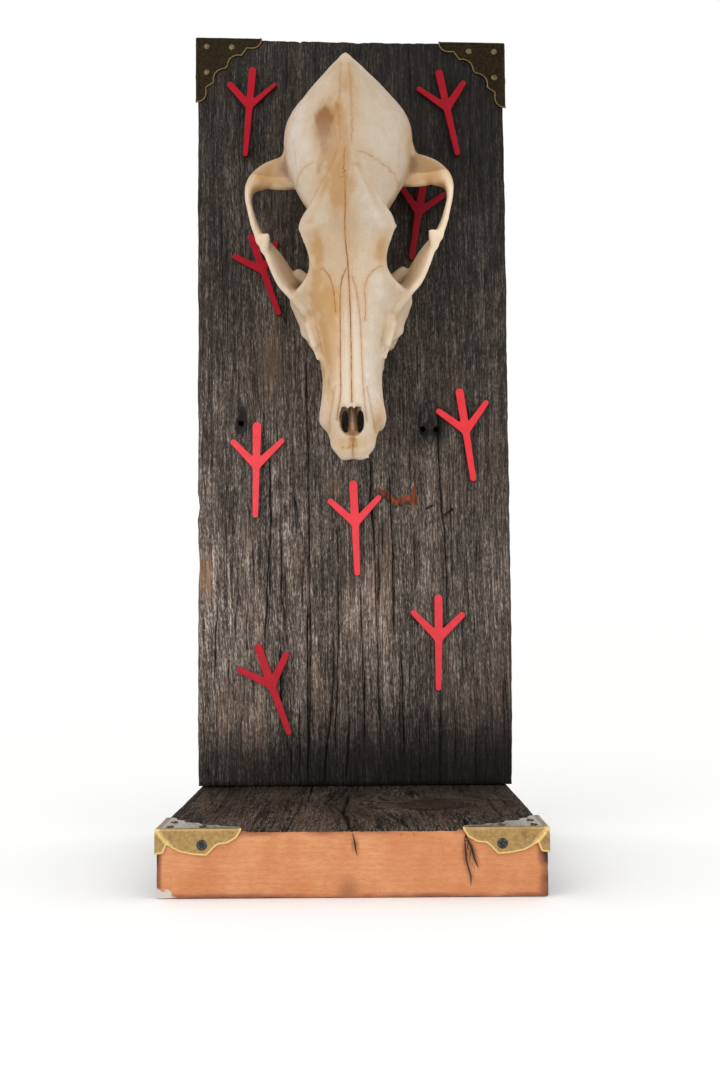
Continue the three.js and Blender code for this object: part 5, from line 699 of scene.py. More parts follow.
TEETH = {
  'canine': [[9.5, 11.2, 26.2, 1.6, 2.2, 0], [5, 11.8, 23.4, 2.6, 4.0, 0], [0, 12.4, 20.4, 3.0, 4.5, 0], [-5, 12.7, 18.6, 2.6, 3.6, 0], [-11, 12.5, 18.2, 1.8, 2.5, 0], [-15.5, 12.1, 19.0, 1.1, 1.5, 0], [-18.5, 11.7, 20.2, 0.35, 0.45, 0]],
  'premolar_1': [[4.0, 12.1, 30.2, 1.0, 1.4, 0], [0.4, 12.3, 29.8, 1.5, 2.2, 0], [-1.6, 12.3, 29.8, 1.4, 2.0, 0], [-4.0, 12.2, 29.6, 0.4, 0.7, 0]],
  'premolar_2': [[4.5, 12.2, 37.0, 1.2, 3.2, 2], [0.4, 12.4, 37.0, 1.8, 4.4, 2], [-1.8, 12.4, 37.0, 1.7, 3.8, 2], [-5.4, 12.3, 36.6, 0.4, 0.9, 2]],
  'premolar_3': [[4.5, 13.2, 47.2, 1.3, 3.6, 10], [0.4, 13.4, 47.2, 2.0, 5.0, 10], [-2.0, 13.4, 47.2, 1.8, 4.4, 10], [-6.4, 13.3, 46.8, 0.4, 1.0, 10]],
  'premolar_4': [[5.0, 18.9, 61.0, 2.2, 6.4, 20], [0.5, 19.3, 61.0, 3.4, 8.6, 20], [-3.0, 19.4, 61.0, 3.0, 8.0, 20], [-6.2, 19.6, 60.4, 1.9, 5.6, 20], [-9.4, 19.7, 58.2, 0.6, 1.6, 20]],
  'molar_1': [[5.0, 19.0, 75.4, 4.6, 3.6, 0], [0.5, 19.2, 75.4, 6.0, 4.9, 0], [-2.6, 19.4, 75.4, 5.8, 4.7, 0], [-5.2, 20.2, 75.2, 4.0, 3.2, 0]],
  'molar_2': [[4.2, 17.6, 84.2, 3.2, 2.0, 0], [0.5, 17.8, 84.2, 4.4, 2.8, 0], [-1.8, 17.9, 84.2, 4.2, 2.7, 0], [-3.8, 18.4, 84.2, 2.8, 1.7, 0]],
}

def tooth_field(rows, X, S, Z):
    """distance to a stack of oval sections"""
    r = sorted(rows, key=lambda q: q[0]); zz = np.array([q[0] for q in r])
    z = np.clip(Z, zz[0], zz[-1]).ravel()
    val = np.stack([np.interp(z, zz, [q[i] for q in r]) for i in range(1, 6)], 1)
    sh = Z.shape
    cx, cs, hx, hs, tn = [val[:, i].reshape(sh).astype(f32) for i in range(5)]
    ca, sa = np.cos(np.radians(tn)), np.sin(np.radians(tn))
    dx, ds = X - cx, S - cs
    u, v = dx * ca - ds * sa, dx * sa + ds * ca
    k = np.sqrt((u / hx) ** 2 + (v / hs) ** 2) + 1e-6
    d = (k - 1) * np.minimum(hx, hs)
    over = np.maximum(zz[0] - Z, Z - zz[-1])
    return np.where(over > 0, np.sqrt(np.maximum(d, 0) ** 2 + over ** 2), d)

# seams between the bones, as lines over the roof (x, s), with depth of tone and waviness
def zig(pts, amp, wl, seed, turn=0.0):
    """a seam that winds from side to side"""
    P = catmull(np.array(pts, float), 14)
    d = np.linalg.norm(np.diff(P, axis=0), axis=1); c = np.concatenate([[0], np.cumsum(d)])
    n = max(8, int(c[-1] / 0.36)); t = np.linspace(0, c[-1], n)
    X, Y = np.interp(t, c, P[:, 0]), np.interp(t, c, P[:, 1])
    tx, ty = np.gradient(X), np.gradient(Y); L = np.hypot(tx, ty) + 1e-9; tx, ty = tx / L, ty / L
    ph = 2 * np.pi * t / wl + 2.6 * vnoise(t * 0.33, 0, 0, seed)
    a = amp * (0.55 + 0.6 * vnoise(t * 0.21, 3, 0, seed)) * np.sin(np.pi * np.clip(t / c[-1], 0, 1)) ** 0.3
    o = a * np.sin(ph); b = 0.30 * a * np.sin(2 * ph)
    return [(float(x), float(y)) for x, y in zip(X - ty * o + tx * b, Y + tx * o + ty * b)]

SEAMS = [
    # group 0: the midline
    (0, 0.62, 0.35, 'top', zig([(0.2, 134.5), (-0.6, 131), (-0.9, 126), (-0.6, 118), (-0.5, 110)], 0.85, 2.3, 5)),
    (0, 0.9, 0.22, 'top', [(-0.5, 112), (-0.5, 105.5), (-0.9, 98), (-0.7, 90), (0.1, 80.0), (0.5, 66.2), (0.6, 47.2), (0.55, 34), (0.5, 19.5)]),
    (0, 0.75, 0.2, 'top', [(0.3, 9.0), (0.3, 6.0), (0.0, 2.0), (0.0, -1.0)]),
    (0, 0.5, 0.3, 'base', [(0, 0), (0, 8), (0, 22), (0, 50), (0, 86)]),
    # group 1: beside the nasal bones, across the roof
    (1, 0.85, 0.18, 'top', [(-0.3, 79.6), (-2.9, 74.1), (-3.9, 65.7), (-4.3, 50), (-4.6, 36), (-4.7, 24.3), (-7.0, 13.4)]),
    (1, 0.58, 0.25, 'top', [(1.3, 76.6), (3.4, 70.6), (4.7, 61.4), (5.2, 53.8), (5.5, 41.1), (6.0, 27.6), (7.1, 12.9)]),
    (1, 0.46, 0.4, 'top', zig([(-24.5, 121.5), (-22.9, 124.6), (-19.2, 127.4), (-14.3, 128.6)], 0.75, 3.0, 8)),
    (1, 0.46, 0.4, 'top', zig([(4.7, 131.6), (9.5, 131.1), (13.3, 128.7), (17.3, 126.8), (21.4, 124.5), (25.0, 119.0)], 0.85, 2.6, 11)),
    # group 2: brow to snout, and the front of the upper jaw
    (2, 0.7, 0.3, 'top', [(-12.9, 77.9), (-11.4, 78.6), (-8.6, 75.6), (-7.0, 70.7), (-6.4, 64.9), (-6.2, 60.0)]),
    (2, 0.55, 0.3, 'top', [(16.5, 79.6), (13.8, 78.8), (9.2, 75.0), (7.4, 69.7), (7.9, 63.1), (7.0, 56.3)]),
    (2, 0.45, 0.4, 'top', [(-7.0, 29.5), (-9.3, 20.0), (-11.4, 10.0)]),
    (2, 0.5, 0.4, 'top', [(7.4, 29.0), (9.3, 19.2), (11.0, 10.0)]),
    (2, 0.14, 0.7, 'side', [(118.0, 34.5), (124.0, 39.5), (133, 42.0), (142, 41.0), (150, 36.0), (157, 29.0)]),
    (0, 0.30, 0.8, 'top', [(-21.0, 101.5), (-16.0, 109.5), (-11.0, 117.5), (-6.2, 126.0), (-3.6, 134.0)]),
    (2, 0.36, 1.3, 'top', [(-2.5, 136.0), (-2.8, 146.0), (-2.6, 158.0), (-2.2, 170.0), (-1.6, 177.0)]),
    (1, 0.42, 1.4, 'top', [(2.6, 134.0), (2.9, 146.0), (2.7, 158.0), (2.2, 170.0), (1.4, 177.0)]),
    (1, 0.5, 0.5, 'side', [(98.0, 14.6), (104, 18.0), (110, 20.4), (117, 22.6), (124, 25.8)]),
    (1, 0.45, 0.5, 'base', [(-14.5, 55), (-8.0, 57.5), (0, 60), (8.0, 57.5), (14.5, 55)]),
]

def polyline_distance(P, pts):
    """signed distance (sign by side) and place along the line for 2-D points"""
    pts = catmull(np.array(pts, float), 4) if len(pts) > 2 else np.array(pts, float)
    best = np.full(len(P), 1e9); sd = np.full(len(P), 1e3); along = np.zeros(len(P)); L0 = 0.0
    n = len(pts) - 1
    for i in range(n):
        a, b = pts[i], pts[i + 1]; e = b - a; L = np.linalg.norm(e)
        if L < 1e-9:
            continue
        e = e / L; w = P - a; t = w @ e
        tc = np.clip(t, -60 if i == 0 else 0, L + 60 if i == n - 1 else L)
        q = w - tc[:, None] * e
        d = np.linalg.norm(q, axis=1); m = d < best
        best = np.where(m, d, best); sd = np.where(m, np.sign(w[:, 0] * e[1] - w[:, 1] * e[0]) * d, sd)
        along = np.where(m, L0 + t, along); L0 += L
    return sd, along, L0

def skull_piece():
    h = 0.885
    lo = np.array([-55.0, -5.0, -9.0]); lo[0] = -(math.floor(55.0 / h) + 0.5) * h
    g = Grid(lo, (55.0, 187.0, 60.5), h)
    fill(SKULL_ROWS, g)
    fill(FINE, g)
    # the midline crest is worn flat on top
    sl, X, S, Z = g.block((-6, 126, 44), (6, 184, 58), 0.0)
    zt = np.interp(S.ravel(), [126, 132, 140, 157, 166, 172.6, 176.8, 181.2, 184], [54.4, 53.5, 53.25, 53.2, 52.9, 51.9, 50.7, 49.4, 48.6]).reshape(S.shape)
    g.F[sl] = -smin(-g.F[sl], -(Z - zt).astype(f32), 0.5)
    # sockets follow the teeth
    for rows in TEETH.values():
        R = np.array(rows)
        for side in (-1, 1):
            lo2 = [0, R[:, 2].min() - R[:, 4].max() - 3, R[:, 0].min() - 2]; hi2 = [R[:, 1].max() + R[:, 4].max() + 3, R[:, 2].max() + R[:, 4].max() + 3, R[:, 0].max() + 2]
            if side < 0:
                lo2[0], hi2[0] = -hi2[0], -lo2[0]
            b = g.block(lo2, hi2, 1.0)
            sl, X, S, Z = b
            d = tooth_field(rows, X * side, S, Z) - 0.42
            g.F[sl] = -smin(-g.F[sl], d.astype(f32), 0.5)
    # the two long screws' holes
    for s, z in ((104, 17.0), (157, 13.6)):
        b = g.block((-5, s - 8, -9), (5, s + 8, z + 3), 1.0)
        sl, X, S, Z = b
        P = SKULL_O + X[..., None] * AX[0] + S[..., None] * AX[1] + Z[..., None] * AX[2]
        tip = to_part((0, s, z))
        rad = np.sqrt((P[..., 0] - tip[0]) ** 2 + (P[..., 2] - tip[2]) ** 2) - 2.15
        d = np.maximum(rad, tip[1] - 0.4 - P[..., 1])
        g.F[sl] = np.maximum(g.F[sl], -d.astype(f32))
    F = g.F.copy()
    V, Q = surface_nets(F, g.lo, h)
    V, Q = largest(V, Q)
    V = relax(V, Q, 3, 0.5)
    N = normals_of(V, Q)
    x, s, z = V.T
    # cavity: how much bone stands round each point, compared with a flat wall
    G = np.clip(g.F, -3.0, 3.0)
    def blur(A, r):
        for ax in range(3):
            k = 2 * r + 1
            pad = [(0, 0)] * 3; pad[ax] = (r + 1, r)
            c = np.cumsum(np.pad(A, pad, mode='edge'), axis=ax, dtype=np.float64)
            a = [slice(None)] * 3; b = [slice(None)] * 3
            a[ax] = slice(k, None); b[ax] = slice(0, -k)
            A = ((c[tuple(a)] - c[tuple(b)]) / k).astype(f32)
        return A
    B1 = blur(G, max(1, round(1.8 / h))); B2 = blur(B1, max(1, round(3.2 / h)))
    cav = -(g.sample(V, B1)) * 0.9 - g.sample(V, B2) * 0.55
    cav = np.clip(cav, -1.5, 1.5)
    # how far inside: open air above a point along its normal and towards the outside; the material paints these inner
    # walls dark as shade
    deep = np.zeros(len(V))
    brain = ((x / 24.6) ** 2 + ((s - 137) / 31) ** 2 + ((z - 30) / 20.4) ** 2) < 1.08
    nose = (np.abs(x) < 9.2) & (s > 20) & (s < 97) & (z < 33) & (z > 5.2)
    inward = (N[:, 0] * x + N[:, 2] * (z - 28)) < 0
    deep = np.where(brain & inward, 1.0, deep)
    nose_in = nose & ((N[:, 0] * x + N[:, 2] * (z - 16)) < 0)
    deep = np.where(nose_in, sstep(19, 30, s), deep)
    e = np.concatenate([Q[:, [0, 1]], Q[:, [1, 2]], Q[:, [2, 3]], Q[:, [3, 0]]]); ea = np.concatenate([e[:, 0], e[:, 1]]); eb = np.concatenate([e[:, 1], e[:, 0]])
    deg = np.bincount(ea, minlength=len(V))
    for _ in range(3):
        deep = 0.4 * deep + 0.6 * np.bincount(ea, weights=deep[eb], minlength=len(V)) / deg
        cav = 0.6 * cav + 0.4 * np.bincount(ea, weights=cav[eb], minlength=len(V)) / deg
    # seams
    attrs = {}
    sd = [np.full(len(V), 6.0) for _ in range(3)]; sw = [np.zeros(len(V)) for _ in range(3)]; wv = [np.zeros(len(V)) for _ in range(3)]
    for grp, tone, wave, side, pts in SEAMS:
        if side == 'top':
            P = np.stack([x, s], 1); ok = (N[:, 2] > 0.12) & (z > 3.0) & (deep < 0.3)
            if grp == 0 and pts[0][1] < 10 and pts[0][1] > 1: ok = (z > 1.5) & (N[:, 2] > -0.2) & (s < 12)
        elif side == 'base':
            P = np.stack([x, s], 1); ok = (N[:, 2] < -0.4) & (z < 8)
        else:
            P = np.stack([s, z], 1); ok = (np.abs(N[:, 0]) > 0.35) & (np.abs(x) > 14) & (N[:, 0] * x > 0)
        d, al, L = polyline_distance(P, pts)
        w = np.where(ok, 1.0, 0.0) * sstep(-0.4, 1.2, al) * sstep(-0.4, 1.2, L - al) * sstep(2.3, 1.5, np.abs(d)) * tone
        m = (w > sw[grp]) | ((w > 0) & (np.abs(d) < np.abs(sd[grp])))
        sd[grp] = np.where(m, d, sd[grp]); sw[grp] = np.where(m, w, sw[grp]); wv[grp] = np.where(m, wave, wv[grp])
    groove = np.zeros(len(V))
    for i in range(3):
        attrs[f'sd{i}'], attrs[f'sw{i}'], attrs[f'wv{i}'] = sd[i], sw[i], wv[i]
        groove = np.maximum(groove, np.exp(-(sd[i] / 0.55) ** 2) * np.clip(sw[i] * 1.2 - 0.25, 0, 1))
    V = V - N * (0.26 * groove)[:, None]
    # fine relief: old bone is never quite smooth
    relief = 0.10 * fbm(x / 5.0, s / 7.0, z / 5.0, 3, 3) + 0.05 * vnoise(x / 1.9, s / 2.6, z / 1.9, 9)
    # muscle scars and pitting along the crest and the snout
    relief += -0.12 * sstep(0.35, 0.8, vnoise(x / 1.5, s / 2.2, z / 1.5, 21)) * np.exp(-((np.abs(x) - 13) / 7) ** 2) * sstep(86, 70, s) * sstep(52, 62, s)
    V = V + N * relief[:, None]
    V[:, 0] = np.where((np.abs(x) < 1.2 * h) & (groove > 0.5), V[:, 0], V[:, 0])
    # stains, as soft patches on the bone's own axes
    def patch(cx, cs, rx, rs, rot=0.0, top=True):
        a = math.radians(rot); dx, ds = x - cx, s - cs
        u, v = dx * math.cos(a) + ds * math.sin(a), -dx * math.sin(a) + ds * math.cos(a)
        r = np.exp(-((u / rx) ** 2 + (v / rs) ** 2))
        return r * np.where(z > 8, 1, 0.35) if top else r
    wob = fbm(x / 9, s / 13, z / 9, 3, 41)
    wob2 = fbm(x / 3.2, s / 5.5, z / 3.2, 2, 57)
    roof = sstep(24, 40, z)
    tan = 0.20 + 0.18 * wob
    tan += 0.85 * patch(-3.4, 142, 4.0, 34) * roof + 0.5 * patch(3.0, 158, 3.6, 22) * roof
    tan += 0.75 * patch(-8.6, 136, 6.5, 17, 6) * roof + 0.55 * patch(-9.5, 116, 7.0, 11, 25) * roof + 0.35 * patch(8, 139, 9, 9)
    tan += 0.55 * patch(-3.5, 108, 6, 12) + 0.35 * patch(3.0, 104, 3.0, 22) + 1.05 * patch(16.5, 86, 4.5, 8) + 0.6 * patch(-13, 88, 6, 9)
    tan += 0.45 * patch(-11.5, 62, 8.5, 20) + 0.85 * patch(-9.5, 52, 4.2, 14) + 0.45 * patch(-10, 30, 5, 16) + 0.55 * patch(-17, 68, 5, 9)
    tan += 0.35 * patch(-7.2, 20, 2.2, 9) + 0.45 * patch(0, 3.5, 9, 5) + 0.5 * patch(11.5, 14, 3.5, 6) + 0.3 * patch(20, 62, 6, 8)
    arch = sstep(24, 31, np.abs(x)) * (s > 100)
    tan += arch * (0.55 * sstep(119, 132, s) + 0.18) + 0.25 * sstep(22, 28, np.abs(x)) * (s <= 100) * (z < 30)
    tan += 0.6 * sstep(0.34, 0.02, N[:, 2]) * (s > 100) * (z > 16)
    tan += 0.5 * sstep(16, 6, z) * (s > 88)            # the base is browner
    tan += 0.35 * np.exp(-((np.abs(x) - 5.2 - (126 - s) * 0.42) / 1.6) ** 2) * (s > 98) * (s < 126) * roof
    white = 0.9 * patch(-21.5, 142, 9.5, 26, 0, False) * sstep(14, 24, z) + 0.45 * patch(18, 143, 13, 24, 0, False) * sstep(12, 22, z)
    white += 0.55 * patch(10.5, 105, 6, 11, 20) + 0.35 * patch(15, 99, 4, 5) + 0.8 * patch(14.5, 72, 3.6, 6.5, 20) + 0.4 * patch(11.5, 61, 3.6, 7)
    white += 0.85 * patch(8.4, 27, 2.6, 15) + 0.45 * patch(10.5, 45, 4, 14) + 0.5 * patch(2.6, 42, 2.0, 22) + 0.35 * patch(-2.2, 34, 1.6, 14) + 0.3 * patch(-12.5, 20, 3, 8)
    white += 0.4 * np.exp(-((np.abs(x) - 3.2 - (126 - s) * 0.42) / 1.1) ** 2) * (s > 100) * (s < 124) * (x > 0)
    brown = 1.05 * patch(-9.3 + 0.6 * wob2, 146.5, 3.2, 6.4, 14) * roof + 0.35 * patch(-9.4, 148.0, 7.0, 11.0, 10) * roof + 0.55 * patch(-10.6, 138, 2.6, 7, 4) * roof + 0.75 * patch(-3.9, 154.6, 0.75, 3.6) * roof + 0.4 * patch(-8.4, 150.5, 3.4, 5) * roof
    brown += 0.55 * patch(-12.6, 124, 1.6, 3.2) * roof + 0.3 * patch(-20.5, 76.5, 3.5, 4.5, 0, False) * (z > 12) * (z < 26) + 1.3 * patch(-24.5, 80.5, 3.2, 3.6, 0, False) * (z < 24)
    brown += 0.35 * patch(24.5, 81, 3.6, 3.6, 0, False) * (z < 24) + 0.30 * patch(16.2, 63.2, 3.2, 2.6) + 0.25 * patch(-9, 59, 1.6, 5, 6) + 0.6 * patch(22.6, 99.2, 1.6, 2.2)
    brown += 0.5 * patch(0, 15, 3.2, 10, 0, False) * (z < 14) * (z > 3) * (np.abs(x) < 2.6) + 0.35 * patch(-5.5, 2.2, 3.2, 1.6, 0, False) + 0.3 * sstep(12, 4, z) * sstep(0.1, 0.5, wob) * (s > 90)
    brown = brown + 0.5 * patch(0.1, 6.6, 1.9, 3.6) * (z < 14) + 0.35 * patch(-4.6, 3.4, 1.0, 0.8, 0, False) + 0.35 * patch(-2.0, 3.2, 0.8, 0.7, 0, False)
    near_blob = patch(-9.3, 143, 8.5, 15, 8)
    white = white * (1 - 0.9 * near_blob); tan = tan + 0.75 * near_blob * roof
    brown = brown + 0.30 * near_blob * roof * (0.6 + 0.8 * wob2)
    tan, white, brown = [np.clip(a * (1 + 0.55 * wob + 0.35 * wob2), 0, 1.2) for a in (tan, white, brown)]
    # painted shading: the colour darkens up the skull toward the braincase, more on the +x side, and lightens on the +x
    # arch, standing in for how the light falls off
    shade = np.interp(s, [0, 20, 55, 70, 82, 100, 115, 185], [1.0, 0.97, 0.95, 0.91, 0.82, 0.73, 0.74, 0.75]) * np.interp(x, [-20, 20], [1.03, 0.95]) ** sstep(100, 118, s)
    shade = shade + (np.where(x < 0, 0.97, 1.13) - shade) * sstep(26.5, 31.0, np.abs(x)) * (s < 134) * (s > 72)
    vom = (np.abs(x) < 2.5) & (s > 3.0) & (s < 26) & (z < 24) & (z > 3.5)
    vm = vom * sstep(8.0, 12.0, s) * sstep(2.5, 1.9, np.abs(x))
    deep = deep + (0.12 - deep) * vm; tan = tan + (1.0 - tan) * vm; white = white * (1 - vm); brown = np.maximum(brown, vm * (0.42 + 0.5 * vnoise(x * 1.6, s * 0.2, z * 0.4, 73)))
    attrs.update(shade=shade, A=np.stack([x, s, z], 1), tan=tan, white=white, brown=brown, cav=cav, deep=deep)
    return mesh_piece("skull_bone", to_part(V), Q, bone_material(), attrs=attrs, node="skull")

skull = skull_piece()

# ------------------------------------------------------------------ teeth
CUSPS = {
  'canine': [['+', 0.4, [12.3, 16.9, -1.0], [12.1, 16.6, -9.0], 0.5, 0.35]],
  'premolar_1': [['+', 0.4, [12.2, 31.2, -0.6], [12.2, 31.0, -2.6], 0.7, 0.25]],
  'premolar_2': [['+', 0.5, [12.4, 40.2, 0.2], [12.4, 39.9, -2.3], 0.9, 0.35], ['-', 0.3, [10, 38.9, -4.4], [15, 38.9, -4.4], 0.8, 0.8], ['+', 0.5, [12.4, 34.0, 0.2], [12.4, 34.3, -1.5], 0.8, 0.3]],
  'premolar_3': [['+', 0.5, [13.9, 50.8, 0.2], [13.9, 50.5, -3.0], 1.0, 0.4], ['-', 0.3, [10, 49.3, -5.4], [17, 49.6, -5.4], 0.9, 0.9], ['+', 0.5, [12.9, 43.6, 0.2], [13.0, 44.0, -2.0], 0.8, 0.3]],
  'premolar_4': [['-', 0.5, [15, 63.0, -8.4], [24, 63.6, -8.0], 1.5, 1.5], ['+', 0.7, [20.6, 66.6, -1.0], [20.9, 66.4, -5.2], 1.7, 0.7], ['+', 0.8, [16.2, 56.0, 0.5], [16.0, 55.6, -3.0], 1.7, 0.8], ['+', 0.6, [18.0, 55.0, 0.0], [18.2, 54.8, -3.6], 1.1, 0.5]],
  'molar_1': [['+', 0.7, [22.8, 73.2, -1.5], [22.2, 73.2, -6.4], 1.9, 0.7], ['+', 0.7, [22.8, 77.4, -1.5], [22.2, 77.3, -5.8], 1.7, 0.7], ['+', 0.7, [16.2, 74.0, -1.0], [16.6, 74.4, -4.6], 1.7, 0.8], ['+', 0.6, [15.0, 77.2, -0.8], [15.4, 77.0, -3.4], 1.4, 0.7], ['-', 0.7, [19.2, 73.6, -7.2], [19.2, 77.2, -7.0], 1.9, 1.9], ['-', 0.4, [21, 75.3, -7.4], [25, 75.3, -7.0], 0.8, 0.8]],
  'molar_2': [['+', 0.5, [20.4, 83.0, -1.2], [20.0, 83.0, -4.4], 1.3, 0.5], ['+', 0.5, [20.3, 85.8, -1.2], [19.9, 85.7, -4.0], 1.2, 0.5], ['+', 0.5, [15.8, 84.4, -0.8], [16.0, 84.4, -3.2], 1.3, 0.6], ['-', 0.5, [18.0, 83.4, -5.0], [18.0, 85.2, -5.0], 1.3, 1.3]],
}

def teeth():
    mat = enamel_material()
    h = 0.4
    for name, rows in TEETH.items():
        R = np.array(rows)
        lo = np.array([R[:, 1].min() - R[:, 3].max() - 2.6, R[:, 2].min() - R[:, 4].max() - 2.6, R[:, 0].min() - 1.6])
        hi = np.array([R[:, 1].max() + R[:, 3].max() + 2.6, R[:, 2].max() + R[:, 4].max() + 2.6, R[:, 0].max() + 1.6])
        N = np.ceil((hi - lo) / h).astype(int) + 1
        X, S, Z = np.meshgrid(*[(lo[i] + h * np.arange(N[i])).astype(f32) for i in range(3)], indexing='ij')
        F = tooth_field(rows, X, S, Z).astype(f32)
        for op, k, a, b, ra, rb in CUSPS[name]:
            a, b = np.array(a, float), np.array(b, float); e = b - a; L = np.linalg.norm(e); e = e / L
            t = np.clip(((X - a[0]) * e[0] + (S - a[1]) * e[1] + (Z - a[2]) * e[2]) / L, 0, 1)
            d = np.sqrt((X - a[0] - t * L * e[0]) ** 2 + (S - a[1] - t * L * e[1]) ** 2 + (Z - a[2] - t * L * e[2]) ** 2) - (ra + (rb - ra) * t)
            F = smin(F, d.astype(f32), k) if op == '+' else -smin(-F, d.astype(f32), k)
        F = F + (0.10 * fbm(X * 0.5, S * 0.5, Z * 0.2, 2, 401) * (Z < 0)).astype(f32)
        V, Q = surface_nets(F, lo, h)
        V, Q = largest(V, Q)
        V = relax(V, Q, 2, 0.5)
        long_ = max(2.6, -R[:, 0].min() * 0.55)
        crown = np.clip(-(V[:, 2] + 0.2) / long_, 0, 1)
        # dirt and painted shade in the hollows between the points
        I = np.clip(((V - lo) / h).round().astype(int), 1, np.array(F.shape) - 2)
        av = sum(F[tuple((I + np.array(o)).T)] for o in ((1, 0, 0), (-1, 0, 0), (0, 1, 0), (0, -1, 0), (0, 0, 1), (0, 0, -1))) / 6
        cav = np.clip(-(av - F[tuple(I.T)]) * 5.0, 0, 1)
        for side, tag in ((-1, 'left'), (1, 'right')):
            W = V * np.array([side, 1, 1])
            mesh_piece(f"{name}_{tag}_tooth", to_part(W), Q if side > 0 else Q[:, ::-1], [mat], True, {'A': W, 'crown': crown, 'cav': cav}, node=f"{name}_{tag}")
teeth()

# ------------------------------------------------------------------ old wood
def ring_solid(rings, cap0, cap1, quick=False):
    """rings (R, M, 3) closed loops; caps as (points (k,3) inside, projection axes), not used -> vertices, quads"""
    R, Mn, _ = rings.shape
    V = rings.reshape(-1, 3)
    i = np.arange(R - 1)[:, None] * Mn; j = np.arange(Mn)[None, :]; j2 = (j + 1) % Mn
    Q = np.stack([i + j, i + j2, i + Mn + j2, i + Mn + j], -1).reshape(-1, 4)
    return V, Q

def cap_tris(loop2, inner2):
    """triangles over a closed outline with points inside it; returns indices into loop + inner"""
    from mathutils.geometry import delaunay_2d_cdt
    pts = [Vector((float(a), float(b))) for a, b in np.concatenate([loop2, inner2])]
    n = len(loop2)
    vs, es, fs, ov, oe, of_ = delaunay_2d_cdt(pts, [(i, (i + 1) % n) for i in range(n)], [], 1, 1e-7)
    back = [o[0] if o else -1 for o in ov]
    return [tuple(back[i] for i in f) for f in fs if all(back[i] >= 0 for i in f)]

def crack_field(U, L, cracks, seed):
    """signed sideways distance, half width and depth weight of the nearest crack at across U, along L"""
    best = np.full(U.shape, 9.0); D = np.full(U.shape, 9.0); W = np.zeros(U.shape); S = np.zeros(U.shape)
    for k, c in enumerate(cracks):
        s = c[0]; P = np.array(sorted(c[1:], key=lambda q: q[1]), float)
        lo, hi = P[0, 1], P[-1, 1]
        m = (L > lo - 1) & (L < hi + 1)
        if not m.any():
            continue
        l = L[m]
        xc = np.interp(l, P[:, 1], P[:, 0]) + 0.30 * vnoise(l * 0.09, k * 3.7, 0, seed) + 0.10 * vnoise(l * 0.5, k * 1.9, 4, seed)
        d = U[m] - xc
        tp = np.clip(np.minimum(l - lo, hi - l) / 9.0, 0, 1) ** 0.6
        w = tp * (0.04 + 0.135 * s) * (0.8 + 0.35 * vnoise(l * 0.16, k * 5.1, 9, seed))
        w = np.maximum(w, 0)
        sc = np.abs(d) - w
        o = sc < best[m]
        idx = np.flatnonzero(m)[o] if m.ndim == 1 else None
        mm = np.zeros(U.shape, bool); mm[m] = o
        best[mm] = sc[o]; D[mm] = d[o]; W[mm] = w[o]; S[mm] = (s * tp)[o]
    return D, W, S

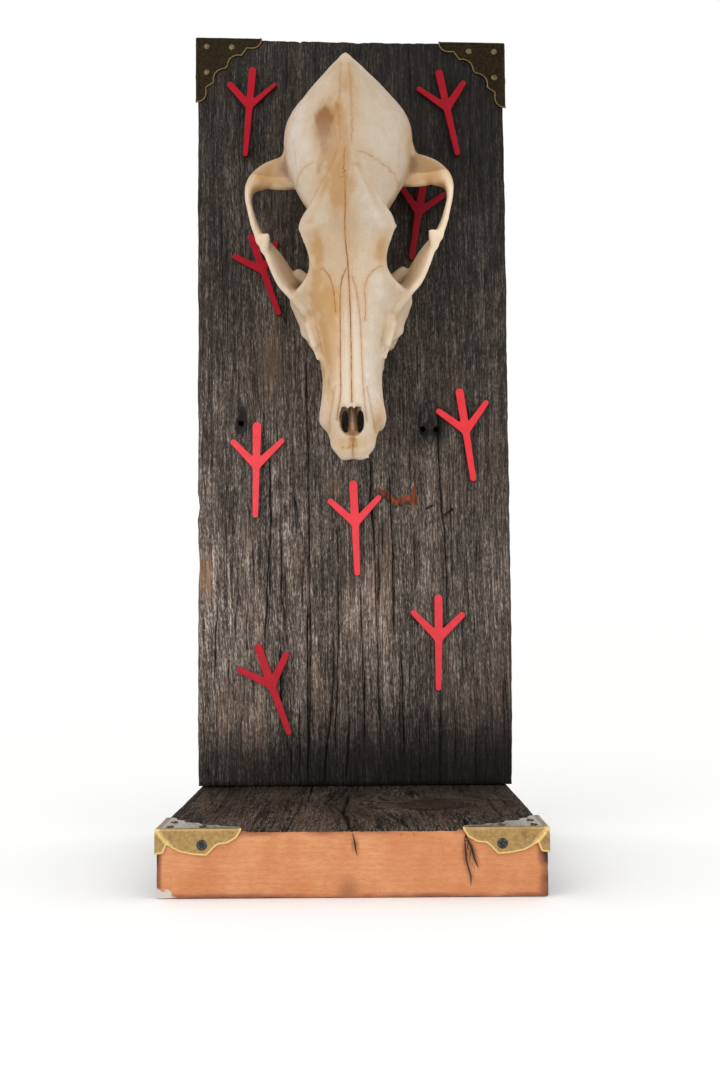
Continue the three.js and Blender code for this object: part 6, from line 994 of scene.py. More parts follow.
BOARD_CRACKS = json.loads('''[[1.0, [42.2, 211.3], [42.2, 194.0], [42.6, 172.6], [43.6, 159.8], [44.8, 151.3], [45.0, 140.6], [45.2, 127.4], [45.4, 105.6]], [0.6, [27.9, 201.5], [27.8, 194.1], [28.0, 180.8], [28.0, 168.0]], [0.6, [28.6, 161.6], [29.3, 148.8], [29.7, 138.1], [29.6, 125.3]], [0.9, [8.3, 209.0], [8.4, 194.2], [8.6, 178.2], [8.6, 166.6], [8.9, 156.8], [9.1, 147.0]], [0.75, [14.3, 163.1], [14.3, 146.1], [14.3, 132.7]], [0.95, [18.9, 149.8], [19.1, 130.2], [19.4, 111.2], [19.5, 96.1]], [0.9, [12.3, 141.1], [12.3, 124.9], [12.3, 111.2]], [0.35, [17.9, 176.4], [17.8, 167.5]], [0.35, [34.5, 157.6], [34.6, 147.3]], [0.4, [24.9, 223.8], [24.9, 194.1]], [0.95, [-40.5, 179.7], [-40.6, 165.0], [-40.2, 150.6]], [0.95, [-41.6, 145.3], [-41.5, 136.8], [-42.1, 127.5], [-42.3, 115.0], [-43.0, 105.8], [-43.0, 94.1]], [0.6, [-50.9, 162.6], [-50.8, 148.3]], [0.6, [-49.1, 147.3], [-48.8, 137.0], [-48.4, 119.9]], [0.6, [-61.9, 157.7], [-61.8, 132.7]], [0.9, [-29.4, 174.7], [-28.5, 158.6], [-27.6, 145.2]], [0.9, [-35.4, 150.2], [-35.1, 131.1], [-35.9, 118.1], [-34.3, 112.0], [-33.9, 96.5]], [0.9, [-36.0, 97.4], [-36.1, 83.8], [-36.0, 72.2], [-36.3, 53.8]], [0.55, [-57.0, 131.7], [-56.7, 115.1], [-57.7, 108.8], [-57.9, 92.2]], [0.6, [-52.3, 113.6], [-52.7, 102.6], [-52.3, 91.5], [-52.1, 83.9]], [0.55, [-66.9, 125.9], [-66.6, 108.9], [-67.9, 99.6], [-67.6, 76.3]], [0.7, [-61.3, 88.9], [-60.9, 66.6]], [0.5, [-53.4, 80.1], [-53.5, 69.9]], [1.0, [-22.6, 115.9], [-22.7, 91.5], [-23.0, 75.7], [-23.0, 60.0], [-22.8, 47.0], [-23.2, 25.3]], [0.95, [-10.1, 96.3], [-10.3, 86.1], [-10.6, 65.2], [-11.8, 59.0], [-12.9, 50.5], [-13.8, 39.0], [-14.9, 25.2]], [0.9, [-4.8, 84.6], [-4.9, 74.9]], [0.9, [-2.3, 61.3], [-2.9, 53.6], [-3.5, 41.0], [-4.6, 25.1]], [0.9, [4.9, 84.0], [4.8, 59.8], [4.2, 39.0]], [0.85, [11.5, 96.1], [11.4, 78.2], [11.4, 66.0], [11.6, 53.5]], [0.9, [-32.6, 51.9], [-32.4, 44.3], [-30.7, 42.2], [-31.2, 25.3]], [0.5, [-47.2, 43.3], [-47.4, 33.6]], [0.5, [-53.6, 84.4], [-53.9, 60.2], [-55.3, 54.9], [-55.7, 37.6]], [0.5, [-39.8, 44.7], [-40.0, 33.6]], [0.5, [-42.9, 71.3], [-43.1, 57.7]], [0.5, [-31.7, 395.6], [-31.6, 379.8], [-31.8, 362.5]], [0.55, [4.7, 395.9], [4.8, 384.7]], [0.6, [29.1, 395.8], [29.3, 384.6], [29.5, 371.9], [30.0, 360.2]], [0.4, [-31.9, 296.0], [-32.1, 269.0], [-32.3, 247.0]], [0.45, [-23.6, 226.1], [-22.9, 214.2], [-22.6, 200.3]], [0.35, [-49.8, 244.1], [-49.9, 223.3]], [0.35, [-41.4, 270.0], [-41.6, 251.5]], [0.35, [32.3, 252.6], [32.3, 238.7]], [0.4, [59.4, 354.0], [59.3, 323.7]], [0.35, [65.7, 298.5], [65.4, 263.4]], [0.4, [-64.0, 314.2], [-64.0, 283.1]], [0.35, [54.3, 248.5], [54.0, 223.7]], [0.45, [60.1, 154.5], [60.0, 122.6]], [0.4, [66.5, 115.3], [66.3, 71.5]], [0.5, [52.8, 115.4], [52.8, 71.6]], [0.55, [22.2, 71.8], [21.8, 47.6]], [0.5, [27.5, 91.2], [27.0, 66.9]], [0.6, [31.8, 61.1], [31.3, 24.9]], [0.6, [41.8, 64.4], [41.2, 24.8]], [0.45, [49.4, 66.7], [48.6, 32.9]], [0.5, [59.1, 58.9], [58.5, 24.7]], [0.4, [68.8, 56.9], [68.0, 30.4]], [0.4, [-69.0, 264.2], [-69.1, 234.3]], [0.45, [-72.0, 214.5], [-71.9, 179.9]], [0.35, [-57.2, 249.1], [-57.1, 221.8]], [0.45, [-65.7, 194.7], [-65.5, 165.1]], [0.5, [-26.5, 67.3], [-27.1, 25.3]], [0.4, [17.2, 57.3], [16.8, 33.2]], [0.45, [0.2, 135.3], [0.2, 110.8]], [0.45, [-15.4, 135.4], [-15.4, 110.0]], [0.5, [-7.8, 135.3], [-8.1, 96.3]], [0.4, [39.4, 349.0], [39.3, 318.7]], [0.35, [-25.5, 288.9], [-25.6, 272.9]], [0.35, [48.8, 293.6], [48.7, 263.5]], [0.35, [-59.4, 385.0], [-59.3, 354.6]], [0.4, [-74.1, 127.9], [-73.9, 121.1]], [0.8, [-23.0, 236.8], [-22.3, 215.6], [-22.0, 194.3], [-21.6, 154.4], [-21.4, 114.5], [-21.4, 74.6], [-21.9, 39.0]], [0.55, [-41.6, 196.9], [-41.3, 191.6], [-40.2, 167.7], [-40.5, 143.8], [-40.9, 114.5], [-41.6, 101.2]], [0.5, [-33.9, 138.4], [-32.9, 106.5], [-32.5, 87.9]], [0.6, [-29.6, 196.9], [-28.3, 167.7], [-26.7, 154.4], [-25.0, 146.4], [-24.7, 127.8], [-25.2, 106.5]], [0.4, [-16.3, 106.5], [-16.1, 74.6]], [0.7, [-9.3, 157.1], [-7.7, 146.4], [-7.3, 127.8], [-7.6, 101.2], [-8.3, 74.6], [-9.7, 39.0]], [0.6, [2.9, 127.8], [3.3, 114.5], [4.3, 74.6], [5.6, 39.0]], [0.65, [8.5, 186.3], [9.3, 162.4], [10.3, 146.4], [10.9, 114.5], [11.9, 74.6], [12.9, 39.0]], [0.6, [12.6, 162.4], [12.6, 138.4], [13.2, 121.2]], [0.7, [17.6, 181.0], [18.9, 146.4], [20.1, 127.8], [20.0, 106.5]], [0.9, [22.9, 95.9], [23.5, 74.6], [23.8, 39.0]], [0.45, [27.9, 162.4], [30.2, 141.1], [30.6, 121.2]], [0.5, [35.5, 68.0], [36.2, 39.0]], [0.45, [50.1, 81.3], [51.5, 39.0]], [0.45, [31.8, 247.5], [32.2, 220.9]], [0.6, [41.9, 72.6], [42.2, 39.0]], [0.35, [22.2, 154.4], [22.5, 114.5]], [0.35, [-3.0, 101.2], [-2.8, 48.0]], [0.35, [-36.9, 207.6], [-36.5, 162.4]], [0.35, [38.2, 181.0], [38.7, 141.1]], [0.35, [47.5, 173.0], [48.3, 123.8]]]''')
def hairlines(n, lo, hi, a, b, seed, smin_=0.10, smax=0.34):
    out = []
    rng = np.random.default_rng(seed)
    for k in range(n):
        x = rng.uniform(lo, hi); l = rng.uniform(a, b); ln = rng.uniform(10, 46); s = rng.uniform(smin_, smax)
        dx = rng.uniform(-0.5, 0.5)
        out.append([s, [x, l], [x + dx, min(l + ln, b)]])
    return out

def cut_holes(o, holes):
    """drills round holes (start, axis, radius, depth, sides) out of a finished piece"""
    V, Fc = [], []
    for st, ax, r, dep, n in holes:
        ax = Vector(ax).normalized(); u = ax.orthogonal().normalized(); w = ax.cross(u)
        base = len(V)
        for t in (-1.0, dep):
            for i in range(n):
                a = 2 * math.pi * i / n
                V.append(tuple((Vector(st) + ax * t + (u * math.cos(a) + w * math.sin(a)) * r) * MM))
        Fc += [(base + i, base + (i + 1) % n, base + n + (i + 1) % n, base + n + i) for i in range(n)]
        Fc += [tuple(base + i for i in reversed(range(n))), tuple(base + n + i for i in range(n))]
    me = bpy.data.meshes.new("cutter"); me.from_pydata(V, [], Fc); me.update()
    c = bpy.data.objects.new("cutter", me); bpy.context.scene.collection.objects.link(c)
    m = o.modifiers.new("cut", 'BOOLEAN'); m.operation = 'DIFFERENCE'; m.solver = 'EXACT'; m.object = c
    bpy.context.view_layer.update()
    dg = bpy.context.evaluated_depsgraph_get()
    new = bpy.data.meshes.new_from_object(o.evaluated_get(dg), preserve_all_data_layers=True, depsgraph=dg)
    old = o.data
    o.modifiers.clear(); o.data = new; new.name = old.name + "_cut"
    bpy.data.objects.remove(c); bpy.data.meshes.remove(me); bpy.data.meshes.remove(old)

def close_up(me):
    """fills any pinhole left in a closed skin and turns every face outward"""
    import bmesh
    bm = bmesh.new(); bm.from_mesh(me)
    gaps = [e for e in bm.edges if len(e.link_faces) == 1]
    if gaps:
        bmesh.ops.triangulate(bm, faces=bmesh.ops.holes_fill(bm, edges=gaps, sides=0)['faces'])
    bmesh.ops.recalc_face_normals(bm, faces=bm.faces[:])
    bm.to_mesh(me); bm.free(); me.update()

def old_wood(name, gain=1.0, spec=0.25):
    """weathered wood: streaks along the grain, cracks, stains; the worn end grain is a second look"""
    M = Mat(name)
    G = M.attr('gr', vec=True)
    tone, warm, cd, cw, hole, scar = (M.attr(k) for k in ('tone', 'warm', 'cd', 'cw', 'hole', 'scar'))
    s0 = M.noise(M.vm('MULTIPLY', G, (0.11, 0.012, 0.11)), 1, 4, 0.6)
    s1 = M.noise(M.vm('MULTIPLY', G, (0.75, 0.020, 0.5)), 1, 4, 0.65)
    s2 = M.noise(M.vm('MULTIPLY', G, (1.9, 0.11, 1.2)), 1, 3, 0.62)
    s3 = M.noise(M.vm('MULTIPLY', G, (2.5, 0.5, 1.9)), 1, 3, 0.62)
    sw = M.noise(M.vm('MULTIPLY', G, (0.24, 0.16, 0.24)), 1, 4, 0.6, 1.2)
    v = M.mad(M.sub(s1, 0.5), 1.15, 0.5)
    v = M.mad(M.sub(s0, 0.5), 0.7, v)
    v = M.mad(M.sub(s2, 0.5), 1.6, v)
    v = M.mad(M.sub(s3, 0.5), 1.8, v)
    v = M.mad(M.sub(sw, 0.5), 0.5, v)
    if gain != 1.0:
        v = M.mad(M.sub(v, 0.5), gain, 0.5)
    dk, md, lt, pl = (lin(30, 26, 23), lin(75, 67, 61), lin(116, 106, 98), lin(176, 165, 154))
    c = M.ramp(v, [(0.10, dk), (0.44, md), (0.72, lt), (1.0, pl)])
    fleck = M.mul(M.rng(M.noise(M.vm('MULTIPLY', G, (1.7, 0.55, 1.5)), 1, 2, 0.5), 0.67, 0.76), 0.42)
    c = M.mix(fleck, c, lin(190, 178, 164))
    w = M.mul(warm, M.rng(M.add(M.mul(s1, 0.5), M.mul(s0, 0.5)), 0.36, 0.62), clamp=True)
    c = M.mix(w, c, M.mix(s2, lin(80, 57, 42), lin(130, 98, 74)))
    # the tone attribute scales the colour; on the barn board it holds painted light and shade
    c = M.scale(c, tone)
    # torn fibres
    c = M.mix(M.mul(M.rng(scar, 0.1, 0.6), M.rng(s3, 0.2, 0.6, 0.65, 1.0)), c, M.mix(M.rng(s2, 0.35, 0.65), lin(96, 46, 28), lin(158, 84, 52)))
    c = M.mix(hole, c, lin(10, 8, 7))
    # cracks
    a = M.ab(cd)
    halo = M.mul(M.rng(M.sub(a, cw), 0.0, 1.1, 1, 0), M.rng(cw, 0.03, 0.3, 0, 0.55))
    c = M.mix(halo, c, lin(24, 20, 17))
    core = M.mul(M.rng(M.sub(a, cw), -0.06, 0.20, 1, 0), M.rng(cw, 0.015, 0.12))
    c = M.mix(M.mul(core, 0.96), c, lin(9, 8, 7))
    h = M.add(M.mul(s2, 0.9), M.mul(s3, 0.75)); h = M.add(h, M.mul(s1, 0.5))
    h = M.sub(h, M.mul(core, 1.1))
    M.set(Base_Color=c, Roughness=M.rng(v, 0.2, 0.9, 0.78, 0.92), Specular_IOR_Level=spec)
    M.set(Normal=M.bump(h, 0.85, 0.00055))
    return M

def sawn_end():
    """the cut front end of the shelf: warm, with darker rings and scorched edges"""
    M = Mat("sawn_end")
    P = M.vm('SCALE', M.pos(), None, 1000.0)
    x, y, z = M.sep(P)
    burn, cd, cw, chip = M.attr('burn'), M.attr('cd'), M.attr('cw'), M.attr('scar')
    n1 = M.noise(P, 0.05, 4, 0.6)
    wv = M.noise(M.comb(M.mul(x, 0.035), 0.0, M.mul(z, 0.16)), 1, 3, 0.5)
    rings = M.mth('SINE', M.mad(M.add(z, M.mul(wv, 9.0)), 2.3, M.mul(x, 0.045)))
    fine = M.noise(M.comb(M.mul(x, 0.35), 0.0, M.mul(z, 1.8)), 1, 3, 0.65)
    dots = M.noise(P, 1.1, 3, 0.6)
    c = M.mix(M.rng(n1, 0.35, 0.65), lin(206, 134, 86), lin(220, 156, 108))
    c = M.mix(M.mul(M.rng(rings, -0.6, 1.0), 0.14), c, lin(180, 106, 62))
    c = M.mix(M.rng(fine, 0.42, 0.7, 0, 0.4), c, lin(178, 108, 66))
    c = M.mix(M.rng(dots, 0.6, 0.78, 0, 0.16), c, lin(228, 170, 124))
    bb = M.add(burn, M.mul(M.sub(n1, 0.5), 0.35)); bb = M.add(bb, M.mul(M.sub(dots, 0.5), 0.12))
    c = M.mix(M.rng(bb, 0.18, 0.62, 0, 0.8), c, lin(138, 78, 52))
    c = M.mix(M.rng(bb, 0.55, 1.0, 0, 0.94), c, lin(48, 33, 27))
    a = M.ab(cd)
    halo = M.mul(M.rng(M.sub(a, cw), 0.0, 2.1, 1, 0), M.rng(cw, 0.02, 0.3, 0, 0.8))
    c = M.mix(halo, c, lin(96, 58, 40))
    core = M.mul(M.rng(M.sub(a, cw), -0.04, 0.22, 1, 0), M.rng(cw, 0.015, 0.12))
    c = M.mix(M.mul(core, 0.93), c, lin(30, 22, 19))
    c = M.mix(chip, c, lin(206, 198, 190))
    M.set(Base_Color=c, Roughness=M.rng(fine, 0.3, 0.7, 0.5, 0.66), Specular_IOR_Level=0.3)
    M.set(Normal=M.bump(M.sub(M.add(M.mul(fine, 0.6), M.mul(dots, 0.4)), core), 0.5, 0.0003))
    return M

def spaced(a, b, step, extra=()):
    """positions from a to b every step, and closer together inside the extra spans (lo, hi, step)"""
    out = [a]
    while out[-1] < b - 1e-6:
        s = step
        for lo, hi, st in extra:
            if lo - 0.5 <= out[-1] < hi:
                s = min(s, st)
        out.append(out[-1] + s)
    out = np.array(out); out = out[:-1] if b - out[-2] < 0.5 * step and len(out) > 2 else out
    out[-1] = b
    return out

def board_piece():
    q = 1.0
    W, Y0, Y1, Z0 = 76.2, 66.2, 91.6, 26.0
    rc = 1.1
    xf = spaced(-W + rc, W - rc, 0.5 * q)
    ys = spaced(Y0 + rc, Y1 - rc, 1.4 * min(q, 2))
    xb = spaced(-W + rc, W - rc, 2.6 * min(q, 2))
    arc = lambda cx, cy, a0, a1: [(cx + rc * math.cos(math.radians(a)), cy + rc * math.sin(math.radians(a)), math.cos(math.radians(a)), math.sin(math.radians(a))) for a in np.linspace(a0, a1, 5)[1:-1]]
    L = [(x, Y0, 0, -1) for x in xf] + arc(W - rc, Y0 + rc, -90, 0) + [(W, y, 1, 0) for y in ys] + arc(W - rc, Y1 - rc, 0, 90)
    L += [(x, Y1, 0, 1) for x in xb[::-1]] + arc(-W + rc, Y1 - rc, 90, 180) + [(-W, y, -1, 0) for y in ys[::-1]] + arc(-W + rc, Y0 + rc, 180, 270)
    L = np.array(L)
    t = spaced(26.0, 395.9, 2.7 * min(q, 2), [(157, 176, 0.75), (194.5, 207.5, 0.8)] if q == 1 else [])
    tt = (t - 26.0) / (395.9 - 26.0)
    X0 = np.repeat(L[None, :, 0], len(t), 0); Yb = np.repeat(L[None, :, 1], len(t), 0)
    NX = np.repeat(L[None, :, 2], len(t), 0); NY = np.repeat(L[None, :, 3], len(t), 0)
    ztop = 395.9 - (X0 + W) * (4.0 / 152.4)
    Z = 26.0 + tt[:, None] * (ztop - 26.0)
    T = np.repeat(t[:, None], L.shape[0], 1)
    sh = X0.shape
    X, Y = X0.copy(), Yb.copy()
    # sides: the sawn edges wander a little; kept in under the corner plates
    free = sstep(352, 338, T)
    rgt = np.interp(T, [26, 96, 138, 193, 248, 296, 340, 396], [0.1, 0.75, 0.65, 0.5, 0.3, 0.05, -0.1, -0.15])
    side = np.where(X0 > 0, rgt, -0.05)
    nz = 0.34 * fbm(T * 0.07, np.sign(X0) * 3.0, Y * 0.03, 3, 21) + 0.16 * fbm(T * 0.45, np.sign(X0) * 5.0, Y * 0.12, 2, 22) - 0.15
    gr_side = 0.16 * vnoise(Y * 0.9, T * 0.03, np.sign(X0), 23)
    chips = np.maximum(0, fbm(T * 0.055, Y * 0.06, np.sign(X0) * 9.0, 2, 31) - 0.42) * 2.4
    spl = 1.1 * np.exp(-((T - 133) / 6.5) ** 2) * (X0 < 0)
    ex = side + nz * (0.35 + 0.65 * free) - 0.2 * (1 - free) + gr_side - chips * free - spl * 0.7
    ex = np.minimum(ex, np.where(T > 345, -0.02, 1.5))
    X = X + np.sign(NX) * np.abs(NX) ** 0.5 * ex * (np.abs(NX) > 0)
    # the front columns nearest the edges follow it
    near = sstep(10.0, 0.0, W - np.abs(X0)) * (np.abs(NX) < 0.01)
    exf = side + (0.34 * fbm(T * 0.07, np.sign(X0) * 3.0, Y * 0.03, 3, 21) - 0.15) * (0.35 + 0.65 * free) - 0.2 * (1 - free)
    X = X + np.sign(X0) * near * np.minimum(exf, 1.5) * 0.9
    # grain coordinate: bends round the old nail holes and drifts
    drift = 2.4 * vnoise(X0 * 0.012, T * 0.006, 0, 41) + 0.9 * vnoise(X0 * 0.05, T * 0.014, 3, 42)
    gu = X0 + drift
    for hx, hz in ((-54.9, 203.0), (37.8, 199.4)):
        d2 = (X0 - hx) ** 2 + ((T - hz) * 0.45) ** 2
        gu = gu - 3.0 * np.tanh((X0 - hx) / 3.0) * np.exp(-d2 / 36.0)
    front = (NY < -0.5)
    back = (NY > 0.5)
    cracks = BOARD_CRACKS + hairlines(170, -75, 75, 30, 392, 77)
    D, Wd, S = crack_field(X0.ravel(), T.ravel(), cracks, 51)
    D, Wd, S = D.reshape(sh), Wd.reshape(sh), S.reshape(sh)
    fy = np.clip(-NY, 0, 1)
    ridge = 0.20 * (1 - np.abs(vnoise(gu * 0.55, T * 0.014, 1, 61))) + 0.16 * vnoise(gu * 1.1, T * 0.03, 2, 62) + 0.12 * fbm(gu * 0.5, T * 0.12, 5, 2, 63) + 0.26 * vnoise(gu * 0.06, T * 0.02, 7, 64)
    inn = 0.36 - 0.75 * ridge
    vv = np.clip(1 - np.abs(D) / (Wd + 0.42), 0, 1)
    inn = inn + (vv ** 0.8) * S * 1.9
    # torn band and its chip, with slanting ticks to the right of it
    band = np.array([[11.7, 168.6], [14.3, 170.2], [18, 166.8], [20, 164.6], [27, 166.2]])
    bz = np.interp(X0, band[:, 0], band[:, 1]) + 0.9 * vnoise(X0 * 1.1, 0, 0, 71)
    inb = (X0 > 11.2) & (X0 < 28.5)
    sc_ = np.where(inb, np.exp(-((T - bz) / 1.5) ** 2) * sstep(11.2, 13, X0), 0)
    lip = np.where(inb, np.exp(-((T - bz + 2.2) / 0.9) ** 2) * sstep(11.2, 13.5, X0), 0)
    ax_ = 31.0 - (174.2 - T) * 0.10
    hw = (174.2 - T) * 0.25
    tri = np.where((T < 174.2) & (T > 162.8), np.clip(1.2 - np.abs(X0 - (ax_ - 0.6)) / np.maximum(hw, 0.05), 0, 1), 0) * sstep(162.6, 164.2, T)
    tick = np.zeros(sh)
    for (xa, za, xb_, zb, st) in ((35.2, 161.0, 39.6, 163.2, 1.0), (44.2, 157.8, 49.4, 161.4, 1.0), (51.5, 158.5, 54.5, 160.5, 0.6), (56.0, 157.0, 60.0, 160.4, 0.5), (54, 154.6, 56.5, 156.0, 0.45), (40.5, 163.5, 42.5, 165.0, 0.5)):
        dx, dz = xb_ - xa, zb - za; ln = math.hypot(dx, dz)
        al = ((X0 - xa) * dx + (T - za) * dz) / ln
        pr = ((X0 - xa) * dz - (T - za) * dx) / ln
        tick = np.maximum(tick, st * np.exp(-(pr / 0.55) ** 2) * sstep(-0.3, 0.6, al) * sstep(ln + 0.3, ln - 0.8, al))
    inn = inn + 0.7 * sc_ + 1.5 * lip + 0.9 * tri + 1.3 * tick
    # old nail holes, ragged
    hole = np.zeros(sh)
    for hx, hz in ((-54.9, 203.0), (34.4, 199.5), (41.2, 199.4)):
        dd = np.hypot(X0 - hx, T - hz)
        an = np.arctan2(T - hz, X0 - hx)
        rr = 1.9 + 0.35 * vnoise(np.cos(an) * 1.6, np.sin(an) * 1.6, hx, 81)
        inn = inn + 0.9 * sstep(rr + 1.2, rr - 0.4, dd)
        st = 1.3 * np.exp(-((X0 - hx) / 4.2) ** 2 - (np.where(T > hz, T - hz, (hz - T) * 2.4) / 14.0) ** 2)
        hole = np.maximum(hole, np.maximum(sstep(rr + 0.9, rr - 0.5, dd), np.clip(st * (0.85 + 0.5 * vnoise(gu * 0.9, T * 0.12, 3, 82)), 0, 0.88)))
    inn = np.maximum(inn, 0.02)
    Y = Y + fy * inn * (Yb < 70)
    # back: sawn, flatter
    Y = Y - np.clip(NY, 0, 1) * (0.15 + 0.12 * fbm(X0 * 0.3, T * 0.02, 9, 2, 65)) * (Yb > 88)
    # nicks along the top
    topn = sstep(389.5, 395.9, T) * (0.30 * np.maximum(0, vnoise(X0 * 0.35, Yb * 0.2, 5, 91)) + 1.2 * np.exp(-((X0 - 4.0) / 2.6) ** 2) * 0.5 + 0.5 * np.exp(-((X0 + 25.0) / 0.8) ** 2) + 0.7 * S)
    under = (np.abs(X0) > 44) & (T > 380)
    Z = Z - np.where(under, 0, topn)
    rings = np.stack([X, Y, Z], -1)
    V, Q = ring_solid(rings, None, None)
    # macro brightness, painted light and shade over the board's own weathered tone: brightest low in the middle and
    # falling off up the board, very dark along the bottom by the shelf as painted shade, lighter at the bottom left,
    # darker towards the right and the upper right
    tone = np.interp(T, [26, 33, 42, 52, 64, 80, 100, 118, 140, 165, 190, 215, 245, 275, 305, 340, 370, 396], [.09, .11, .17, .48, .93, 1.33, 1.48, 1.38, 1.12, 1.0, .87, .72, .57, .49, .42, .345, .28, .25])
    tone = tone * np.interp(X0, [-76, -40, 0, 40, 76], [1.04, 1.12, 1.0, .82, .72]) * (1.0 + 0.16 * fbm(X0 * 0.03, T * 0.02, 3, 3, 95))
    tone = tone * (1 + sstep(130, 100, T) * np.interp(X0, [-76, -40, 0, 40, 76], [0.12, 0.05, 0, -.12, -.25])) * (1 + sstep(72, 50, T) * np.interp(X0, [-76, -50, -20, 76], [1.6, .9, 0, 0]))
    tone = tone * (1 - 0.42 * sstep(250, 330, T) * sstep(-30, 40, X0))
    pat = lambda cx, cz, rx, rz, a: a * np.exp(-((X0 - cx) / rx) ** 2 - ((T - cz) / rz) ** 2)
    tone = tone * (1 - pat(-12, 128, 13, 7, .34) - pat(-62, 162, 9, 10, .30) - pat(-46, 152, 8, 8, .22) - pat(-66, 48, 9, 9, .25) - pat(22, 52, 14, 10, .20) - pat(45, 128, 16, 16, .12)) * (1 + pat(-56, 140, 14, 9, .22) + pat(-45, 108, 16, 16, .20) + pat(-24, 148, 10, 12, .16) + pat(8, 118, 16, 16, .30))
    warm = 0.10 + pat(-40, 232, 9, 16, .7) + pat(-27, 134, 3, 10, .6) + pat(-30, 106, 5, 11, .45) + pat(-57, 148, 10, 6, .35) + pat(20, 200, 5, 13, .5) + pat(50, 173, 9, 9, .5) + pat(13, 128, 6, 14, .2) + pat(47, 221, 5, 12, .5) + pat(-60, 62, 10, 16, .4) + pat(12, 44, 10, 10, .3)
    warm = warm + pat(-8.8, 172, 3, 5, .8) + 0.45 * np.maximum(0, fbm(gu * 0.06, T * 0.016, 6, 3, 96))
    spl_w = np.exp(-((T - 128) / 9) ** 2) * (X0 < -70)
    warm = np.clip(warm + spl_w * 1.2, 0, 1)
    tone = tone * (1 + 0.5 * spl_w)
    tone = tone * (1 - 0.85 * np.exp(-(X0 / 9.5) ** 4 - ((T - 200.0) / 12.0) ** 4))     # the deep shadow under the snout
    onside = (np.abs(NX) > 0.7)
    tone = np.where(onside, tone * 0.8, tone)
    tone = np.where(back, 0.95, tone)
    tone = tone * (1 - 0.55 * np.clip(lip, 0, 1)) * (1 - 0.85 * np.clip(tick, 0, 1))
    GR = np.stack([gu + np.where(onside, 0, 0), T, Y], -1)
    GR[onside] = np.stack([Yb[onside] * 1.0 + np.sign(X0[onside]) * 40, T[onside], X[onside]], -1)
    at = {'tone': tone, 'warm': warm, 'cd': np.where(front, D, 9.0), 'cw': np.where(front, Wd, 0.0), 'hole': np.where(front, hole, 0), 'scar': np.where(front, np.clip(np.maximum(sc_, tri), 0, 1), 0)}
    at = {k: v.reshape(-1) for k, v in at.items()}; GR = GR.reshape(-1, 3)
    # ends
    step = 2.2 * min(q, 2)
    gx, gy = np.meshgrid(np.arange(-W + 1.6, W - 1.4, step), np.arange(Y0 + 1.6, Y1 - 1.4, step))
    gx, gy = gx.ravel(), gy.ravel()
    n = L.shape[0]; nv = len(V); F2 = []
    extra_v, extra_g, extra_t = [], [], []
    for end in (0, 1):
        row = 0 if end == 0 else len(t) - 1
        loop = rings[row, :, :2]
        tri_ = cap_tris(loop, np.stack([gx, gy], 1))
        zz = np.full(len(gx), 26.0) if end == 0 else 395.9 - (gx + W) * (4.0 / 152.4) - 0.15 - 0.25 * np.abs(vnoise(gx * 0.5, gy * 0.9, 3, 97)) * (np.abs(gx) < 44)
        base = nv + end * len(gx)
        extra_v.append(np.stack([gx, gy, zz], 1))
        for f in tri_:
            g = tuple(row * n + i if i < n else base + i - n for i in f)
            F2.append(g[::-1] if end == 0 else g)
    EV = np.concatenate(extra_v)
    V = np.concatenate([V, EV])
    k = len(EV)
    for nm, v0 in (('tone', 0.45), ('warm', 0.2), ('cd', 9.0), ('cw', 0), ('hole', 0), ('scar', 0)):
        at[nm] = np.concatenate([at[nm], np.full(k, v0)])
    GR = np.concatenate([GR, np.stack([EV[:, 0], EV[:, 2], EV[:, 1] * 3], 1)])
    at['gr'] = GR
    faces = [tuple(int(i) for i in f) for f in Q] + F2
    M = old_wood("barn_board")
    o = mesh_piece("barn_board_piece", V, faces, [M.m], True, at, node="board")
    holes = [((hx, 65.6, hz), (0, 1, 0), 1.45, 9.6, 14) for hx, hz in ((-54.9, 203.0), (34.4, 199.5), (41.2, 199.4))]
    for s_, z_ in ((104, 17), (157, 13.6)):
        p = to_part([0, s_, z_])
        holes.append(((p[0], 92.6, p[2]), (0, -1, 0), 4.6, 5.2, 40))
        holes.append(((p[0], 92.6, p[2]), (0, -1, 0), 2.2, 29.0, 24))
    for x_ in (-48, 48):
        holes.append(((x_, 78.9, 25.0), (0, 0, 1), 2.2, 40.0, 24))
    cut_holes(o, holes)
    return o

SHELF_CRACKS = [[1.0, [-2.4, 26.6], [-4.1, -15.0], [-4.1, -36.0], [-0.8, -85.7], [-0.4, -90.3]],
    [1.0, [17.2, -37.4], [19.4, -57.0], [21.0, -80.0], [22.6, -90.3]],
    [1.15, [44.2, -48.9], [44.9, -70.8], [43.2, -90.3]], [0.45, [60.0, -60.0], [59.2, 20.0]], [0.4, [-40.0, -80.0], [-38.0, 0.0]], [0.5, [-58.0, -40.0], [-58.6, 50.0]], [0.4, [-20.0, 0.0], [-21.0, 60.0]], [0.45, [66.0, -20.0], [65.4, 50.0]]]
FRONT_CRACKS = [[0.8, [-0.4, 25.9], [0.9, 20.0], [1.5, 15.0]], [0.9, [22.8, 25.9], [23.2, 24.6], [24.0, 21.6]], [0.45, [18.2, 25.9], [18.4, 21.9]],
    [0.85, [42.6, 23.4], [43.4, 13.4], [44.9, 7.7], [44.4, 3.6]], [1.15, [43.1, 25.9], [43.5, 22.6], [45.1, 19.0], [46.3, 13.9], [47.9, 10.3]], [0.3, [10.0, 1.0], [10.4, 4.6]], [0.3, [-30.0, 25.9], [-29.5, 21.0]], [0.35, [-56.0, 0.2], [-55.5, 5.0]]]

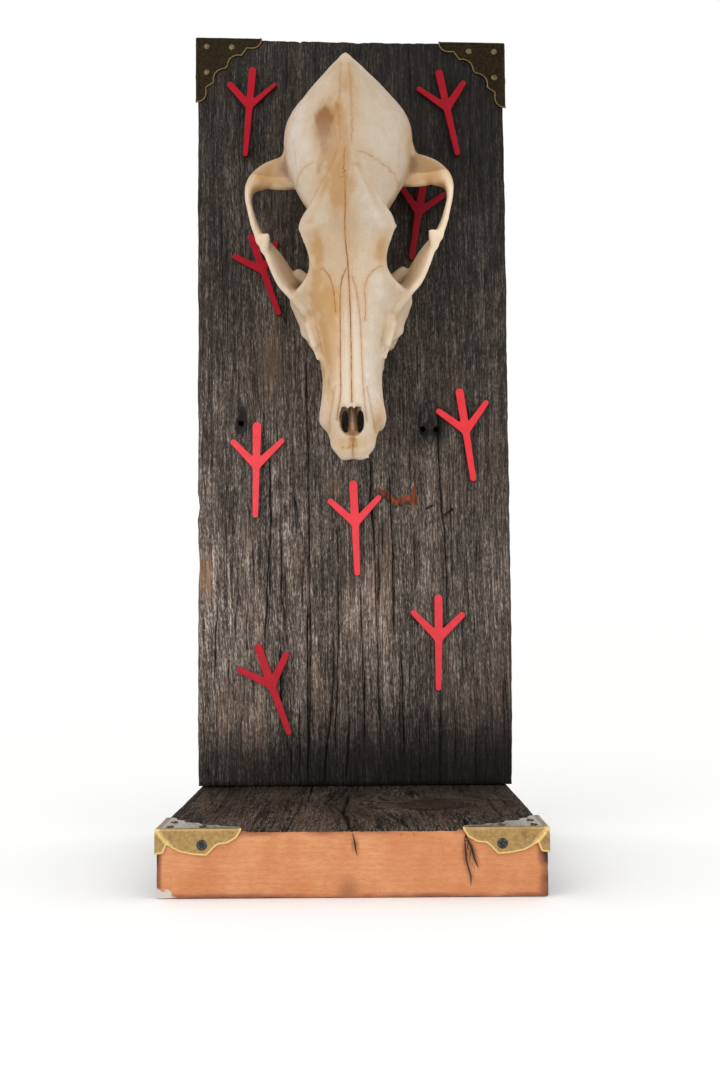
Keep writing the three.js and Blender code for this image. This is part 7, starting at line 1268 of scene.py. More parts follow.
def shelf_piece():
    q = 1.0
    XL, XR, Y0, Y1, H = -74.8, 74.2, -90.1, 91.6, 25.7
    rc = 0.9
    xt = spaced(XL + rc, XR - rc, 0.55 * q)
    zs = spaced(rc, H - rc, 1.3 * min(q, 2))
    xb = spaced(XL + rc, XR - rc, 2.4 * min(q, 2))
    ca = lambda a: math.cos(math.radians(a)); sa = lambda a: math.sin(math.radians(a))
    arc = lambda cx, cz, a0, a1: [(cx + rc * ca(a), cz + rc * sa(a), ca(a), sa(a)) for a in np.linspace(a0, a1, 5)[1:-1]]
    # loop seen from the front, clockwise: top left to right, down, bottom back, up
    L = [(x, H, 0, 1) for x in xt] + arc(XR - rc, H - rc, 90, 0) + [(XR, z, 1, 0) for z in zs[::-1]] + arc(XR - rc, rc, 0, -90)
    L += [(x, 0.0, 0, -1) for x in xb[::-1]] + arc(XL + rc, rc, -90, -180) + [(XL, z, -1, 0) for z in zs] + arc(XL + rc, H - rc, 180, 90)
    L = np.array(L)
    yy = spaced(Y0, Y1, 2.2 * min(q, 2), [(-36, 20, 1.0), (-90.1, -84, 1.0)] if q == 1 else [])
    X0 = np.repeat(L[None, :, 0], len(yy), 0); Zb = np.repeat(L[None, :, 1], len(yy), 0)
    NX = np.repeat(L[None, :, 2], len(yy), 0); NZ = np.repeat(L[None, :, 3], len(yy), 0)
    Y = np.repeat(yy[:, None], L.shape[0], 1)
    sh = X0.shape
    top = NZ > 0.5; bot = NZ < -0.5; sd = np.abs(NX) > 0.7
    # sides swell a little clear of the corner plates
    sw_ = 0.65 * np.exp(-((Y + 38) / 22) ** 2) * (X0 < 0) * sstep(-58, -48, Y) + 0.30 * sstep(-30, 20, Y) * (X0 < 0)
    nz = 0.22 * fbm(Y * 0.06, np.sign(X0) * 3, Zb * 0.05, 3, 121) + 0.12 * vnoise(Zb * 0.9, Y * 0.04, np.sign(X0), 122)
    ex = sw_ + (nz - 0.2) * (0.4 + 0.6 * sstep(-60, -45, Y))
    ex = np.where(Y < -55, np.minimum(ex, -0.02), ex)
    X = X0 + np.sign(NX) * np.sqrt(np.abs(NX)) * ex
    # grain: straight but for a long knot lying across it, with rings beside it
    kx, ky, ka, kb = 36.3, -8.0, 19.0, 11.5
    u = X0 - kx; v = Y - ky
    gu = X0 + 1.6 * vnoise(X0 * 0.02, Y * 0.008, 0, 131)
    env = np.exp(-(u / 34.0) ** 2 - (v / 40.0) ** 2)
    sx, sy = 13.3, -5.4
    r2 = np.hypot((X0 - sx) / 1.0, (Y - sy) / 1.9)
    swirl = np.exp(-(r2 / 15.0) ** 2)
    gu = gu * (1 - swirl) + (r2 * 1.5) * swirl
    gk = np.hypot(u / ka, v / kb)
    around = np.exp(-((gk - 1.0) / 0.9) ** 2) * (gk > 0.9)
    gu = gu * (1 - 0.75 * around) + (gk * 14.0) * 0.75 * around
    # knot lens: its own outline, front and back edges, pointed ends
    lx = np.clip((X0 - 18.6) / (54.4 - 18.6), 0, 1)
    inx = (X0 > 18.6) & (X0 < 54.4)
    prof = np.sin(np.pi * lx) ** 0.75
    skew = np.interp(X0, [18.6, 28, 40, 54.4], [0.0, 1.0, 0.55, 0.0])
    yf = -13.2 - 15.0 * np.sin(np.pi * lx ** 0.72) ** 0.95 + 0.6 * vnoise(X0 * 0.3, 1, 0, 141)
    yb = -13.2 + 23.0 * np.sin(np.pi * lx ** 0.75) ** 1.25 + 0.6 * vnoise(X0 * 0.25, 2, 0, 142)
    inside = inx & (Y > yf) & (Y < yb)
    df = np.where(inx, Y - yf, 99.0); db = np.where(inx, Y - yb, 99.0)
    wf = 2.9 * np.sin(np.pi * lx) ** 0.5 * (0.8 + 0.4 * vnoise(X0 * 0.3, 5, 0, 143)) * np.interp(X0, [18, 22, 28, 36, 46, 55], [.4, 1.0, 1.7, .9, .5, .2])
    wb = 1.5 * np.sin(np.pi * lx) ** 0.5 * (0.8 + 0.5 * vnoise(X0 * 0.3, 6, 0, 144))
    kcr = np.maximum(np.clip(1.25 - np.abs(df) / np.maximum(wf, 0.2), 0, 1), 0.75 * np.clip(1.25 - np.abs(db) / np.maximum(wb, 0.2), 0, 1)) * inx
    cracks = SHELF_CRACKS + hairlines(60, -73, 73, -88, 62, 177, 0.1, 0.3)
    D, Wd, S = crack_field(X0.ravel(), Y.ravel(), cracks, 151)
    D, Wd, S = D.reshape(sh), Wd.reshape(sh), S.reshape(sh)
    ridge = 0.16 * (1 - np.abs(vnoise(gu * 0.5, Y * 0.015, 1, 161))) + 0.14 * vnoise(gu * 1.0, Y * 0.03, 2, 162) + 0.14 * fbm(X0 * 0.35, Y * 0.16, 5, 3, 163)
    inn = 0.30 - 0.75 * ridge + np.clip(1 - np.abs(D) / (Wd + 0.5), 0, 1) ** 0.8 * S * 2.2 + kcr * 2.6
    inn = inn - 0.12 * inside * 1.0
    inn = np.maximum(inn, 0.02)
    dz = np.clip(NZ, 0, 1) * inn * (Zb > 20)
    # the front arris is worn round; the underside edge is slightly wavy
    fe = sstep(-86.6, -90.1, Y)
    plate = (X0 < -40.5) | (X0 > 39.8)
    wear = np.where(plate, 0.0, 0.55)
    dz = dz + np.clip(NZ, 0, 1) * fe ** 2 * wear * (Zb > 20)
    ub = 0.35 * vnoise(X0 * 0.12, 3, Y * 0.02, 171) + 0.25 * vnoise(X0 * 0.5, 5, 0, 172)
    chip = (X0 < -70.5) & (Zb < 5) & (Y < -86)
    Z = Zb - dz + np.clip(-NZ, 0, 1) * (0.18 + 0.5 * np.maximum(0, ub)) * (Zb < 5)
    rings = np.stack([X, Y, Z], -1)
    V, Q = ring_solid(rings, None, None)
    Q = Q[:, ::-1]
    tone = np.interp(Y, [-90, -80, -60, -20, 30, 60, 91], [.46, .50, .44, .37, .31, .24, .18]) * (1 + 0.34 * fbm(X0 * 0.05, Y * 0.03, 3, 3, 181) + 0.30 * fbm(gu * 0.16, Y * 0.012, 3, 2, 183))
    tone = tone * (1 - 0.18 * inside) * (1 - 0.35 * sstep(0.5, 1.0, np.cos(r2 * 1.9)) * swirl)
    tone = np.where(bot, 1.05, tone); tone = np.where(sd, 0.75 * tone + 0.1, tone)
    warm = np.clip(0.70 + 0.3 * inside + 0.4 * np.maximum(0, fbm(gu * 0.06, Y * 0.02, 6, 3, 182)), 0, 1)
    scar = np.zeros(sh)
    GR = np.stack([gu, Y, Z], -1)
    GR[sd] = np.stack([Zb[sd] + np.sign(X0[sd]) * 40, Y[sd], X[sd]], -1)
    kn = inside & top
    rk = np.hypot((X0[kn] - 33.0) * 0.8, (Y[kn] + 8.0) * 0.75)
    GR[kn] = np.stack([rk * 2.2, X0[kn] * 0.6, Z[kn]], -1)
    hole = np.where(top, np.clip(kcr, 0, 1) * 0.97, 0)
    nv = len(V); n = L.shape[0]
    at = {'tone': tone, 'warm': warm, 'cd': np.where(top, D, 9.0), 'cw': np.where(top, Wd, 0.0), 'hole': hole, 'scar': scar, 'burn': np.zeros(sh)}
    at = {k_: v_.reshape(-1) for k_, v_ in at.items()}; GR = GR.reshape(-1, 3)
    # ends: a denser net of points at the front, which shows
    F2, mi, EVs, ats = [], [], [], {k_: [] for k_ in at}
    base = nv
    for end in (0, 1):
        st = (0.8 if end == 0 else 2.4) * min(q, 3)
        gx, gz = np.meshgrid(np.arange(XL + 1.3, XR - 1.1, st), np.arange(1.5, H - 1.4, st)); gx, gz = gx.ravel(), gz.ravel()
        row = 0 if end == 0 else len(yy) - 1
        lp = rings[row]
        P2 = np.concatenate([lp[:, [0, 2]], np.stack([gx, gz], 1)])
        tri_ = cap_tris(lp[:, [0, 2]], np.stack([gx, gz], 1))
        yv = np.full(len(P2), lp[0, 1])
        if end == 0:
            Dc, Wc, Sc = crack_field(P2[:, 0], P2[:, 1], [[c_[0] * 0.8] + c_[1:] for c_ in FRONT_CRACKS], 191)
            Wc = Wc * 2.3
            # wedge cracks that run out through the edge keep their width there
            dep = np.clip(1 - np.abs(Dc) / (Wc + 0.55), 0, 1) ** 0.8 * Sc * 1.6
            ed = np.minimum.reduce([P2[:, 0] - XL, XR - P2[:, 0], P2[:, 1], H - P2[:, 1]])
            inner = np.ones(len(P2)); inner[:n] = 0
            yv = yv + inner * (0.06 + 0.10 * np.abs(fbm(P2[:, 0] * 0.5, P2[:, 1] * 1.4, 2, 2, 192)) + dep) * sstep(0, 2.2, ed)
            bl = sstep(3.6, 0.0, P2[:, 0] - XL); br = sstep(7.0, 0.0, XR - P2[:, 0]); bb = sstep(3.6, 0.0, P2[:, 1]) * 0.95; bt = sstep(5.0, 0.0, H - P2[:, 1]) * 0.62
            nb = 0.75 + 0.5 * fbm(P2[:, 0] * 0.09, P2[:, 1] * 0.2, 4, 3, 193)
            burn = np.clip(np.maximum.reduce([bl * 1.0, br, bb, bt]) * nb, 0, 1)
            burn = np.maximum(burn, 0.5 * np.exp(-((P2[:, 0] + 2.0) / 7.0) ** 2) * sstep(20, 0, P2[:, 1]))
            cz = P2[:, 1] + 0.35 * (P2[:, 0] + 71.0)
            chp = ((cz < 2.9 + 0.8 * vnoise(P2[:, 0] * 0.9, P2[:, 1] * 0.9, 0, 194)) & (P2[:, 0] < -69.0)).astype(float)
            vals = {'tone': 1.0, 'warm': 0.0, 'cd': Dc, 'cw': Wc, 'hole': 0.0, 'scar': chp, 'burn': burn}
            for k_, v_ in (('burn', burn), ('scar', chp)):
                at[k_][:n] = v_[:n]
            for k_, v_ in (('cd', Dc), ('cw', Wc)):
                at[k_][:n] = np.where(top[0], at[k_][:n], v_[:n])
        else:
            yv[n:] -= 0.12
            vals = {'tone': 0.5, 'warm': 0.2, 'cd': 9.0, 'cw': 0.0, 'hole': 0.0, 'scar': 0.0, 'burn': 0.0}
        EV = np.stack([P2[:, 0], yv, P2[:, 1]], 1)[n:]
        EVs.append(EV)
        for k_ in at:
            ats[k_].append(np.broadcast_to(np.asarray(vals[k_], float), (len(P2),))[n:])
        for f in tri_:
            g = tuple(row * n + i if i < n else base + i - n for i in f)
            F2.append(g if end == 0 else g[::-1]); mi.append(1 if end == 0 else 0)
        base += len(EV)
    V = np.concatenate([V] + EVs)
    for k_ in at:
        at[k_] = np.concatenate([at[k_]] + ats[k_])
    ga = np.concatenate(EVs)
    at['gr'] = np.concatenate([GR, np.stack([ga[:, 0], ga[:, 2] * 2, ga[:, 1]], 1)])
    faces = [tuple(int(i) for i in f) for f in Q] + F2
    mi = [0] * len(Q) + mi
    top_m, end_m = old_wood("shelf_wood", 2.1, 0.04), sawn_end()
    o = mesh_piece("shelf_wood_piece", V, faces, [top_m.m, end_m.m], True, at, node="shelf", mat_index=mi)
    # every face outward, so the bores get their walls; then a crisp arris round both ends
    me = o.data
    close_up(me)
    ev = np.empty(len(me.edges) * 2, np.int32); me.edges.foreach_get('vertices', ev); ev = ev.reshape(-1, 2)
    last = (len(yy) - 1) * n
    sharp = ((ev < n).all(1)) | (((ev >= last) & (ev < last + n)).all(1))
    at_ = me.attributes.get('sharp_edge') or me.attributes.new('sharp_edge', 'BOOLEAN', 'EDGE')
    at_.data.foreach_set('value', sharp)
    cut_holes(o, [((x_, 78.9, -1.0), (0, 0, 1), r_, d_, k_) for x_ in (-48, 48) for r_, d_, k_ in ((4.6, 5.2, 40), (2.2, 30.0, 24))])
    return o

board_piece()
shelf_piece()
for o_ in list(bpy.context.scene.objects):
    if o_.name.startswith('molar_1_'):
        close_up(o_.data)

# ------------------------------------------------------------------ corner plates, pins and screws
FACE = [[0,0],[32.4,0],[32.1,1.9],[30.6,3.8],[28.7,4.7],[26.8,4.8],[24.9,4.7],[22.2,8.6],[20,8.4],[18.1,9],[16.5,10.3],[15.6,12.2],[15.3,14],[14,15.3],[12.2,15.6],[10.3,16.5],[9,18.1],[8.4,20],[8.6,22.2],[4.7,24.9],[4.8,26.8],[4.7,28.7],[3.8,30.6],[1.9,32.1],[0,32.4]]
FLAP = [[0,0],[32.4,0],[30.5,3],[27,5],[23.5,5.4],[22,6.6],[19.1,9.6],[14,9.2],[8.8,8.1],[5.3,6.3],[3.9,5.4],[2.6,8.6],[0,9]]
FACE_OUT = [[-9,-9],[32.4,-9]] + FACE[1:] + [[-9,32.4]]
FLAP_OUT = [[-9,-9],[32.4,-9]] + FLAP[1:] + [[-9,9]]
NAILS = [(4.7, 4.1), (17.2, 4.2), (4.7, 17.2)]
_e = np.array([152.4, 0, -4.0]); _e /= np.linalg.norm(_e)
CORNERS = {
    "corner_top_left": ((-76.2, 66.2, 395.9), _e, (0, 0, -1), (0, -1, 0)),
    "corner_top_right": ((76.2, 66.2, 391.9), -_e, (0, 0, -1), (0, -1, 0)),
    "corner_shelf_left": ((-74.8, -90.1, 25.7), (1, 0, 0), (0, 1, 0), (0, 0, 1)),
    "corner_shelf_right": ((74.2, -90.1, 25.7), (-1, 0, 0), (0, 1, 0), (0, 0, 1)),
}

def poly_dist(U, W, poly):
    """signed distance to an outline, negative inside"""
    P = np.array(poly, float); n = len(P)
    best = np.full(U.shape, 1e9); inside = np.zeros(U.shape, bool)
    for i in range(n):
        a, b = P[i], P[(i + 1) % n]; e = b - a
        t = np.clip(((U - a[0]) * e[0] + (W - a[1]) * e[1]) / max(e @ e, 1e-12), 0, 1)
        best = np.minimum(best, (U - a[0] - t * e[0]) ** 2 + (W - a[1] - t * e[1]) ** 2)
        if a[1] != b[1]:
            c = ((a[1] > W) != (b[1] > W)) & (U < (b[0] - a[0]) * (W - a[1]) / (b[1] - a[1]) + a[0])
            inside ^= c
    d = np.sqrt(best)
    return np.where(inside, -d, d)

def corner_material():
    M = Mat("antique_brass")
    P = M.vm('SCALE', M.pos(), None, 1000.0)
    rim, gold, worn = M.attr('rim'), M.attr('gold'), M.attr('worn')
    n1 = M.noise(P, 0.16, 4, 0.6); n2 = M.noise(P, 0.8, 4, 0.65); n3 = M.noise(P, 3.2, 2, 0.6)
    dark = M.mix(M.rng(n2, 0.35, 0.68), lin(34, 28, 20), lin(52, 43, 29))
    dark = M.mix(M.rng(n1, 0.5, 0.75, 0, 0.45), dark, lin(32, 27, 22))
    c = M.mix(M.rng(M.add(M.mul(rim, 0.9), M.mul(n2, 0.3)), 0.66, 1.1), dark, lin(142, 122, 78))
    bright = M.mix(M.rng(n2, 0.3, 0.7), lin(160, 128, 82), lin(190, 158, 104))
    bright = M.mix(M.rng(M.add(n1, M.mul(M.sub(n3, 0.5), 0.5)), 0.58, 0.78, 0, 0.55), bright, lin(112, 90, 58))
    bright = M.mix(M.rng(rim, 0.35, 0.9, 0, 0.9), bright, lin(242, 214, 140))
    # the shelf corners take the bright brass, partly their own brushed finish and partly painted light; the top corners
    # stay dark, partly as painted shade
    c = M.mix(gold, c, bright)
    c = M.mix(M.mul(worn, M.rng(n2, 0.35, 0.6)), c, lin(206, 204, 200))
    rough = M.rng(M.add(n2, M.mul(n3, 0.3)), 0.3, 0.9, 0.26, 0.52)
    M.set(Base_Color=c, Metallic=1.0, Roughness=rough)
    M.set(Normal=M.bump(M.add(M.mul(n2, 0.7), M.mul(n3, 0.35)), 0.35, 0.00025))
    return M

def metal(name, a, b, rough=(0.28, 0.45), scale=0.9):
    M = Mat(name)
    P = M.vm('SCALE', M.pos(), None, 1000.0)
    n = M.noise(P, scale, 4, 0.65)
    M.set(Base_Color=M.mix(M.rng(n, 0.35, 0.68), a, b), Metallic=1.0, Roughness=M.rng(n, 0.3, 0.7, *rough))
    M.set(Normal=M.bump(n, 0.25, 0.0002))
    return M

def frame_of(axis):
    ax = np.array(axis, float); ax /= np.linalg.norm(ax)
    u = np.cross(ax, (0, 0, 1) if abs(ax[2]) < 0.9 else (1, 0, 0)); u /= np.linalg.norm(u)
    return u, np.cross(ax, u), ax

def lathe(name, node, mat, origin, axis, prof, seg=32, cross=None, wob=0.0, thread=None):
    """a turned piece: profile of (radius, height) up the axis; cross = (arm half width, arm length, depth) of a driver recess"""
    u, v, w = frame_of(axis); o = np.array(origin, float)
    prof = list(prof); V, Fc = [], []
    for k, (r, hgt) in enumerate(prof):
        for i in range(seg):
            a = 2 * math.pi * i / seg
            rr, hh = r, hgt
            if thread and thread[0] < hgt < thread[1]:
                ph = ((hgt - thread[0]) / thread[2] + i / seg) % 1.0
                rr = r * (1 + thread[3] * (1 - 2 * abs(2 * ph - 1) ** 0.8) * 0.5)
            if cross and k and hgt > cross[3]:
                x_, y_ = abs(rr * math.cos(a)), abs(rr * math.sin(a))
                m = min(max(x_ - cross[1], y_ - cross[0]), max(y_ - cross[1], x_ - cross[0]))
                hh -= cross[2] * float(sstep(0.12, -0.12, np.array(m)))
            V.append(o + (u * math.cos(a) + v * math.sin(a)) * rr + w * hh)
    for k in range(len(prof) - 1):
        for i in range(seg):
            j = (i + 1) % seg
            Fc.append((k * seg + i, k * seg + j, (k + 1) * seg + j, (k + 1) * seg + i))
    V.append(o + w * prof[0][1]); V.append(o + w * (prof[-1][1] - (cross[2] if cross else 0)))
    b, t = len(V) - 2, len(V) - 1
    for i in range(seg):
        j = (i + 1) % seg
        Fc.append((b, j, i)); Fc.append((t, (len(prof) - 1) * seg + i, (len(prof) - 1) * seg + j))
    ob = mesh_piece(name, np.array(V), Fc, [mat], True, node=node)
    return ob

def corner_pieces():
    brass = corner_material()
    pin = metal("brass_pin", lin(84, 72, 50), lin(128, 112, 80), (0.22, 0.36))
    scr = metal("dark_screw", lin(62, 62, 64), lin(96, 95, 94), (0.3, 0.5))
    h = 0.3
    for ci, (name, (P, a, b, n)) in enumerate(CORNERS.items()):
        P, a, b, n = [np.array(q, float) for q in (P, a, b, n)]
        shelf = 'shelf' in name
        lo = np.array([-2.1, -2.1, -10.8]); hi = np.array([34.5, 34.5, 2.1])
        N = np.ceil((hi - lo) / h).astype(int) + 1
        u, v, w = np.meshgrid(*[lo[i] + h * np.arange(N[i]) for i in range(3)], indexing='ij')
        u_, v_, s_ = np.maximum(u, 0), np.maximum(v, 0), np.maximum(-w, 0)
        ou, ov, ow = np.maximum(-u, 0), np.maximum(-v, 0), np.maximum(w, 0)
        d = np.sqrt(ou ** 2 + ov ** 2 + ow ** 2)
        inw = np.minimum(np.minimum(u, v), -w)
        d = np.where((u > 0) & (v > 0) & (w < 0), -inw, d)
        # plan outlines are the same on every layer, so they are measured once
        g1 = poly_dist(u_[:, :, 0], v_[:, :, 0], FACE_OUT)[:, :, None] + 0 * w
        g2 = poly_dist(u_[:, 0, :], s_[:, 0, :], FLAP_OUT)[:, None, :] + 0 * w
        g3 = poly_dist(v_[0, :, :], s_[0, :, :], FLAP_OUT)[None, :, :] + 0 * w
        # where the wood point lies on the face only the face outline counts, and so on
        onface = (ow > 0); onA = (ov > 0); onB = (ou > 0)
        big = -20.0
        g = np.maximum.reduce([np.where(s_ < 1e-9, g1, big), np.where(v_ < 1e-9, g2, big), np.where(u_ < 1e-9, g3, big)])
        g = np.where((s_ > 0) & (v_ > 0) & (u_ > 0), 5.0, g)
        near = np.minimum.reduce([np.where(onface & (s_ < 1e-9), -g1, 99), np.where(onA & (v_ < 1e-9), -g2, 99), np.where(onB & (u_ < 1e-9), -g3, 99)])
        bead = 0.20 * np.exp(-((near - 0.55) / 0.42) ** 2)
        e_out = 0.85 + bead
        # pressed line just inside the folds, and small dents
        fold = np.where(onface, np.minimum(u_, v_), 9.0)
        e_out = e_out - 0.10 * np.exp(-((fold - 1.7) / 0.35) ** 2)
        e_out = e_out + 0.05 * fbm(u * 0.16, v * 0.16, w * 0.2 + ci * 9, 2, 201)
        # the folded seam on the upright corner edge, with its lips and small hole
        for al, dn, on in ((u_, s_, onA), (v_, s_, onB)):
            t = (al * 0.65 + dn * 0.76); across = al * 0.76 - dn * 0.65 - 0.15
            m = on & (t > 1.4) & (t < 8.2)
            e_out = e_out - np.where(m, 0.34 * np.exp(-(across / 0.32) ** 2), 0) + np.where(m, 0.30 * np.exp(-((np.abs(across) - 0.95) / 0.38) ** 2) * sstep(1.4, 3.0, t) * sstep(8.2, 6.8, t), 0)
            e_out = e_out - np.where(on, 0.5 * np.exp(-(((al - 4.7) ** 2 + (dn - 3.2) ** 2) / 0.45)), 0)
        f = np.maximum(d - e_out, 0.27 - d)
        k = 0.22
        hh = np.clip(0.5 + 0.5 * (f - g) / k, 0, 1)
        f = g * (1 - hh) + f * hh + k * hh * (1 - hh)
        for pu, pv in NAILS:
            f = np.maximum(f, 0.86 - np.hypot(u - pu, v - pv) + np.where(w < -0.1, 9 * np.minimum(w + 0.1, 0), 0))
        f = np.maximum(f, np.where(v < 0.2, 1.22 - np.hypot(u - 17.3, w + 5.4), -9))
        f = np.maximum(f, np.where(u < 0.2, 1.22 - np.hypot(v - 17.3, w + 5.4), -9))
        V, Q = surface_nets(f.astype(f32), lo, h)
        V, Q = largest(V, Q)
        V = relax(V, Q, 2, 0.5)
        vu, vv, vw = V.T
        q1, q2, q3 = np.maximum(vu, 0), np.maximum(vv, 0), np.maximum(-vw, 0)
        of, oa, ob_ = (vw > 0.15) & (vu > -0.3) & (vv > -0.3), vv < -0.15, vu < -0.15
        G1, G2, G3 = poly_dist(q1, q2, FACE_OUT), poly_dist(q1, q3, FLAP_OUT), poly_dist(q2, q3, FLAP_OUT)
        nr = np.where(of, -G1, np.where(oa & (q3 > 0), -G2, np.where(ob_ & (q3 > 0), -G3, -G1)))
        rim = np.exp(-((nr - 0.4) / 0.5) ** 2)
        edge = np.where(of, np.minimum(q1, q2), np.where(oa | ob_, q3, 9))
        rim = np.maximum(rim * (1.0 if shelf else 0.95), (0.62 if not shelf else 0.5) * np.exp(-(edge / 0.45) ** 2))
        gold = np.full(len(V), 0.0)
        worn = np.zeros(len(V))
        if shelf:
            # bright brass on the shelf corners: their own brushed finish and painted light together
            gold = np.where(of, 0.42, 0.96)
            worn = np.where(of, 0.75, 0.0) * sstep(1.0, 2.5, edge)
            prong = np.where(oa | ob_, np.exp(-(((np.where(oa, q1, q2) * 0.76 - q3 * 0.65 - 0.15)) / 1.5) ** 2), 0) * (q3 < 8) * (np.where(oa, q1, q2) < 6.5)
            rim = np.maximum(rim, prong * 0.8)
        W = P + vu[:, None] * a + vv[:, None] * b + vw[:, None] * n
        if np.dot(np.cross(a, b), n) < 0:
            Q = Q[:, ::-1]
        mesh_piece(name + "_plate", W, Q, [brass.m], True, {'rim': rim, 'gold': gold, 'worn': worn}, node=name)
        e = 0.85
        dome = [(0.28, -3.9), (0.75, -3.0), (0.75, 0.12), (1.42, 0.12), (1.52, 0.2), (1.48, 0.30), (1.34, 0.43), (1.1, 0.55), (0.8, 0.63), (0.4, 0.69)]
        for i, (pu, pv) in enumerate(NAILS):
            lathe(f"{name}_pin_{i + 1}", f"{name}_nail_{i + 1}", pin.m, P + pu * a + pv * b + e * n, n, dome, 28)
        head = [(0.25, -12.0), (0.7, -10.4)] + [(1.02, -9.0 + 0.24 * j) for j in range(37)] + [(1.1, 0.10), (1.98, 0.12), (2.06, 0.2), (2.02, 0.3), (1.86, 0.44), (1.62, 0.53), (1.4, 0.57), (1.15, 0.6), (0.9, 0.62), (0.7, 0.635), (0.5, 0.645), (0.3, 0.65), (0.14, 0.65)]
        for i, (p, ax) in enumerate(((P + 17.3 * a - 5.4 * n, -b), (P + 17.3 * b - 5.4 * n, -a))):
            lathe(f"{name}_head_{i + 1}", f"{name}_screw_{i + 1}", scr.m, p + ax * e, ax, head, 32, (0.30, 1.25, 0.55, 0.5), thread=(-9.0, -0.6, 1.3, 0.16))
    # long screws: countersunk heads with a cross recess, threads up to the smooth neck
    steel = metal("long_screw", lin(70, 70, 72), lin(120, 118, 114), (0.28, 0.48))
    def long_screw(nm, node, o, ax, L):
        th = [(1.66, -L + 5 + 0.42 * j) for j in range(int((L - 22) / 0.42))]
        pr = [(0.35, -L), (0.9, -L + 2.6)] + th + [(1.62, -15.5), (1.9, -14.9), (1.9, -2.6), (2.5, -2.0), (3.3, -1.2), (3.95, -0.55), (4.1, -0.42), (4.1, -0.1), (4.02, -0.03), (3.6, 0), (3.0, 0), (2.5, 0), (2.1, 0), (1.8, 0), (1.5, 0), (1.2, 0), (0.9, 0), (0.6, 0), (0.3, 0)]
        lathe(nm, node, steel.m, o, ax, pr, 28, (0.5, 2.1, 1.5, -0.02), thread=(-L + 4.9, -16.0, 2.2, 0.22))
    for i, (s_, z_) in enumerate(((104, 17), (157, 13.6))):
        p = to_part([0, s_, z_])
        long_screw(f"skull_long_screw_{i + 1}", f"skull_screw_{i + 1}", np.array([p[0], 91.6 - 1.2, p[2]]), (0, 1, 0), 91.6 - 1.2 - p[1])
    for i, x_ in enumerate((-48, 48)):
        long_screw(f"shelf_long_screw_{i + 1}", f"shelf_screw_{i + 1}", np.array([x_, 78.9, 1.2]), (0, 0, -1), 62)
corner_pieces()

# ------------------------------------------------------------------ painted tracks
TRACKS = json.loads('''[[[-50.15,360.72],[-48.53,378.73],[-59.68,371.67],[-37.46,371.64],[-52.18,336.64],[1.73,1.84,1.87,1.57,1.68,0.93,1.73,1.29]],[[47.75,359.12],[44.09,376.63],[33.97,368.78],[55.93,371.45],[52.68,336.44],[1.7,1.95,1.85,1.22,2.01,1.46,1.72,1.42]],[[33.25,306.84],[36.28,324.68],[24.91,319.21],[45.73,315.35],[29.49,284.51],[1.85,1.9,1.9,1.41,1.9,1.31,1.75,1.41]],[[-43.54,278.23],[-49.16,294.68],[-57.34,285.19],[-37.45,291.62],[-36.16,257.12],[1.79,1.85,1.98,1.41,1.44,1.38,1.68,1.4]],[[-47.22,181.65],[-46.83,200.99],[-58.43,193.25],[-34.59,193.83],[-47.79,157.43],[1.8,2.18,2.0,1.49,2.05,1.32,1.79,1.39]],[[55.44,197.99],[52.56,217.0],[42.29,207.71],[65.4,211.76],[58.71,174.65],[1.87,2.02,1.96,1.44,1.98,1.35,1.75,1.47]],[[0.92,153.08],[0.1,172.2],[-11.09,163.89],[12.48,165.5],[1.74,128.83],[2.01,1.98,1.96,1.47,1.98,1.34,1.82,1.42]],[[41.09,96.78],[41.19,116.18],[28.93,109.34],[52.56,108.0],[40.82,72.77],[1.94,1.97,2.07,1.38,2.03,1.53,1.89,1.37]],[[-40.09,74.53],[-46.53,92.92],[-55.59,82.11],[-33.11,89.14],[-31.87,51.79],[2.02,1.94,2.07,1.41,2.01,1.58,1.86,1.41]]]''')
# red of each cut-out; the four upper ones and the lowest left one are given darker reds as painted shade, where less
# light falls
TINT_WITH_PAINTED_SHADE = [(166, 14, 32), (150, 11, 28), (128, 8, 24), (164, 16, 36), (238, 74, 80), (228, 58, 65), (236, 70, 77), (231, 66, 74), (188, 38, 50)]

def track_value(T, X, Z):
    J, mid, lt, rt, st, w = [np.array(q, float) for q in T]
    f = None
    for tip, wi in ((mid, (w[0], w[1])), (lt, (w[2], w[3])), (rt, (w[4], w[5])), (st, (w[6], w[7]))):
        e = tip - J; L = np.linalg.norm(e); e = e / L
        L2 = L
        t = np.clip(((X - J[0]) * e[0] + (Z - J[1]) * e[1]) / L2, 0, 1)
        d = np.hypot(X - J[0] - t * L2 * e[0], Z - J[1] - t * L2 * e[1]) - (wi[0] + (wi[1] - wi[0]) * t)
        f = d if f is None else smin(f, d, 0.5)
    return f

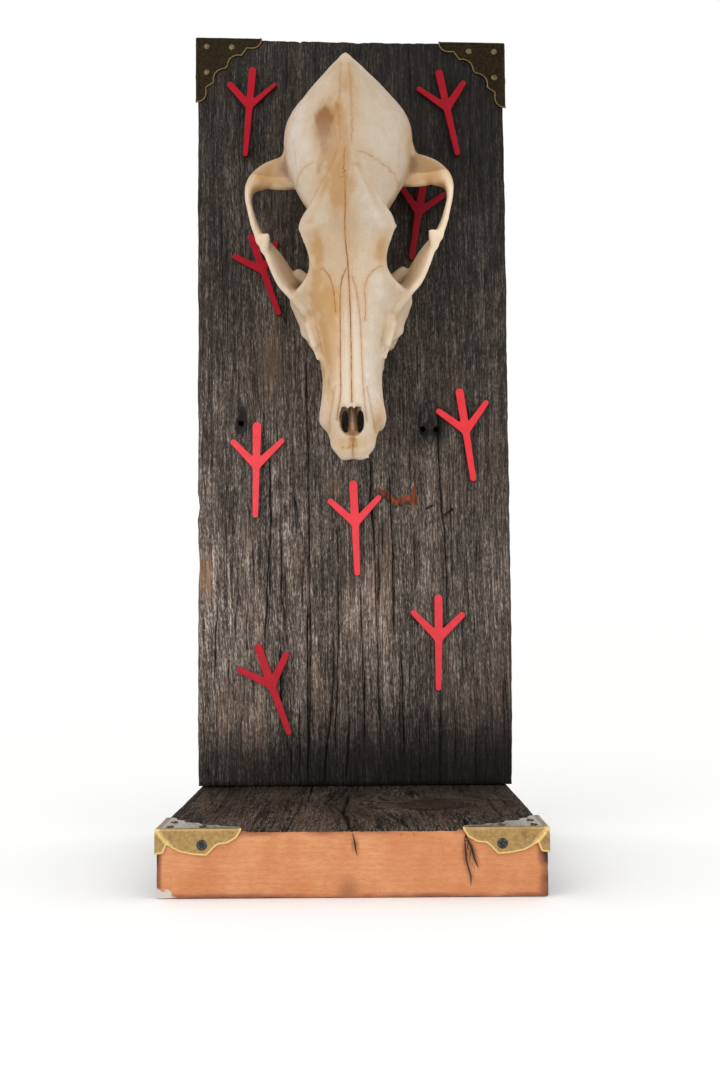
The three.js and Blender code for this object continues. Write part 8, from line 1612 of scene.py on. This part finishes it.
def outline(fn, lo, hi, h):
    """the zero line of a plane field as one closed loop"""
    nx, nz = int((hi[0] - lo[0]) / h) + 2, int((hi[1] - lo[1]) / h) + 2
    xs, zs = lo[0] + h * np.arange(nx), lo[1] + h * np.arange(nz)
    X, Z = np.meshgrid(xs, zs, indexing='ij'); F = fn(X, Z)
    seg = {}
    def pt(i, j, k, l):
        a, b = F[i, j], F[k, l]; t = a / (a - b)
        return (xs[i] + t * (xs[k] - xs[i]), zs[j] + t * (zs[l] - zs[j]))
    pts = {}
    S = F < 0
    act = np.argwhere((S[:-1, :-1] != S[1:, :-1]) | (S[:-1, :-1] != S[:-1, 1:]) | (S[1:, 1:] != S[1:, :-1]) | (S[1:, 1:] != S[:-1, 1:]))
    for i, j in act:
        c = [(i, j), (i + 1, j), (i + 1, j + 1), (i, j + 1)]
        s = [bool(S[q]) for q in c]
        cuts = []
        for k in range(4):
            p, q = c[k], c[(k + 1) % 4]
            if s[k] != s[(k + 1) % 4]:
                key = (min(p, q), max(p, q))
                if key not in pts: pts[key] = pt(*p, *q)
                cuts.append((key, s[k]))
        for k in range(0, len(cuts), 2):
            A, B = cuts[k], cuts[(k + 1) % len(cuts)]
            if A[1]: seg[A[0]] = B[0]
            else: seg[B[0]] = A[0]
    best = []
    left = dict(seg)
    while left:
        st = next(iter(left)); lp = [st]; cur = left.pop(st)
        while cur != st and cur in left:
            lp.append(cur); cur = left.pop(cur)
        if len(lp) > len(best): best = lp
    P = np.array([pts[k] for k in best])
    for _ in range(2):
        P = 0.5 * P + 0.25 * (np.roll(P, 1, 0) + np.roll(P, -1, 0))
    d = np.linalg.norm(np.roll(P, -1, 0) - P, axis=1); c = np.concatenate([[0], np.cumsum(d)])
    return P, c

def resample(P, c, step):
    n = max(24, int(c[-1] / step)); s = np.linspace(0, c[-1], n, endpoint=False)
    Q = np.concatenate([P, P[:1]])
    return np.stack([np.interp(s, c, Q[:, 0]), np.interp(s, c, Q[:, 1])], 1)

def tracks():
    M = Mat("red_paint")
    P = M.vm('SCALE', M.pos(), None, 1000.0)
    tint = M.attr('tint', vec=True); wall = M.attr('wall')
    n1 = M.noise(P, 0.22, 3, 0.6); n2 = M.noise(P, 2.3, 3, 0.65); n3 = M.noise(M.vm('MULTIPLY', P, (1.6, 1.6, 0.4)), 1.0, 3, 0.6)
    c = M.scale(tint, M.rng(M.add(M.mul(n1, 0.5), M.mul(n2, 0.5)), 0.3, 0.7, 0.88, 1.10))
    c = M.mix(M.rng(n2, 0.66, 0.8, 0, 0.35), c, M.scale(tint, 1.5))
    c = M.mix(M.rng(n3, 0.64, 0.78, 0, 0.25), c, M.scale(tint, 0.55))
    c = M.mix(M.rng(M.add(wall, M.mul(M.sub(n3, 0.5), 0.3)), 0.32, 0.75), c, M.mix(n3, lin(34, 18, 15), lin(62, 26, 20)))
    M.set(Base_Color=c, Roughness=M.rng(n2, 0.3, 0.7, 0.55, 0.72), Specular_IOR_Level=0.15)
    M.set(Normal=M.bump(M.add(M.mul(n2, 0.7), M.mul(n3, 0.5)), 0.45, 0.0003))
    for k, T in enumerate(TRACKS):
        pts = np.array([T[i] for i in range(5)]); lo, hi = pts.min(0) - 3.5, pts.max(0) + 3.5
        P0, c0 = outline(lambda X, Z: track_value(T, X, Z), lo, hi, 0.3)
        L = resample(P0, c0, 0.42)
        n = len(L)
        tang = np.roll(L, -1, 0) - np.roll(L, 1, 0); tang /= np.linalg.norm(tang, axis=1)[:, None]
        nrm = np.stack([tang[:, 1], -tang[:, 0]], 1)
        probe = track_value(T, L[:, 0] + nrm[:, 0] * 0.2, L[:, 1] + nrm[:, 1] * 0.2)
        if np.median(probe) < 0: nrm = -nrm
        # keep the loop running the same way round: inside on its left when seen from the front
        area = 0.5 * np.sum(L[:, 0] * np.roll(L[:, 1], -1) - np.roll(L[:, 0], -1) * L[:, 1])
        if area < 0:
            L, nrm = L[::-1].copy(), nrm[::-1].copy()
        yb, yf = 65.9, 63.3
        wv = 0.05 * vnoise(L[:, 0] * 1.3, L[:, 1] * 1.3, k, 301)
        levels = [(yb, -0.10, 1.0), (yb - 0.12, 0.0, 1.0), (yb - 1.2, 0.03, 1.0), (yf + 0.34, 0.0, 0.75), (yf + 0.12, -0.06, 0.3), (yf + 0.02, -0.18, 0.1), (yf, -0.34, 0.0)]
        V, wall = [], []
        for y, off, wl in levels:
            q = L + nrm * (off + wv * (wl > 0.5))[:, None]
            V.append(np.stack([q[:, 0], np.full(n, y), q[:, 1]], 1)); wall.append(np.full(n, wl))
        Fc = []
        for r in range(len(levels) - 1):
            for i in range(n):
                j = (i + 1) % n
                Fc.append((r * n + i, r * n + j, (r + 1) * n + j, (r + 1) * n + i))
        gx, gz = np.meshgrid(np.arange(lo[0], hi[0], 0.85), np.arange(lo[1], hi[1], 0.85)); gx, gz = gx.ravel(), gz.ravel()
        ins = track_value(T, gx, gz) < -0.75
        inner = np.stack([gx[ins], gz[ins]], 1)
        base = n * len(levels)
        top_loop = V[-1][:, [0, 2]]; bot_loop = V[0][:, [0, 2]]
        yy = yf + 0.05 * vnoise(inner[:, 0] * 0.8, inner[:, 1] * 0.8, k, 302)
        V.append(np.stack([inner[:, 0], yy, inner[:, 1]], 1)); wall.append(np.zeros(len(inner)))
        for f in cap_tris(top_loop, inner):
            Fc.append(tuple((len(levels) - 1) * n + i if i < n else base + i - n for i in f))
        for f in cap_tris(bot_loop, np.zeros((0, 2))):
            Fc.append(tuple(f)[::-1])
        V = np.concatenate(V); wall = np.concatenate(wall)
        r_, g_, b_, _ = lin(*TINT_WITH_PAINTED_SHADE[k])
        tt = np.tile(np.array([[r_, g_, b_]]), (len(V), 1)) * TINT_GAIN
        mesh_piece(f"track_{k + 1}_cutout", V, Fc, [M.m], True, {'tint': tt, 'wall': wall}, node=f"track_{k + 1}")
TINT_GAIN = 1.0
tracks()

# ------------------------------------------------------------------ floor, backdrop, light
def stage_scene():
    # a pale floor that curves up into the backdrop
    prof = [(-1.6, 0.0), (0.55, 0.0)]
    for i in range(1, 13):
        a = math.pi / 2 * i / 12
        prof.append((0.55 + 0.5 * math.sin(a), 0.5 - 0.5 * math.cos(a)))
    prof.append((1.05, 2.6))
    V, Fc = [], []
    for y, z in prof:
        V += [(-2200, y * 1000, z * 1000 - 0.05), (2200, y * 1000, z * 1000 - 0.05)]
    for i in range(len(prof) - 1):
        Fc.append((2 * i, 2 * i + 1, 2 * i + 3, 2 * i + 2))
    me = bpy.data.meshes.new("floor")
    me.from_pydata([tuple(c * MM for c in v) for v in V], [], Fc)
    me.polygons.foreach_set("use_smooth", [True] * len(me.polygons))
    M = Mat("floor")
    M.set(Base_Color=lin(254, 254, 253), Roughness=0.8, Specular_IOR_Level=0.2)
    me.materials.append(M.m)
    o = bpy.data.objects.new("floor", me)
    bpy.context.scene.collection.objects.link(o)
    w = bpy.data.worlds.new("world")
    bpy.context.scene.world = w
    w.use_nodes = True
    bg = w.node_tree.nodes['Background']
    bg.inputs[0].default_value = (1.0, 1.0, 1.0, 1)
    bg.inputs[1].default_value = 1.0
    stage_light("key", (-0.42, -0.75, 0.62), (0, 0.03, 0.2), 0.62, 1.35, (1.0, 0.985, 0.965))
    stage_light("fill", (0.62, -0.85, 0.28), (0, 0.03, 0.2), 0.75, 0.7, (0.97, 0.985, 1.0))
    bpy.context.scene.view_settings.view_transform = 'Standard'
stage_scene()
